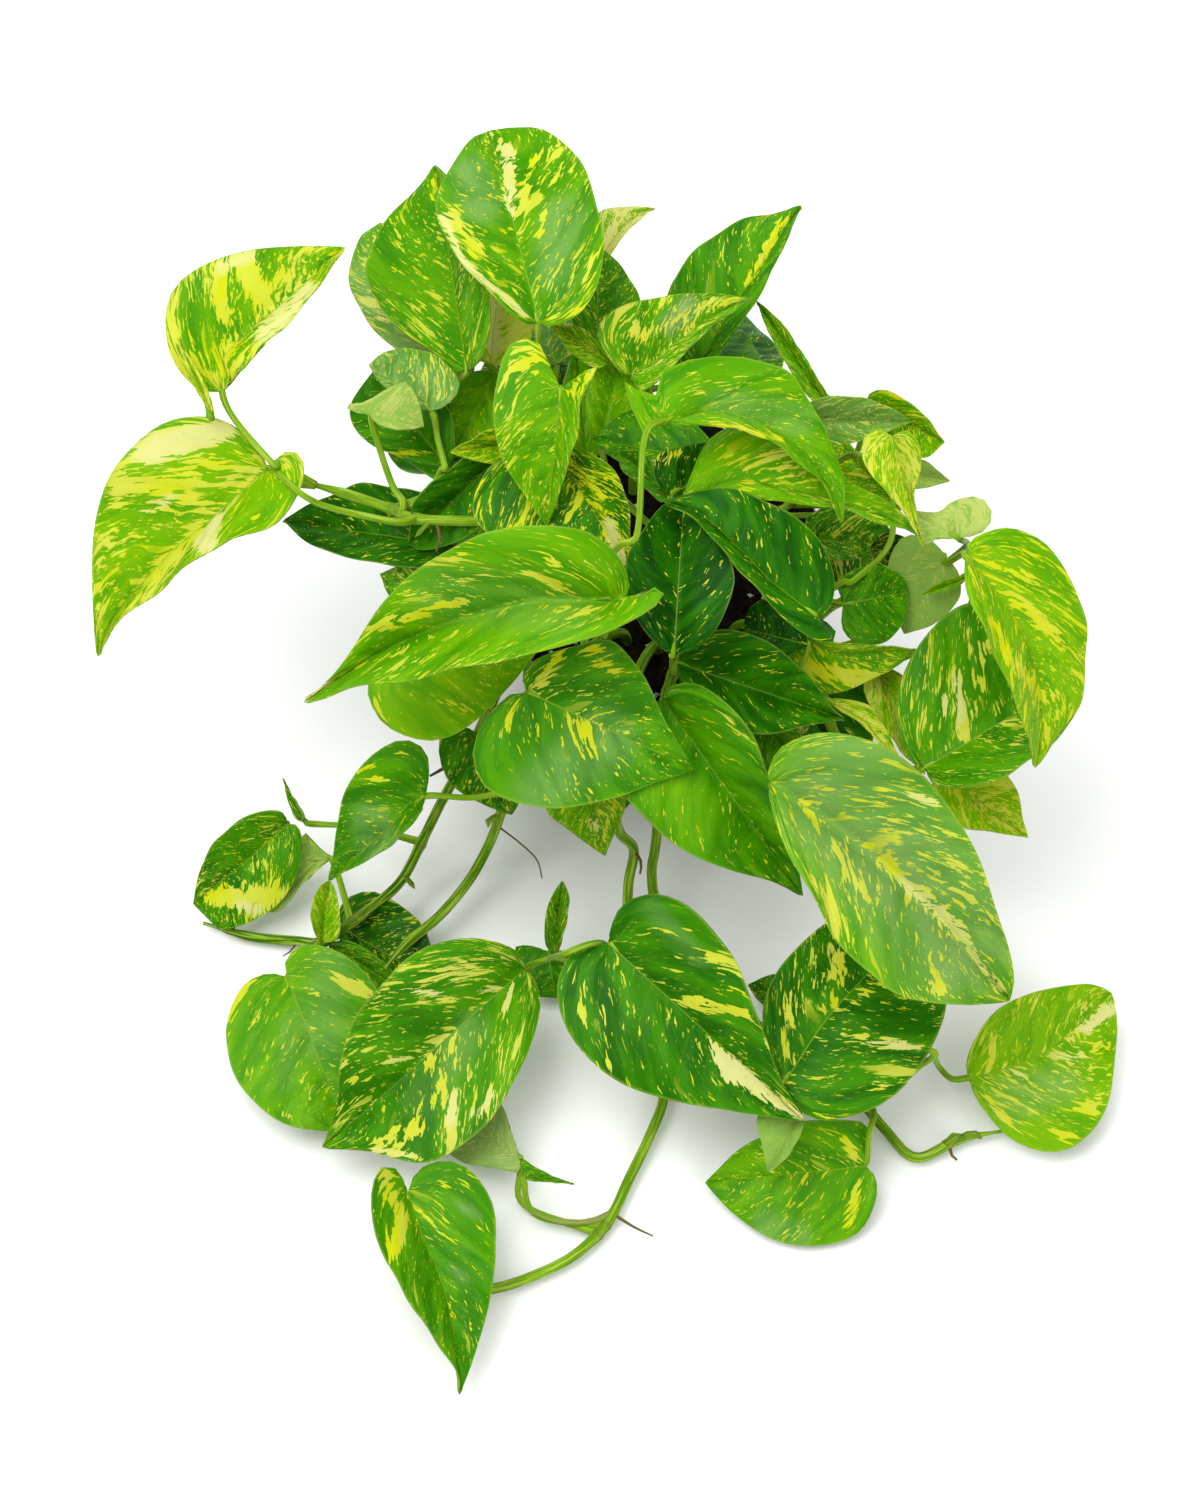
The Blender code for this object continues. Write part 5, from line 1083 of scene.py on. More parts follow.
# Looks of each blade: its green from 0, dark, to 1, lime, where the darker greens of the blades deep
# in the crown are partly their own colour and partly painted shade; the share of it that is yellow; how
# creamy that yellow is; and strokes in frame points: kind, start and half width there, end and
# half width there, amount. Kinds: m yellow, w cream, l lighter green, b painted grey sheen
PLAIN_LOOK = (0.45, 0.08, 0.25, ())
LOOKS = {
    "far_left_cream": (0.88, 0.24, 0.25, (
        ("w", 150, 450, 16, 225, 430, 12, 1.0), ("m", 120, 480, 12, 190, 490, 14, 0.7),
        ("w", 140, 512, 5, 172, 498, 5, 0.8), ("w", 205, 545, 10, 222, 515, 4, 1.0),
        ("m", 195, 535, 8, 150, 580, 6, 0.8), ("m", 190, 465, 10, 260, 465, 8, 0.5))),
    "far_left_top": (0.70, 0.26, 0.20, (
        ("w", 222, 265, 8, 250, 255, 8, 0.9), ("m", 222, 270, 9, 222, 320, 5, 1.0),
        ("m", 245, 265, 12, 262, 300, 10, 0.9), ("w", 262, 335, 9, 310, 290, 8, 0.8),
        ("m", 230, 340, 10, 228, 375, 8, 0.7), ("m", 172, 350, 5, 190, 385, 4, 0.9))),
    "far_left_young": (0.90, 0.55, 0.3, ()),
    "tall_left": (0.59, 0.09, 0.2, (("m", 436, 175, 3, 432, 200, 3, 0.7),)),
    "back_grey": (0.66, 0.24, 0.5, (("b", 390, 300, 60, 430, 340, 60, 0.5),)),
    "small_olive": (1.0, 0.80, 0.3, (("w", 493, 350, 8, 498, 285, 7, 0.6),)),
    "tall_front": (0.60, 0.08, 0.20, (
        ("w", 441, 215, 3, 466, 270, 6, 1.0), ("w", 466, 268, 7, 525, 316, 3, 1.0),
        ("m", 452, 215, 8, 478, 255, 7, 0.6), ("w", 490, 135, 4, 512, 160, 7, 0.6),
        ("w", 508, 150, 7, 511, 215, 4, 1.0), ("m", 533, 158, 4, 521, 212, 4, 0.9),
        ("m", 546, 208, 2, 539, 245, 2, 0.9), ("m", 552, 140, 2, 555, 185, 2, 0.5),
        ("m", 596, 255, 4, 588, 300, 7, 0.5), ("m", 580, 310, 6, 550, 318, 4, 0.5),
        ("b", 470, 175, 18, 480, 205, 20, 0.4), ("b", 565, 220, 24, 555, 270, 22, 0.35))),
    "back_tip": (0.80, 0.62, 0.7, ()),
    "back_flecked": (0.50, 0.10, 0.2, ()),
    "back_right": (0.46, 0.03, 0.2, (("m", 784, 218, 4, 748, 285, 5, 0.7),)),
    "top_right": (0.60, 0.16, 0.3, (
        ("m", 628, 318, 4, 636, 330, 4, 0.9), ("m", 640, 335, 3, 690, 312, 3, 0.6),
        ("m", 700, 305, 5, 735, 300, 4, 0.7), ("b", 668, 325, 10, 688, 305, 12, 0.7))),
    "big_right": (0.68, 0.06, 0.2, (
        ("m", 715, 425, 5, 780, 440, 3, 0.7), ("w", 826, 412, 3, 842, 408, 3, 0.8),
        ("m", 700, 385, 4, 720, 375, 2, 0.3), ("b", 720, 400, 14, 800, 420, 16, 0.25))),
    "yellow_right": (0.78, 0.10, 0.2, (
        ("m", 780, 460, 12, 810, 480, 10, 0.35), ("m", 745, 465, 8, 750, 490, 8, 0.35))),
    "lime_centre": (0.72, 0.09, 0.2, (
        ("m", 515, 372, 8, 540, 356, 10, 0.9), ("m", 575, 390, 8, 596, 372, 6, 0.6))),
    "speckled": (0.34, 0.24, 0.0, (("w", 610, 522, 6, 620, 560, 9, 0.9),)),
    "inner_pale": (0.68, 0.30, 0.1, ()),
    "inner_dark": (0.80, 0.02, 0.2, ()),
    "inner_back": (0.70, 0.05, 0.2, ()),
    "inner_fold": (0.80, 0.05, 0.2, ()),
    "inner_low": (0.46, 0.03, 0.2, ()),
    "inner_fan": (0.36, 0.03, 0.2, ()),
    "inner_edge": (0.12, 0.02, 0.2, (("m", 662, 455, 4, 680, 454, 4, 0.9),)),
    "small_green": (0.70, 0.20, 0.2, ()),
    "long_streaked": (0.72, 0.06, 0.25, (
        ("m", 418, 566, 3, 480, 548, 3, 0.5), ("m", 524, 570, 4, 568, 588, 5, 0.8),
        ("m", 545, 560, 3, 590, 580, 2, 0.5), ("m", 368, 630, 6, 460, 600, 5, 0.75),
        ("m", 312, 682, 3, 400, 606, 4, 0.6), ("m", 335, 676, 3, 405, 652, 3, 0.6),
        ("m", 460, 668, 4, 560, 655, 3, 0.6), ("w", 300, 700, 5, 330, 682, 4, 0.9),
        ("m", 565, 622, 2, 588, 612, 3, 0.8), ("b", 440, 590, 30, 560, 610, 30, 0.15))),
    # The dark greens of the blades deep in the crown are partly their own colour and partly painted shade.
    "deep_centre": (0.12, 0.0, 0.2, ()),
    "dark_folded": (0.20, 0.0, 0.2, ()),
    "low_yellow": (0.72, 0.18, 0.2, (("m", 805, 668, 9, 890, 684, 8, 0.9),)),
    "centre_dark": (0.12, 0.0, 0.2, ()),
    "low_right": (0.30, 0.01, 0.2, ()),
    "under_left": (0.88, 0.03, 0.2, (
        ("m", 373, 695, 4, 380, 716, 4, 0.9), ("m", 450, 705, 4, 462, 704, 4, 0.9))),
    "front_middle": (0.50, 0.03, 0.2, (
        ("m", 504, 738, 3, 514, 705, 4, 0.8), ("m", 533, 690, 4, 560, 655, 6, 0.9),
        ("m", 572, 722, 8, 590, 748, 9, 0.55), ("m", 586, 640, 6, 618, 672, 3, 0.9),
        ("m", 535, 720, 6, 550, 725, 6, 0.3), ("m", 560, 712, 2, 600, 725, 3, 0.5),
        ("b", 540, 790, 25, 600, 740, 36, 0.35))),
    "front_lower": (0.50, 0.02, 0.2, (
        ("l", 650, 780, 30, 690, 815, 34, 0.34), ("m", 728, 720, 4, 742, 735, 5, 0.5))),
    "front_big": (0.71, 0.11, 0.25, (
        ("m", 800, 800, 4, 872, 908, 5, 0.6), ("m", 790, 790, 2, 880, 900, 3, 0.5),
        ("m", 868, 845, 4, 905, 882, 6, 0.75), ("w", 905, 880, 7, 960, 930, 8, 0.75),
        ("w", 960, 930, 5, 1000, 990, 6, 0.6), ("w", 915, 795, 6, 932, 804, 6, 0.7),
        ("m", 795, 850, 4, 850, 930, 6, 0.25), ("m", 930, 975, 5, 940, 995, 6, 0.7),
        ("m", 985, 960, 5, 1005, 985, 5, 0.5), ("b", 850, 800, 70, 950, 930, 70, 0.58))),
    "far_right_lime": (0.90, 0.13, 0.1, (
        ("m", 975, 560, 3, 1030, 578, 4, 0.7), ("m", 1005, 590, 6, 1060, 640, 7, 0.7),
        ("m", 990, 620, 6, 1010, 660, 6, 0.8), ("m", 1015, 665, 6, 1045, 700, 6, 0.8))),
    "right_streaked": (0.54, 0.10, 0.3, (
        ("w", 955, 670, 4, 958, 695, 4, 0.8), ("w", 945, 705, 4, 960, 712, 4, 0.8),
        ("m", 985, 665, 4, 972, 700, 4, 0.8), ("m", 930, 640, 4, 925, 660, 3, 0.5))),
    "lime_below": (1.0, 0.35, 0.2, ()),
    "lime_strip": (0.95, 0.35, 0.3, ()),
    "folded_bit": (0.78, 0.62, 0.3, ()),
    "shade_right": (0.60, 0.05, 0.2, ()),
    "right_rolled": (0.94, 0.40, 0.3, ()),
    "right_cream": (0.72, 0.14, 0.5, (("b", 830, 415, 30, 880, 420, 30, 0.4),)),
    "right_dark": (0.66, 0.18, 0.1, ()),
    "right_small": (0.40, 0.10, 0.2, ()),
    "right_round": (0.46, 0.03, 0.2, ()),
    "right_mid": (0.76, 0.18, 0.2, ()),
    "right_slip": (0.80, 0.08, 0.2, ()),
    "right_lower": (0.02, 0.08, 0.2, ()),
    "right_pale": (0.94, 0.10, 0.3, ()),
    "right_tip": (0.92, 0.28, 0.4, ()),
    "right_curl": (0.95, 0.45, 0.6, ()),
    "edge_on": (0.56, 0.14, 0.1, ()),
    "left_dark": (0.46, 0.0, 0.2, (("m", 365, 458, 3, 425, 452, 3, 0.8),)),
    "left_grey": (0.55, 0.14, 0.4, (("b", 380, 360, 30, 430, 400, 34, 0.5),)),
    "left_pale": (0.92, 0.40, 0.6, ()),
    "olive_dark": (0.40, 0.0, 0.2, ()),
    "long_dark": (0.24, 0.02, 0.2, ()),
    "trail_upper": (0.50, 0.04, 0.2, (
        ("m", 362, 766, 4, 368, 769, 4, 0.9), ("m", 374, 779, 3, 377, 783, 3, 0.8),
        ("b", 370, 820, 20, 380, 845, 22, 0.35))),
    "trail_yellow_tip": (0.44, 0.08, 0.2, (
        ("m", 215, 898, 10, 275, 895, 12, 1.0), ("w", 240, 905, 5, 260, 912, 5, 0.9))),
    "trail_light": (0.70, 0.03, 0.2, (
        ("m", 250, 980, 4, 229, 1010, 5, 0.9), ("m", 229, 1010, 4, 228, 1045, 2, 0.7),
        ("m", 332, 975, 5, 362, 990, 10, 1.0), ("m", 345, 1008, 2, 352, 1016, 2, 0.8),
        ("m", 268, 995, 2, 255, 1025, 2, 0.6), ("b", 330, 965, 18, 320, 1040, 22, 0.25),
        ("b", 290, 1020, 10, 285, 1080, 10, 0.2))),
    "trail_streaked": (0.48, 0.12, 0.35, (
        ("m", 395, 968, 4, 480, 972, 4, 0.45), ("w", 402, 990, 2, 444, 993, 3, 0.8),
        ("w", 475, 990, 2, 496, 988, 3, 0.7), ("w", 505, 1010, 3, 514, 985, 3, 0.9),
        ("m", 425, 1070, 8, 452, 1045, 8, 0.6), ("m", 440, 1095, 12, 475, 1110, 12, 0.4),
        ("w", 450, 1120, 6, 456, 1095, 5, 0.7), ("w", 475, 1115, 5, 492, 1095, 4, 0.7),
        ("m", 385, 1142, 8, 415, 1130, 10, 0.8), ("w", 375, 1150, 3, 420, 1160, 3, 0.8),
        ("w", 385, 1061, 1.5, 414, 1057, 2, 0.9), ("m", 345, 1078, 3, 365, 1082, 3, 0.5),
        ("l", 520, 1000, 8, 500, 1090, 8, 0.25), ("b", 470, 1030, 20, 420, 1100, 20, 0.25))),
    "trail_front": (0.36, 0.03, 0.25, (
        ("w", 709, 1044, 4, 733, 1070, 12, 1.0), ("w", 733, 1070, 12, 800, 1117, 4, 1.0),
        ("m", 712, 954, 6, 748, 976, 8, 0.85), ("m", 688, 998, 6, 745, 1014, 6, 0.8),
        ("w", 768, 1042, 3, 782, 1068, 3, 1.0), ("m", 580, 1010, 4, 583, 1020, 4, 0.9),
        ("m", 603, 1005, 2, 607, 1034, 2, 0.8), ("m", 608, 1060, 3, 611, 1066, 3, 0.9),
        ("m", 640, 1022, 2, 641, 1034, 2, 0.8), ("m", 618, 965, 3, 624, 985, 2, 0.7),
        ("b", 650, 905, 10, 700, 960, 10, 0.2))),
    "trail_dark": (0.32, 0.06, 0.25, (
        ("m", 789, 998, 4, 790, 1022, 4, 0.95), ("m", 833, 950, 3, 831, 985, 2, 0.8),
        ("m", 840, 952, 3, 842, 976, 3, 0.9), ("m", 832, 990, 3, 835, 1008, 3, 0.8),
        ("m", 852, 997, 3, 885, 985, 4, 0.9), ("w", 868, 1042, 2, 912, 1046, 6, 1.0),
        ("m", 828, 1032, 3, 868, 1036, 4, 0.6), ("w", 918, 1056, 4, 920, 1062, 3, 0.8),
        ("m", 915, 1012, 3, 885, 1010, 3, 0.5), ("m", 785, 1035, 4, 785, 1050, 4, 0.4))),
    "trail_right": (0.92, 0.12, 0.25, (
        ("w", 1085, 1030, 4, 1108, 1010, 8, 1.0), ("m", 1092, 1050, 5, 1104, 1046, 5, 0.8),
        ("w", 1048, 1056, 4, 1085, 1058, 5, 0.55), ("w", 1005, 1070, 2, 1020, 1074, 3, 0.7),
        ("m", 985, 1095, 3, 1010, 1122, 4, 0.9), ("m", 1070, 1108, 4, 1095, 1112, 5, 0.8),
        ("m", 1088, 1102, 3, 1105, 1096, 3, 0.9), ("m", 1064, 1138, 5, 1085, 1130, 4, 0.9),
        ("m", 982, 1040, 2, 988, 1025, 2, 0.5), ("b", 1010, 1100, 22, 1060, 1085, 22, 0.3))),
    "trail_bottom": (0.66, 0.04, 0.2, (
        ("m", 845, 1140, 6, 855, 1155, 5, 0.95), ("m", 858, 1180, 3, 856, 1205, 5, 1.0),
        ("m", 856, 1205, 5, 845, 1232, 4, 0.9), ("m", 785, 1212, 5, 798, 1205, 4, 0.5),
        ("m", 790, 1172, 2, 830, 1168, 2, 0.5), ("b", 765, 1225, 14, 800, 1235, 12, 0.35))),
    "trail_lower_tip": (0.86, 0.03, 0.2, ()),
    "trail_end": (0.56, 0.04, 0.2, (
        ("m", 383, 1174, 7, 388, 1190, 8, 0.9), ("m", 388, 1198, 5, 402, 1212, 7, 0.9),
        ("m", 399, 1222, 9, 393, 1252, 7, 1.0), ("m", 420, 1212, 3, 445, 1222, 4, 0.6),
        ("m", 440, 1240, 3, 465, 1242, 3, 0.4), ("m", 450, 1300, 2, 452, 1315, 2, 0.6),
        ("b", 462, 1205, 5, 474, 1212, 4, 0.5), ("b", 455, 1270, 6, 465, 1280, 5, 0.4))),
    "trail_narrow": (0.48, 0.10, 0.2, ()),
    "trail_olive": (0.44, 0.02, 0.2, ()),
    "trail_pale": (0.90, 0.25, 0.4, ()),
    "trail_hidden_pale": (0.92, 0.20, 0.7, (("b", 500, 1130, 60, 500, 1150, 60, 0.7),)),
    "trail_small_dark": (0.44, 0.06, 0.2, ()),
    "trail_bud_leaf": (0.80, 0.22, 0.2, ()),
    "trail_corner": (0.28, 0.09, 0.2, ()),
    "front_tip": (0.72, 0.16, 0.2, (
        ("w", 588, 812, 2, 596, 828, 3, 0.8), ("m", 616, 800, 2, 604, 840, 2, 0.7))),
    "front_speckled": (0.34, 0.08, 0.2, ()),
    "flat_dark": (0.20, 0.07, 0.2, ()),
    "flat_streaked": (0.46, 0.08, 0.2, ()),
}

# Columns of a blade's tone: green, yellow share, cream, a number of its own, painted sheen and marks
GREEN, CREAMY, SHEEN_PAINTED, MARKED = 0, 2, 4, 5
STROKE_COLUMNS = {"m": (MARKED,), "w": (CREAMY, MARKED), "l": (GREEN,), "b": (SHEEN_PAINTED,)}
STROKE_EDGE = 4
OWN_STEP = 0.137

# How a blade without a look of its own strays from the plain green and yellow: by how much, how
# fast from one blade to the next, and from where
STRAYS = ((0.14, 5.1, 0), (0.05, 3.3, 1))

# Blades whose pale underside faces the view
TURNED = {"right_pale", "right_curl", "right_tip", "left_pale", "trail_pale", "trail_hidden_pale",
          "trail_lower_tip"}

# Finer meshes of the blades: least length, rows along, rows in the lobe, columns to the edge
FINE_MESHES = ((0.080, 52, 14, 11), (0.045, 36, 10, 8), (0.0, 24, 7, 6))
FINE_SWEEP = 0.42
FINE_THICKNESS = 0.0006

# Relief of a blade, in metres for a blade of the usual length, and its veins
USUAL_LENGTH = 0.09
VEINS = 9
LOBE_VEINS = 0.30
VEIN_CURVE = 0.035
QUILT = 0.00042
QUILT_ROUNDING = 0.7
QUILT_AT_RIB = 5
QUILT_AT_EDGE = 4
MIDRIB_DEPTH = 0.00055
MIDRIB_REACH = 0.0009
RIPPLE = 0.008
RIPPLE_COUNT = 2.6
RIPPLE_RISE = 2.5
RIPPLE_SHIFT = 1.5
SWAY = 0.006
SWAY_COUNT = 1.7
SWAY_SLANT = 0.3
RELIEF_PHASE = 1.7
STILL_HEEL = 0.15

# Fine stalks, in metres
STALK_SIDES = 12
STALK_STEP = 0.0025
STALK_LOWEST = 0.0004
JOINT_SWELL = 0.26
JOINT_REACH = 0.0021

# Radius of a petiole, as shares of the solid's: its shaft, a knee (how much more, where and over
# what reach in metres) and its foot (how much more, and how late it comes)
SHAFT_SHARE = 0.84
KNEE = (0.12, 0.008, 0.004)
FOOT = (0.38, 4)
SEAT_SHARE = 0.6
SEAT_RUN = 0.004

# Radius of a stem, as a share of the solid's, and the run of its tapered end in metres
STEM_SHARE = 0.94
STEM_END_SHARE = 0.35
STEM_TAPER = 0.018

# Tones of the stalks: how lime, how pale, and how much a petiole's own number adds to each
STEM_LIME = 0.7
STEM_PALE = 0.3
DARK_STALKS = {"vine_left": 0.08, "vine_front": 0.55, "vine_right": 0.55, "vine_inner": 0.35}
PETIOLE_LIME = (0.6, 0.4)
PETIOLE_PALE = (0.2, 0.5)
PETIOLE_STEP = 0.61

# Small growths on the stems: stem, kind, radius at each end in millimetres, and frame points with
# a height above the stem there in millimetres; the first point is moved onto the stem
GROWTHS = (
    ("vine_front", "sheath", (1.6, 0.3), [(613, 1214, 0), (592, 1221, 2), (560, 1222, 4), (529, 1212, 6)]),
    ("vine_front", "root", (0.7, 0.3), [(617, 1216, 0), (634, 1227, 0), (653, 1236, 0)]),
    ("vine_front", "root", (0.8, 0.4), [(635, 849, 0), (641, 862, -1), (640, 874, -3)]),
    ("vine_inner", "bud", (1.6, 0.9), [(493, 812, 0), (489, 820, 1), (488, 828, 1)]),
    ("vine_inner", "root", (0.4, 0.25), [(497, 826, 0), (520, 843, -4), (537, 860, -10), (542, 878, -18)]),
    ("vine_left", "root", (1.1, 0.5), [(465, 757, 0), (448, 766, 1), (430, 776, 2)]),
    ("vine_left", "bud", (1.4, 0.7), [(404, 877, 0), (410, 882, 0), (415, 889, 0)]),
    ("vine_left", "root", (0.5, 0.25), [(297, 940, 0), (292, 950, 0), (283, 956, 0)]),
    ("vine_right", "bud", (2.0, 1.5), [(945, 1146, 0), (953, 1138, 3), (961, 1134, 4)]),
    ("vine_right", "bud", (1.8, 1.1), [(962, 1137, 0), (972, 1133, 2), (982, 1139, 2)]),
    ("vine_right", "root", (0.8, 0.4), [(950, 1146, 0), (951, 1154, 0), (957, 1160, 0)]),
    ("stem_west", "root", (0.9, 0.4), [(436, 526, 0), (440, 538, -2), (436, 552, -5)]),
    ("stem_west", "bud", (1.5, 0.8), [(430, 524, 0), (422, 530, 1), (415, 537, 1)]),
)
GROWTH_TONES = {"sheath": (1.0, 0.75, 0.8), "bud": (0.35, 0.2, 0.3), "root": (0.1, 1.0, 0.2)}
GROWTH_LOWEST = 0.001

# Shape of a bud: how much its knobs stand out and how close they come, then its rounded end
KNOBS = (0.22, 11)
BUD_END = (1.04, 6, 0.04)

# Places of the materials on a leafy stem
LEAF, UNDERSIDE, STALK = 0, 1, 2


def fine_sheet(blade):
    """Finer sheet of a blade, with its veins and waves pressed in: points, triangles, places."""
    blade.mesh = mesh_for(blade.length, FINE_MESHES)
    stations, lobe_rows, columns = blade.mesh
    pixels, triangles = blade_sheet(blade, FINE_SWEEP)
    points = blade.points(pixels)
    normals = sheet_normals(points, triangles)
    spine = np.arange(stations + 1) / stations
    lobe = (np.arange(1, lobe_rows + 1) / lobe_rows - 1) * LOBE_VEINS
    rows = np.repeat(np.concatenate((lobe, spine[1:-1])), columns)
    roots = np.repeat(np.concatenate((np.zeros(lobe_rows, int), np.arange(1, stations))), columns)
    steps = np.tile(np.arange(1, columns + 1) / columns, lobe_rows + stations - 1)
    row = np.concatenate((spine, rows, rows))
    side = np.concatenate((0 * spine, steps, -steps))
    root = np.concatenate((np.arange(stations + 1), roots, roots))
    share = abs(side)
    vein = row + VEIN_CURVE * 4 * share * (1 - share)
    off = np.linalg.norm(points - points[root], axis=1) * np.sign(side)
    from_heel = np.linalg.norm(points - points[0], axis=1) / (STILL_HEEL * blade.length)
    size = blade.length / USUAL_LENGTH
    quilt = QUILT * size * (0.5 - 0.5 * np.cos(2 * math.pi * VEINS * vein)) ** QUILT_ROUNDING
    quilt *= np.clip(share * QUILT_AT_RIB, 0, 1) * np.clip((1 - share) * QUILT_AT_EDGE, 0, 1)
    groove = MIDRIB_DEPTH * size * np.exp(-(off / MIDRIB_REACH) ** 2)
    phase = RELIEF_PHASE * blade.phase
    ripple = RIPPLE * share ** RIPPLE_RISE * np.sin(
        2 * math.pi * RIPPLE_COUNT * row + phase + RIPPLE_SHIFT * np.sign(side))
    sway = SWAY * share * np.sin(2 * math.pi * SWAY_COUNT * (row - SWAY_SLANT * share) - phase)
    lift = quilt - groove + (ripple + sway) * blade.length * np.clip(from_heel, 0, 1)
    place = np.stack((vein, side, off * MILLIMETRES), -1)
    return points + normals * lift[:, None], triangles, place, pixels


def tones(blade, pixels, index):
    """Green, yellow share, cream, a number of its own, painted sheen and marks at points of a blade."""
    lime, yellow, cream, strokes = LOOKS.get(blade.name, PLAIN_LOOK)
    if blade.name not in LOOKS:
        lime, yellow = (value + size * math.sin(pace * index + start)
                        for value, (size, pace, start) in zip((lime, yellow), STRAYS))
    own = (OWN_STEP * index) % 1
    tone = np.tile((lime, yellow, cream, own, 0.0, 0.0), (len(pixels), 1))
    for kind, x0, y0, start, x1, y1, end, amount in strokes:
        run = np.array((x1 - x0, y1 - y0))
        share = np.clip((pixels - (x0, y0)) @ run / (run @ run), 0, 1)
        away = np.linalg.norm(pixels - (x0, y0) - share[:, None] * run, axis=1)
        near = amount * np.exp(-(away / (start + (end - start) * share)) ** STROKE_EDGE)
        for column in STROKE_COLUMNS[kind]:
            if column == MARKED:
                tone[:, column] = np.maximum(tone[:, column], near)
            else:
                tone[:, column] += near
    return np.clip(tone, 0, 1)


class Build:
    """Mesh data of one piece, gathered shell by shell."""

    def __init__(self):
        self.points, self.faces, self.slots = [], [], []
        self.place, self.tone, self.sharp = [], [], []
        self.count = 0

    def add(self, points, faces, slots, place, tone, sharp=()):
        self.points.append(points)
        self.faces += [tuple(v + self.count for v in face) for face in faces]
        self.slots += slots
        self.place.append(place)
        self.tone.append(tone)
        self.sharp += [(a + self.count, b + self.count) for a, b in sharp]
        self.count += len(points)

    def blade(self, blade, index):
        """Fine blade, with its rim kept sharp."""
        points, triangles, place, pixels = fine_sheet(blade)
        both, faces = slab(points, triangles, FINE_THICKNESS)
        tone = tones(blade, pixels, index)
        up, down = (UNDERSIDE, LEAF) if blade.name in TURNED else (LEAF, UNDERSIDE)
        count, sheet = len(triangles), len(points)
        slots = [up] * count + [down] * count + [up] * (len(faces) - 2 * count)
        rim = {tuple(sorted(edge)) for face in faces[2 * count:] for edge in zip(face, face[1:])
               if (edge[0] < sheet) == (edge[1] < sheet)}
        self.add(both, faces, slots, np.tile(place, (2, 1)), np.tile(tone, (2, 1)), rim)

    def stalk(self, line, radius, tone, joints=()):
        """Round stalk; radius gives its radius at places along it, in metres."""
        line = spaced(line, STALK_STEP)
        along = travelled(line)
        ring = np.zeros(len(line))
        for joint in joints:
            nearest = along[np.argmin(np.linalg.norm(line - joint, axis=1))]
            ring = np.maximum(ring, np.exp(-((along - nearest) / JOINT_REACH) ** 2))
        radii = radius(along, along[-1]) * (1 + JOINT_SWELL * ring)
        points, faces = tube(line, radii, STALK_SIDES)
        points[:, 2] = np.maximum(points[:, 2], STALK_LOWEST)
        turns = np.tile(np.arange(STALK_SIDES) / STALK_SIDES, len(line))
        place = np.stack((np.repeat(along, STALK_SIDES) * MILLIMETRES, turns,
                          np.repeat(ring, STALK_SIDES)), -1)
        tone = np.tile((*tone, 0.0, 0.0), (len(points), 1))
        self.add(points, faces, [STALK] * len(faces), place, tone)

    def finish(self, name, materials):
        """The piece, with its places and tones as attributes for the materials."""
        piece = mesh_piece(name, np.concatenate(self.points).tolist(), self.faces, materials)
        mesh = piece.data
        mesh.polygons.foreach_set("material_index", self.slots)
        wanted = set(self.sharp)
        flags = [tuple(sorted(edge.vertices)) in wanted for edge in mesh.edges]
        mesh.attributes.new("sharp_edge", "BOOLEAN", "EDGE").data.foreach_set("value", flags)
        tone = np.concatenate(self.tone)
        for title, kind, field, values in (
                ("place", "FLOAT_VECTOR", "vector", np.concatenate(self.place)),
                ("tone", "FLOAT_COLOR", "color", tone[:, :SHEEN_PAINTED]),
                ("painted_sheen", "FLOAT", "value", tone[:, SHEEN_PAINTED]),
                ("mark", "FLOAT", "value", tone[:, MARKED])):
            mesh.attributes.new(title, kind, "POINT").data.foreach_set(field, values.ravel())
        return piece


def petiole_radius(along, whole):
    """Radius of a petiole from its blade to its stem: thin at the seat, a sheath at the foot."""
    more, place, reach = KNEE
    wider, power = FOOT
    knee = more * np.exp(-((along - place) / reach) ** 2)
    radius = PETIOLE_RADIUS * (SHAFT_SHARE + knee + wider * (along / whole) ** power)
    start = SEAT_SHARE * SEAT_RADIUS
    return np.where(along < SEAT_RUN, start + (radius - start) * along / SEAT_RUN, radius)


def stem_radius(along, whole):
    """Radius of a stem, with a tapered end."""
    return STEM_RADIUS * STEM_SHARE * np.clip((whole - along) / STEM_TAPER, STEM_END_SHARE, 1)


def add_growth(build, line, kind, radii, path, seed):
    """A sheath, bud or root that starts on a stem and follows frame points."""
    run = filled(line)
    start = run[np.argmin(np.linalg.norm(seen(run)[0] - np.array(path[0][:2]), axis=1))]
    points = [start]
    for x, y, rise in path[1:]:
        points.append(spot((x, y), max(start[2] + rise / MILLIMETRES, GROWTH_LOWEST)))
    first, last = np.array(radii) / MILLIMETRES

    def radius(along, whole):
        share = along / whole
        tapered = first + (last - first) * share
        if kind != "bud":
            return tapered
        knobs = 1 + KNOBS[0] * np.sin(share * KNOBS[1])
        full, power, least = BUD_END
        return tapered * knobs * np.sqrt(np.clip(full - share ** power, least, 1))

    build.stalk(np.array(points), radius, (*GROWTH_TONES[kind], seed))


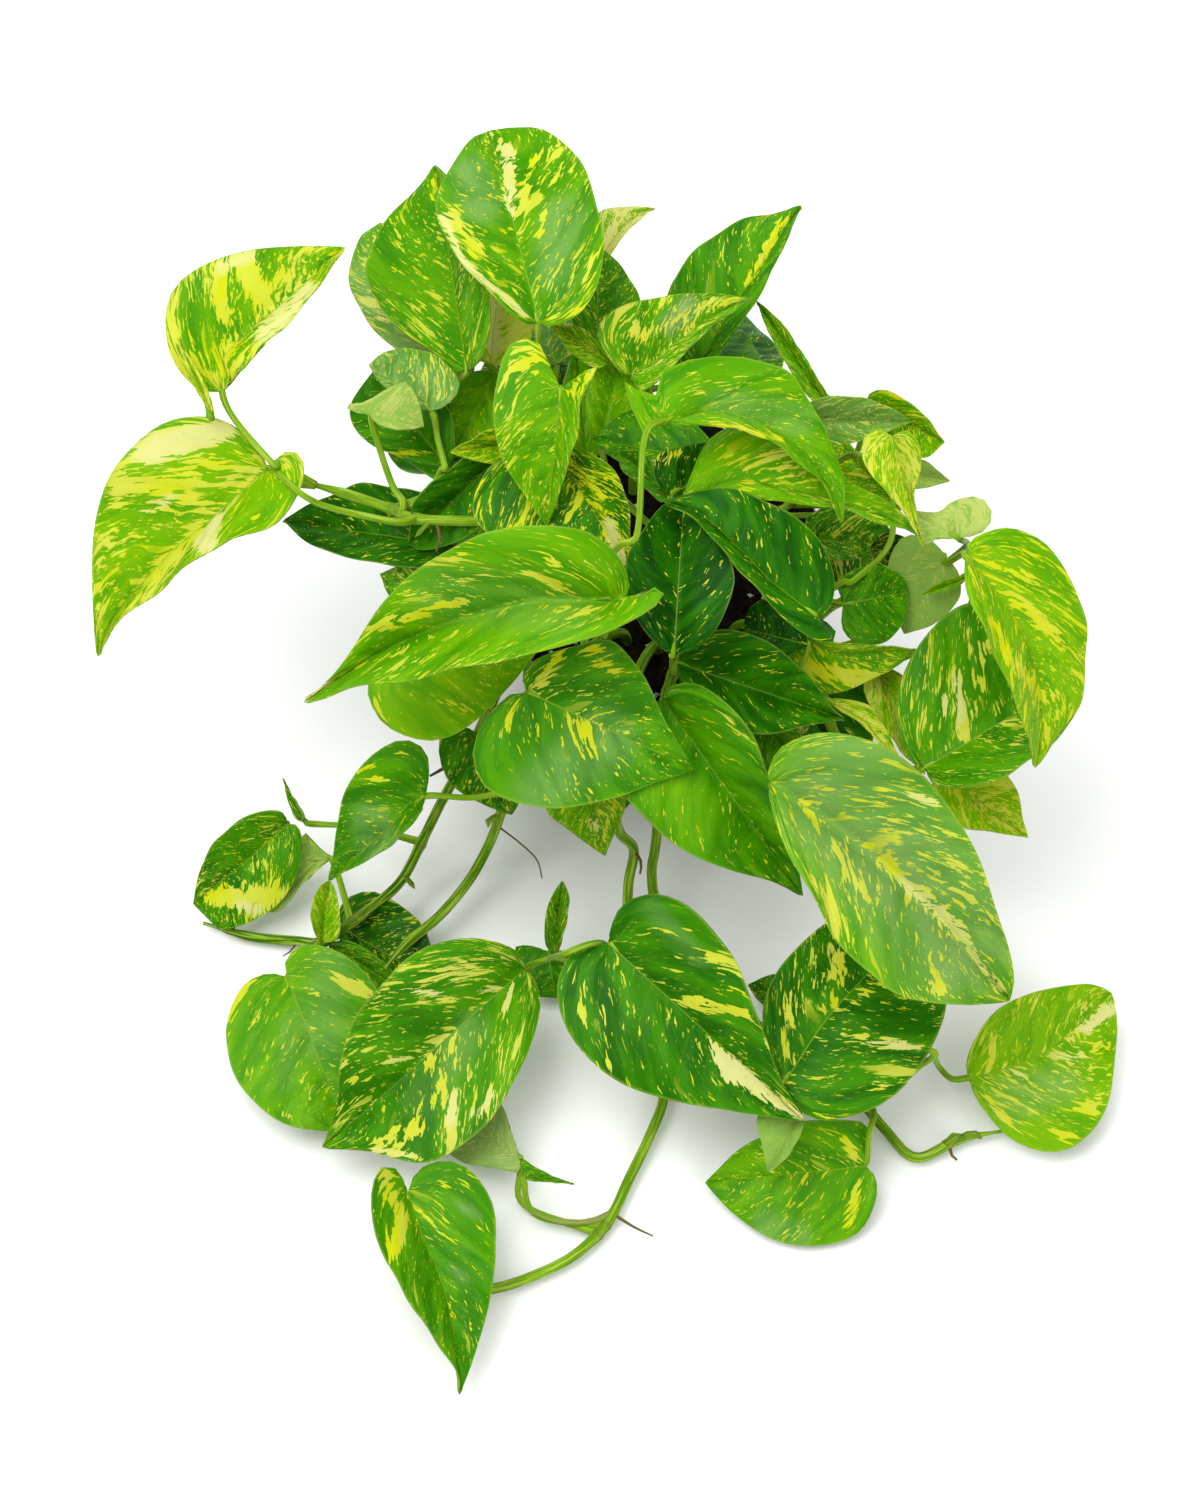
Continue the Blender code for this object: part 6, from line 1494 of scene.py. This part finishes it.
class Nodes:
    """Short ways to build a material's node tree."""

    # Spread of the noise texture's values and its roughness, for each number of octaves, and how
    # many spreads are evened out
    NOISES = ((0.125, 0.5), (0.093, 0.5), (0.082, 0.5), (0.071, 0.6))
    EVENED = 2.2

    # Places of a mix node's two colours and of its result
    MIXED = (6, 7)
    RESULT = 2

    def __init__(self, name):
        self.material = bpy.data.materials.new(name)
        self.material.use_nodes = True
        self.tree = self.material.node_tree
        self.shader = self.tree.nodes["Principled BSDF"]

    def new(self, kind, *values, **settings):
        node = self.tree.nodes.new("ShaderNode" + kind)
        for key, value in settings.items():
            setattr(node, key, value)
        for socket, value in zip(node.inputs, values):
            self.put(socket, value)
        return node

    def put(self, socket, value):
        """Link a socket to a node or socket, or set its value."""
        if value is None:
            return
        if isinstance(value, bpy.types.NodeSocket):
            self.tree.links.new(value, socket)
        elif isinstance(value, bpy.types.Node):
            self.tree.links.new(value.outputs[0], socket)
        else:
            socket.default_value = value

    def math(self, operation, *values):
        return self.new("Math", *values, operation=operation).outputs[0]

    def times(self, one, other):
        return self.math("MULTIPLY", one, other)

    def less(self, one, other):
        return self.math("SUBTRACT", one, other)

    def add(self, *values):
        """Sum of values, each of which may be a pair to multiply first."""
        total = None
        for value in values:
            if isinstance(value, tuple):
                value = self.times(*value)
            total = value if total is None else self.math("ADD", total, value)
        return total

    def mix(self, share, one, two):
        """Colour between two colours."""
        node = self.new("Mix", data_type="RGBA")
        self.put(node.inputs["Factor"], share)
        for place, value in zip(self.MIXED, (one, two)):
            self.put(node.inputs[place], (*value, 1) if isinstance(value, tuple) else value)
        return node.outputs[self.RESULT]

    def step(self, value, low, high):
        """Smooth rise from 0 to 1 between two values."""
        node = self.new("MapRange", value, low, high, 0.0, 1.0, interpolation_type="SMOOTHSTEP")
        return node.outputs[0]

    def noise(self, vector, scale, detail, roughness):
        node = self.new("TexNoise")
        self.put(node.inputs["Vector"], vector)
        node.inputs["Scale"].default_value = scale
        node.inputs["Detail"].default_value = detail
        node.inputs["Roughness"].default_value = roughness
        return node.outputs[0]

    def even(self, detail, *vector):
        """Noise whose values lie evenly between 0 and 1."""
        spread, roughness = self.NOISES[detail]
        reach = self.EVENED * spread
        value = self.noise(self.vector(*vector), 1.0, detail, roughness)
        return self.step(value, 0.5 - reach, 0.5 + reach)

    def cover(self, value, share, soft):
        """Mask that covers a share of the surface, where an even value is highest."""
        return self.step(self.math("ADD", value, share), 1.0, 1.0 + soft)

    def vector(self, x, y, z):
        return self.new("CombineXYZ", x, y, z).outputs[0]

    def attribute(self, name, output="Fac"):
        return self.new("Attribute", attribute_name=name).outputs[output]

    def where(self):
        return self.new("TexCoord").outputs["Object"]

    def finish(self, colour, roughness, height=None, bump=None, gloss=None):
        """Set the shader; a bump is its strength and its distance in metres."""
        self.put(self.shader.inputs["Base Color"], colour)
        self.put(self.shader.inputs["Roughness"], roughness)
        if gloss is not None:
            self.shader.inputs["Specular IOR Level"].default_value = gloss
        if height is not None:
            node = self.new("Bump")
            node.inputs["Strength"].default_value, node.inputs["Distance"].default_value = bump
            self.put(node.inputs["Height"], height)
            self.put(self.shader.inputs["Normal"], node)
        return self.material


# Colours of a leaf: its greens from dark to lime, its marks, painted grey sheen, veins, midrib, painted
# rim highlight and underside
GREENS = ((0.0, (0.0035, 0.052, 0.0004)), (0.25, (0.014, 0.112, 0.0005)),
          (0.5, (0.040, 0.205, 0.0006)), (0.75, (0.088, 0.290, 0.0007)),
          (1.0, (0.155, 0.370, 0.0008)))
LIME = (0.24, 0.37, 0.001)
YELLOW = (0.50, 0.54, 0.006)
CREAM = (0.58, 0.57, 0.22)
# Painted grey sheen: the lights' soft reflection on the waxy blades, laid into the colour
PAINTED_SHEEN = (0.19, 0.32, 0.10)
VEIN_PALE = (0.16, 0.29, 0.012)
RIB_PALE = (0.20, 0.33, 0.020)
RIM_HIGHLIGHT = (0.27, 0.38, 0.04)
UNDER_PALE = (0.25, 0.37, 0.09)

# Patterns of a leaf: octaves of noise, how fine across the veins and how fine along them, and a
# shift that sets it apart
PATTERNS = (
    (1, 4.0, 1.4, 0.0),  # clusters of marks
    (3, 30.0, 4.2, 11.0),  # streaks
    (2, 75.0, 10.0, 23.0),  # specks
    (2, 13.0, 1.7, 37.0),  # patches
    (1, 7.0, 1.2, 41.0),  # clouds in the green
)

# Where the patterns run: shifts for each leaf and each half of it, how they bend, and their slant
LEAF_SHIFT = 61.0
HALF_SHIFT = 7.3
BEND_SCALES = (5.0, 2.5)
BEND = 0.03
SLANT = -0.20

# How far the marks cover a leaf for its share of yellow, and how strongly they show
CLUSTERED = (1.5, 0.25)
RAGGED = (0.20, -0.10)
FLECKS = 0.62
STROKES = 1.05
DOTS = 0.60
FIELDS = 0.38
MARK_SOFT = 0.05
DOT_STRENGTH = 0.85
MARK_STRENGTH = 0.94
WARM = (0.25, -0.25)

# Lime haze round the marks, from the clustered yellow, the leaf's yellow and the strokes
HAZES = (1.5, 0.3, 0.9)
HAZE_SOFT = 0.5
HAZE_STRENGTH = 0.55

# How the green changes over a leaf, and how strongly the painted grey sheen shows
CLOUD_DEPTH = 0.26
SECTOR_EDGES = (0.46, 0.54)
SECTOR_DEPTH = 0.08
PAINTED_SHEEN_STRENGTH = (0.8, 0.6)

# Veins, midrib and rim: where their colour starts and ends, and how strongly it shows; the pale rim is a
# painted highlight along the blade's edge
VEIN_EDGES = (0.01, 0.085)
VEIN_FADE = (1.0, 0.25)
VEIN_STRENGTH = (0.18, 0.02)
RIB_TAPER = 1.12
RIB_EDGES = (0.22, 0.60)
RIB_STRENGTH = 0.55
RIM_HIGHLIGHT_EDGES = (0.965, 0.995)
RIM_HIGHLIGHT_STRENGTH = 0.35
UNDER_STRENGTH = 0.60

# Surface of a leaf: gloss, grain (scale, octaves and roughness of its noise), how much the veins,
# the grain and the specks rise, strength and distance of the bump, and roughness: change, least
LEAF_GLOSS = 0.05
LEAF_GRAIN = (1100.0, 2.0, 0.55)
LEAF_RELIEF = (-0.4, 0.25, 0.15)
LEAF_BUMP = (0.30, 0.0004)
LEAF_ROUGHNESS = (0.14, 0.30)
UNDER_ROUGHNESS = (0.10, 0.52)


def ramp(nodes, share, stops):
    """Colour of a share, along a row of stops."""
    node = nodes.new("ValToRGB", share)
    while len(node.color_ramp.elements) < len(stops):
        node.color_ramp.elements.new(0.5)
    for element, (place, colour) in zip(node.color_ramp.elements, stops):
        element.position = place
        element.color = (*colour, 1)
    return node.outputs[0]


def leaf_material(name, under):
    """Waxy green with veins, and yellow streaks and specks that run along them."""
    nodes = Nodes(name)
    vein, side, off = nodes.new("SeparateXYZ", nodes.attribute("place", "Vector")).outputs
    lime, yellow, cream = nodes.new("SeparateColor", nodes.attribute("tone", "Color")).outputs
    share = nodes.math("ABSOLUTE", side)
    own = nodes.add((nodes.attribute("tone", "Alpha"), LEAF_SHIFT),
                    (nodes.math("SIGN", side), HALF_SHIFT))
    bends = [nodes.times(value, scale) for value, scale in zip((vein, side), BEND_SCALES)]
    across = nodes.add(vein, (nodes.even(1, *bends, own), BEND), (share, SLANT))
    clusters, streaks, specks, patches, clouds = (
        nodes.even(detail, nodes.times(across, fine), nodes.times(side, long),
                   nodes.math("ADD", own, shift))
        for detail, fine, long, shift in PATTERNS)

    # Yellow marks
    mark = nodes.attribute("mark")
    local = nodes.times(yellow, nodes.add((clusters, CLUSTERED[0]), CLUSTERED[1]))
    ragged = nodes.add(streaks, (specks, RAGGED[0]), RAGGED[1])
    flecks = nodes.cover(ragged, nodes.add((local, FLECKS), (mark, STROKES)), MARK_SOFT)
    dots = nodes.cover(specks, nodes.times(local, DOTS), MARK_SOFT)
    fields = nodes.cover(patches, nodes.times(local, FIELDS), MARK_SOFT)
    marks = nodes.math("MAXIMUM", nodes.math("MAXIMUM", flecks, fields),
                       nodes.times(dots, DOT_STRENGTH))

    # Green, with its haze, veins and painted grey sheen
    depth = nodes.add(lime, (nodes.less(clouds, 0.5), CLOUD_DEPTH),
                      (nodes.less(nodes.step(patches, *SECTOR_EDGES), 0.5), SECTOR_DEPTH))
    green = ramp(nodes, depth, GREENS)
    haze = nodes.cover(streaks, nodes.add(*zip((local, yellow, mark), HAZES)), HAZE_SOFT)
    green = nodes.mix(nodes.times(haze, HAZE_STRENGTH), green, LIME)
    apart = nodes.math("PINGPONG", nodes.times(vein, float(VEINS)), 0.5)
    line = nodes.times(nodes.less(1.0, nodes.step(apart, *VEIN_EDGES)),
                       nodes.step(share, *VEIN_FADE))
    pale = nodes.times(line, nodes.add((lime, VEIN_STRENGTH[0]), VEIN_STRENGTH[1]))
    green = nodes.mix(pale, green, VEIN_PALE)
    painted_sheen = nodes.add((clouds, PAINTED_SHEEN_STRENGTH[0]), PAINTED_SHEEN_STRENGTH[1])
    green = nodes.mix(nodes.times(nodes.attribute("painted_sheen"), painted_sheen), green, PAINTED_SHEEN)

    # Marks, midrib and the painted rim highlight over the green
    warm = nodes.add(cream, (clusters, WARM[0]), WARM[1])
    colour = nodes.mix(nodes.times(marks, MARK_STRENGTH), green, nodes.mix(warm, YELLOW, CREAM))
    away = nodes.math("DIVIDE", nodes.math("ABSOLUTE", off), nodes.less(RIB_TAPER, vein))
    rib = nodes.less(1.0, nodes.step(away, *RIB_EDGES))
    colour = nodes.mix(nodes.times(rib, RIB_STRENGTH), colour, RIB_PALE)
    # Pale rim: painted highlight along the blade's edge
    rim = nodes.step(share, *RIM_HIGHLIGHT_EDGES)
    colour = nodes.mix(nodes.times(rim, RIM_HIGHLIGHT_STRENGTH), colour, RIM_HIGHLIGHT)
    if under:
        colour = nodes.mix(UNDER_STRENGTH, colour, UNDER_PALE)

    grain = nodes.noise(nodes.where(), *LEAF_GRAIN)
    height = nodes.add(*zip((line, grain, specks), LEAF_RELIEF))
    roughness = nodes.math("MULTIPLY_ADD", grain, *(UNDER_ROUGHNESS if under else LEAF_ROUGHNESS))
    return nodes.finish(colour, roughness, height, LEAF_BUMP, LEAF_GLOSS)


# Colours of the stalks, from dark to pale, and of their joints, roots and buds
STALK_DARK = (0.030, 0.120, 0.002)
STALK_LIME = (0.165, 0.335, 0.005)
STALK_LIGHT = (0.26, 0.42, 0.025)
STALK_PALE = (0.46, 0.54, 0.13)
BROWN = (0.085, 0.048, 0.018)
BUD_PALE = (0.26, 0.28, 0.08)

# Streaks of a stalk: how fine round it and along it, a shift for each stalk, the noise's octaves
# and roughness, and the values between which each lighter colour sets in
STREAK_TURNS = 2.2
STREAK_RUN = 0.05
STREAK_SHIFT = 40.0
STREAK_NOISE = (1.0, 3.0, 0.6)
LIGHT_EDGES = (0.44, 0.60)
PALE_EDGES = (0.58, 0.68)
PALE_LEAST = 0.2
RING_EDGES = (0.55, 0.95)
RING_STRENGTH = 0.45
STALK_ROUGHNESS = (0.15, 0.34)
STALK_BUMP = (0.3, 0.0006)


def stalk_material():
    """Lime stalks with paler lengthwise streaks and browner joints and roots."""
    nodes = Nodes("pothos_stalk")
    along, round_it, joint = nodes.new("SeparateXYZ", nodes.attribute("place", "Vector")).outputs
    lime, brown, pale = nodes.new("SeparateColor", nodes.attribute("tone", "Color")).outputs
    turn = nodes.times(round_it, 2 * math.pi)
    vector = nodes.vector(
        nodes.times(nodes.math("COSINE", turn), STREAK_TURNS),
        nodes.times(nodes.math("SINE", turn), STREAK_TURNS),
        nodes.add((along, STREAK_RUN), (nodes.attribute("tone", "Alpha"), STREAK_SHIFT)))
    streak = nodes.noise(vector, *STREAK_NOISE)
    green = nodes.mix(lime, STALK_DARK, STALK_LIME)
    green = nodes.mix(nodes.step(streak, *LIGHT_EDGES), green, STALK_LIGHT)
    light = nodes.times(nodes.step(streak, *PALE_EDGES), nodes.math("ADD", pale, PALE_LEAST))
    colour = nodes.mix(light, green, STALK_PALE)
    ring = nodes.times(nodes.step(joint, *RING_EDGES), RING_STRENGTH)
    colour = nodes.mix(nodes.math("MAXIMUM", ring, brown), colour,
                       nodes.mix(pale, BROWN, BUD_PALE))
    roughness = nodes.math("MULTIPLY_ADD", streak, *STALK_ROUGHNESS)
    return nodes.finish(colour, roughness, streak, STALK_BUMP, LEAF_GLOSS)


# Pot plastic: fine grain, and scuffs that lighten and roughen it, given as for a leaf
POT_BLACK = (0.010, 0.010, 0.011)
POT_SCUFFED = (0.032, 0.031, 0.030)
POT_GRAIN = (1400.0, 2.0, 0.55)
POT_SCUFFS = (45.0, 4.0, 0.7)
SCUFF_EDGES = (0.52, 0.75)
POT_ROUGHNESS = (0.22, 0.32)
POT_BUMP = (0.20, 0.0003)


def plastic_material():
    """Black moulded plastic, lightly scuffed."""
    nodes = Nodes("pot_plastic")
    grain = nodes.noise(nodes.where(), *POT_GRAIN)
    scuff = nodes.noise(nodes.where(), *POT_SCUFFS)
    colour = nodes.mix(nodes.step(scuff, *SCUFF_EDGES), POT_BLACK, POT_SCUFFED)
    roughness = nodes.math("MULTIPLY_ADD", scuff, *POT_ROUGHNESS)
    return nodes.finish(colour, roughness, grain, POT_BUMP)


# Compost: clods and crumbs, each with its noise and the values between which it turns lighter
SOIL_DARK = (0.005, 0.003, 0.002)
SOIL_BROWN = (0.024, 0.015, 0.009)
SOIL_CRUMBS = (0.050, 0.032, 0.019)
CLOD_NOISE = (160.0, 6.0, 0.7)
CLOD_EDGES = (0.40, 0.65)
CRUMB_NOISE = (900.0, 4.0, 0.7)
CRUMB_EDGES = (0.60, 0.72)
SOIL_ROUGHNESS = 0.92
SOIL_RELIEF = (0.9, 0.0025)
SOIL_GLOSS = 0.1


def soil_material():
    """Dark crumbly compost."""
    nodes = Nodes("soil_compost")
    clods = nodes.noise(nodes.where(), *CLOD_NOISE)
    crumbs = nodes.noise(nodes.where(), *CRUMB_NOISE)
    colour = nodes.mix(nodes.step(clods, *CLOD_EDGES), SOIL_DARK, SOIL_BROWN)
    colour = nodes.mix(nodes.step(crumbs, *CRUMB_EDGES), colour, SOIL_CRUMBS)
    height = nodes.math("ADD", clods, crumbs)
    return nodes.finish(colour, SOIL_ROUGHNESS, height, SOIL_RELIEF, SOIL_GLOSS)


# Perlite: greyer and whiter grains
PERLITE_GREY = (0.55, 0.53, 0.48)
PERLITE_WHITE = (0.80, 0.79, 0.75)
PERLITE_NOISE = (1500.0, 3.0, 0.55)
PERLITE_EDGES = (0.35, 0.7)
PERLITE_ROUGHNESS = 0.85
PERLITE_BUMP = (0.5, 0.0005)


def perlite_material():
    """Chalky white grains."""
    nodes = Nodes("soil_perlite")
    grain = nodes.noise(nodes.where(), *PERLITE_NOISE)
    colour = nodes.mix(nodes.step(grain, *PERLITE_EDGES), PERLITE_GREY, PERLITE_WHITE)
    return nodes.finish(colour, PERLITE_ROUGHNESS, grain, PERLITE_BUMP)


def mesh_piece(name, points, faces, materials, smooth=True):
    """A piece from points and faces."""
    mesh = bpy.data.meshes.new(name)
    mesh.from_pydata([tuple(p) for p in points], [], faces)
    for material in materials:
        mesh.materials.append(material)
    mesh.polygons.foreach_set("use_smooth", [smooth] * len(faces))
    piece = bpy.data.objects.new(name, mesh)
    bpy.context.scene.collection.objects.link(piece)
    return piece


def make_foliage():
    """One piece for each leafy stem, in place of its CAD node."""
    lines, blades, petioles = arrange()
    materials = [leaf_material("pothos_leaf", False), leaf_material("pothos_underside", True),
                 stalk_material()]
    for number, (name, line) in enumerate(lines.items()):
        build = Build()
        joints = [way[-1] for _, stem, way in petioles if stem == name]
        tone = (DARK_STALKS.get(name, STEM_LIME), 0.0, STEM_PALE, number / len(lines))
        build.stalk(line, stem_radius, tone, joints)
        for index, stem, way in petioles:
            if stem == name:
                own = (PETIOLE_STEP * index) % 1
                lime, pale = (least + more * own for least, more in (PETIOLE_LIME, PETIOLE_PALE))
                build.stalk(way, petiole_radius, (lime, 0.0, pale, own))
                build.blade(blades[index], index)
        for seed, (stem, kind, radii, path) in enumerate(GROWTHS):
            if stem == name:
                add_growth(build, line, kind, radii, path, seed / len(GROWTHS))
        piece = build.finish(name + "_foliage", materials)
        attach(piece, "root")
        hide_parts(name)


# Fine soil: its mesh, the waves that make its top uneven (how many, and how many random numbers
# each draws), and their height and that of its crumbs in metres
SOIL_RINGS = 46
SOIL_TURNS = 150
SOIL_SEED = 11
SOIL_WAVES = (24, 5)
SOIL_WAVE = 0.00028
SOIL_PITCH = 260
SOIL_PHASE = 6
SOIL_CRUMB = 0.0006

# Perlite in it: how many, how far out, how high, their size in metres and how uneven they are
PERLITE_COUNT = 90
PERLITE_SPREAD = 0.97
PERLITE_RISE = 0.0008
PERLITE_SIZES = (0.0007, 0.0017)
PERLITE_UNEVEN = 0.18
PERLITE_CORNERS = ((1, 0, 0), (0, 1, 0), (-1, 0, 0), (0, -1, 0), (0, 0, 0.8), (0, 0, -0.8))


def make_soil():
    """Uneven compost with clods, in place of the plain solid, and perlite in it."""
    rng = np.random.default_rng(SOIL_SEED)
    low = FLOOR + SEAT_GAP
    wide = pot_inner_radius(SOIL_TOP) - 2 * SEAT_GAP
    waves = rng.normal(size=SOIL_WAVES)
    points = []
    for ring in range(SOIL_RINGS):
        for x, y, height in circle(wide * (1 - ring / SOIL_RINGS), SOIL_TOP, SOIL_TURNS):
            lift = sum(size * math.sin(x * SOIL_PITCH * a + y * SOIL_PITCH * b + SOIL_PHASE * shift)
                       for a, b, shift, _, size in waves)
            points.append((x, y, height + SOIL_WAVE * lift + SOIL_CRUMB * rng.random()))
    faces = ring_faces(SOIL_RINGS, SOIL_TURNS)
    points.append((0, 0, SOIL_TOP))
    last = (SOIL_RINGS - 1) * SOIL_TURNS
    start = len(points)
    after = [(turn + 1) % SOIL_TURNS for turn in range(SOIL_TURNS)]
    faces += [(last + turn, last + after[turn], start - 1) for turn in range(SOIL_TURNS)]
    points += circle(pot_inner_radius(low) - 2 * SEAT_GAP, low, SOIL_TURNS)
    faces += [(start + turn, start + after[turn], after[turn], turn) for turn in range(SOIL_TURNS)]
    faces.append(tuple(range(start, start + SOIL_TURNS))[::-1])
    piece = mesh_piece("soil_compost", points, faces, [soil_material()])
    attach(piece, "root")
    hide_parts("soil")
    chips, chip_faces = [], []
    count = len(PERLITE_CORNERS)
    sides = count - 2
    for first in range(0, count * PERLITE_COUNT, count):
        angle = rng.uniform(0, 2 * math.pi)
        radius = wide * PERLITE_SPREAD * math.sqrt(rng.random())
        centre = np.array((radius * math.cos(angle), radius * math.sin(angle),
                           SOIL_TOP + PERLITE_RISE))
        size = rng.uniform(*PERLITE_SIZES)
        corners = rng.normal(size=(count, 3)) * PERLITE_UNEVEN + np.array(PERLITE_CORNERS)
        chips += [tuple(centre + size * corner) for corner in corners]
        top, bottom = first + sides, first + sides + 1
        for k in range(sides):
            one, two = first + k, first + (k + 1) % sides
            chip_faces += [(one, two, top), (two, one, bottom)]
    perlite = mesh_piece("soil_perlite_specks", chips, chip_faces, [perlite_material()], False)
    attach(perlite, "root")


# Fine pot: its mesh, the shallow rings under its rim in metres, and its drain holes
POT_TURNS = 120
WALL_STEPS = 60
WALL_START = 0.03
RING_LEVELS = (0.078, 0.082, 0.086)
RING_DEPTH = 0.00035
RING_REACH = 0.0007
HOLE_TURNS = 24
HOLE_DEPTH = 0.02
SMOOTH_BELOW = math.radians(35)


def along_profile():
    """Section of the pot with its corners rounded and shallow rings under the rim."""
    corners = pot_profile()
    points = [corners[0], corners[1]]
    bottom, top = np.array(corners[1]), np.array(corners[2])
    for share in np.linspace(WALL_START, 1.0, WALL_STEPS):
        radius, height = bottom + (top - bottom) * share
        ring = sum(math.exp(-((height - level) / RING_REACH) ** 2) for level in RING_LEVELS)
        points.append((radius - RING_DEPTH * ring, height))
    return points + corners[3:]


def make_fine_pot():
    """Moulded pot with rounded lips and drain holes, in place of the faceted solid."""
    profile = along_profile()
    points = [point for radius, height in profile for point in circle(radius, height, POT_TURNS)]
    faces = closed_faces(len(profile), POT_TURNS)
    piece = mesh_piece("pot_moulded", points, faces, [plastic_material()])
    cutters = []
    for number in range(DRAIN_HOLES):
        angle = 2 * math.pi * (number + 0.5) / DRAIN_HOLES
        centre = (DRAIN_RING * math.cos(angle), DRAIN_RING * math.sin(angle), FLOOR / 2)
        bpy.ops.mesh.primitive_cylinder_add(radius=DRAIN_RADIUS, depth=HOLE_DEPTH,
                                            vertices=HOLE_TURNS, location=centre)
        cutters.append(bpy.context.object)
    for cutter in cutters:
        hole = piece.modifiers.new("hole", "BOOLEAN")
        hole.operation, hole.object, hole.solver = "DIFFERENCE", cutter, "EXACT"
    graph = bpy.context.evaluated_depsgraph_get()
    mesh = bpy.data.meshes.new_from_object(piece.evaluated_get(graph))
    piece.modifiers.clear()
    piece.data = mesh
    for cutter in cutters:
        bpy.data.objects.remove(cutter)
    mesh.set_sharp_from_angle(angle=SMOOTH_BELOW)
    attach(piece, "root")
    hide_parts("pot")


# Lights: name, place, size in metres and power in watts
LIGHTS = (("key", (-0.7, -0.35, 1.7), 1.2, 24), ("fill", (1.0, -1.1, 1.2), 1.2, 9),
          ("back", (0.25, 1.3, 1.2), 1.0, 9), ("top", (0.0, 0.0, 2.2), 1.4, 12))
LIGHTS_AIM = Vector((0, -0.05, 0.1))
WORLD_STRENGTH = 0.55

# Floor: half its width in metres, and its look
FLOOR_REACH = 6.0
FLOOR_GREY = 0.92
FLOOR_ROUGHNESS = 0.9
FLOOR_GLOSS = 0.1

# Camera: width of its sensor in millimetres, and the nearest thing it shows in metres
SENSOR = 36
NEAREST_SHOWN = 0.05


def turned_to(direction):
    """Rotation of a light or camera that looks in a direction."""
    return direction.to_track_quat("-Z", "Y").to_euler()


def make_stage():
    """Pale floor, soft light and the camera at the photo's angle."""
    scene = bpy.context.scene
    nodes = Nodes("floor_paper")
    nodes.finish((FLOOR_GREY, FLOOR_GREY, FLOOR_GREY, 1), FLOOR_ROUGHNESS, gloss=FLOOR_GLOSS)
    corners = [(x * FLOOR_REACH, y * FLOOR_REACH, 0)
               for x, y in ((-1, -1), (1, -1), (1, 1), (-1, 1))]
    floor = mesh_piece("floor", corners, [(0, 1, 2, 3)], [nodes.material])
    world = bpy.data.worlds.new("studio")
    world.use_nodes = True
    background = world.node_tree.nodes["Background"]
    background.inputs["Color"].default_value = (1, 1, 1, 1)
    background.inputs["Strength"].default_value = WORLD_STRENGTH
    scene.world = world
    for name, place, size, power in LIGHTS:
        light = bpy.data.lights.new(name, "AREA")
        light.size, light.energy = size, power
        lamp = bpy.data.objects.new(name, light)
        lamp.location = place
        lamp.rotation_euler = turned_to(LIGHTS_AIM - lamp.location)
        scene.collection.objects.link(lamp)
    lens = bpy.data.cameras.new("camera")
    lens.sensor_width = SENSOR
    lens.lens = FOCAL / FRAME[1] * lens.sensor_width
    lens.clip_start = NEAREST_SHOWN
    camera = bpy.data.objects.new("camera", lens)
    camera.location = EYE
    camera.rotation_euler = turned_to(Vector(AHEAD))
    scene.collection.objects.link(camera)
    scene.camera = camera
    scene.view_settings.view_transform = "Standard"


make_stage()
make_fine_pot()
make_soil()
make_foliage()
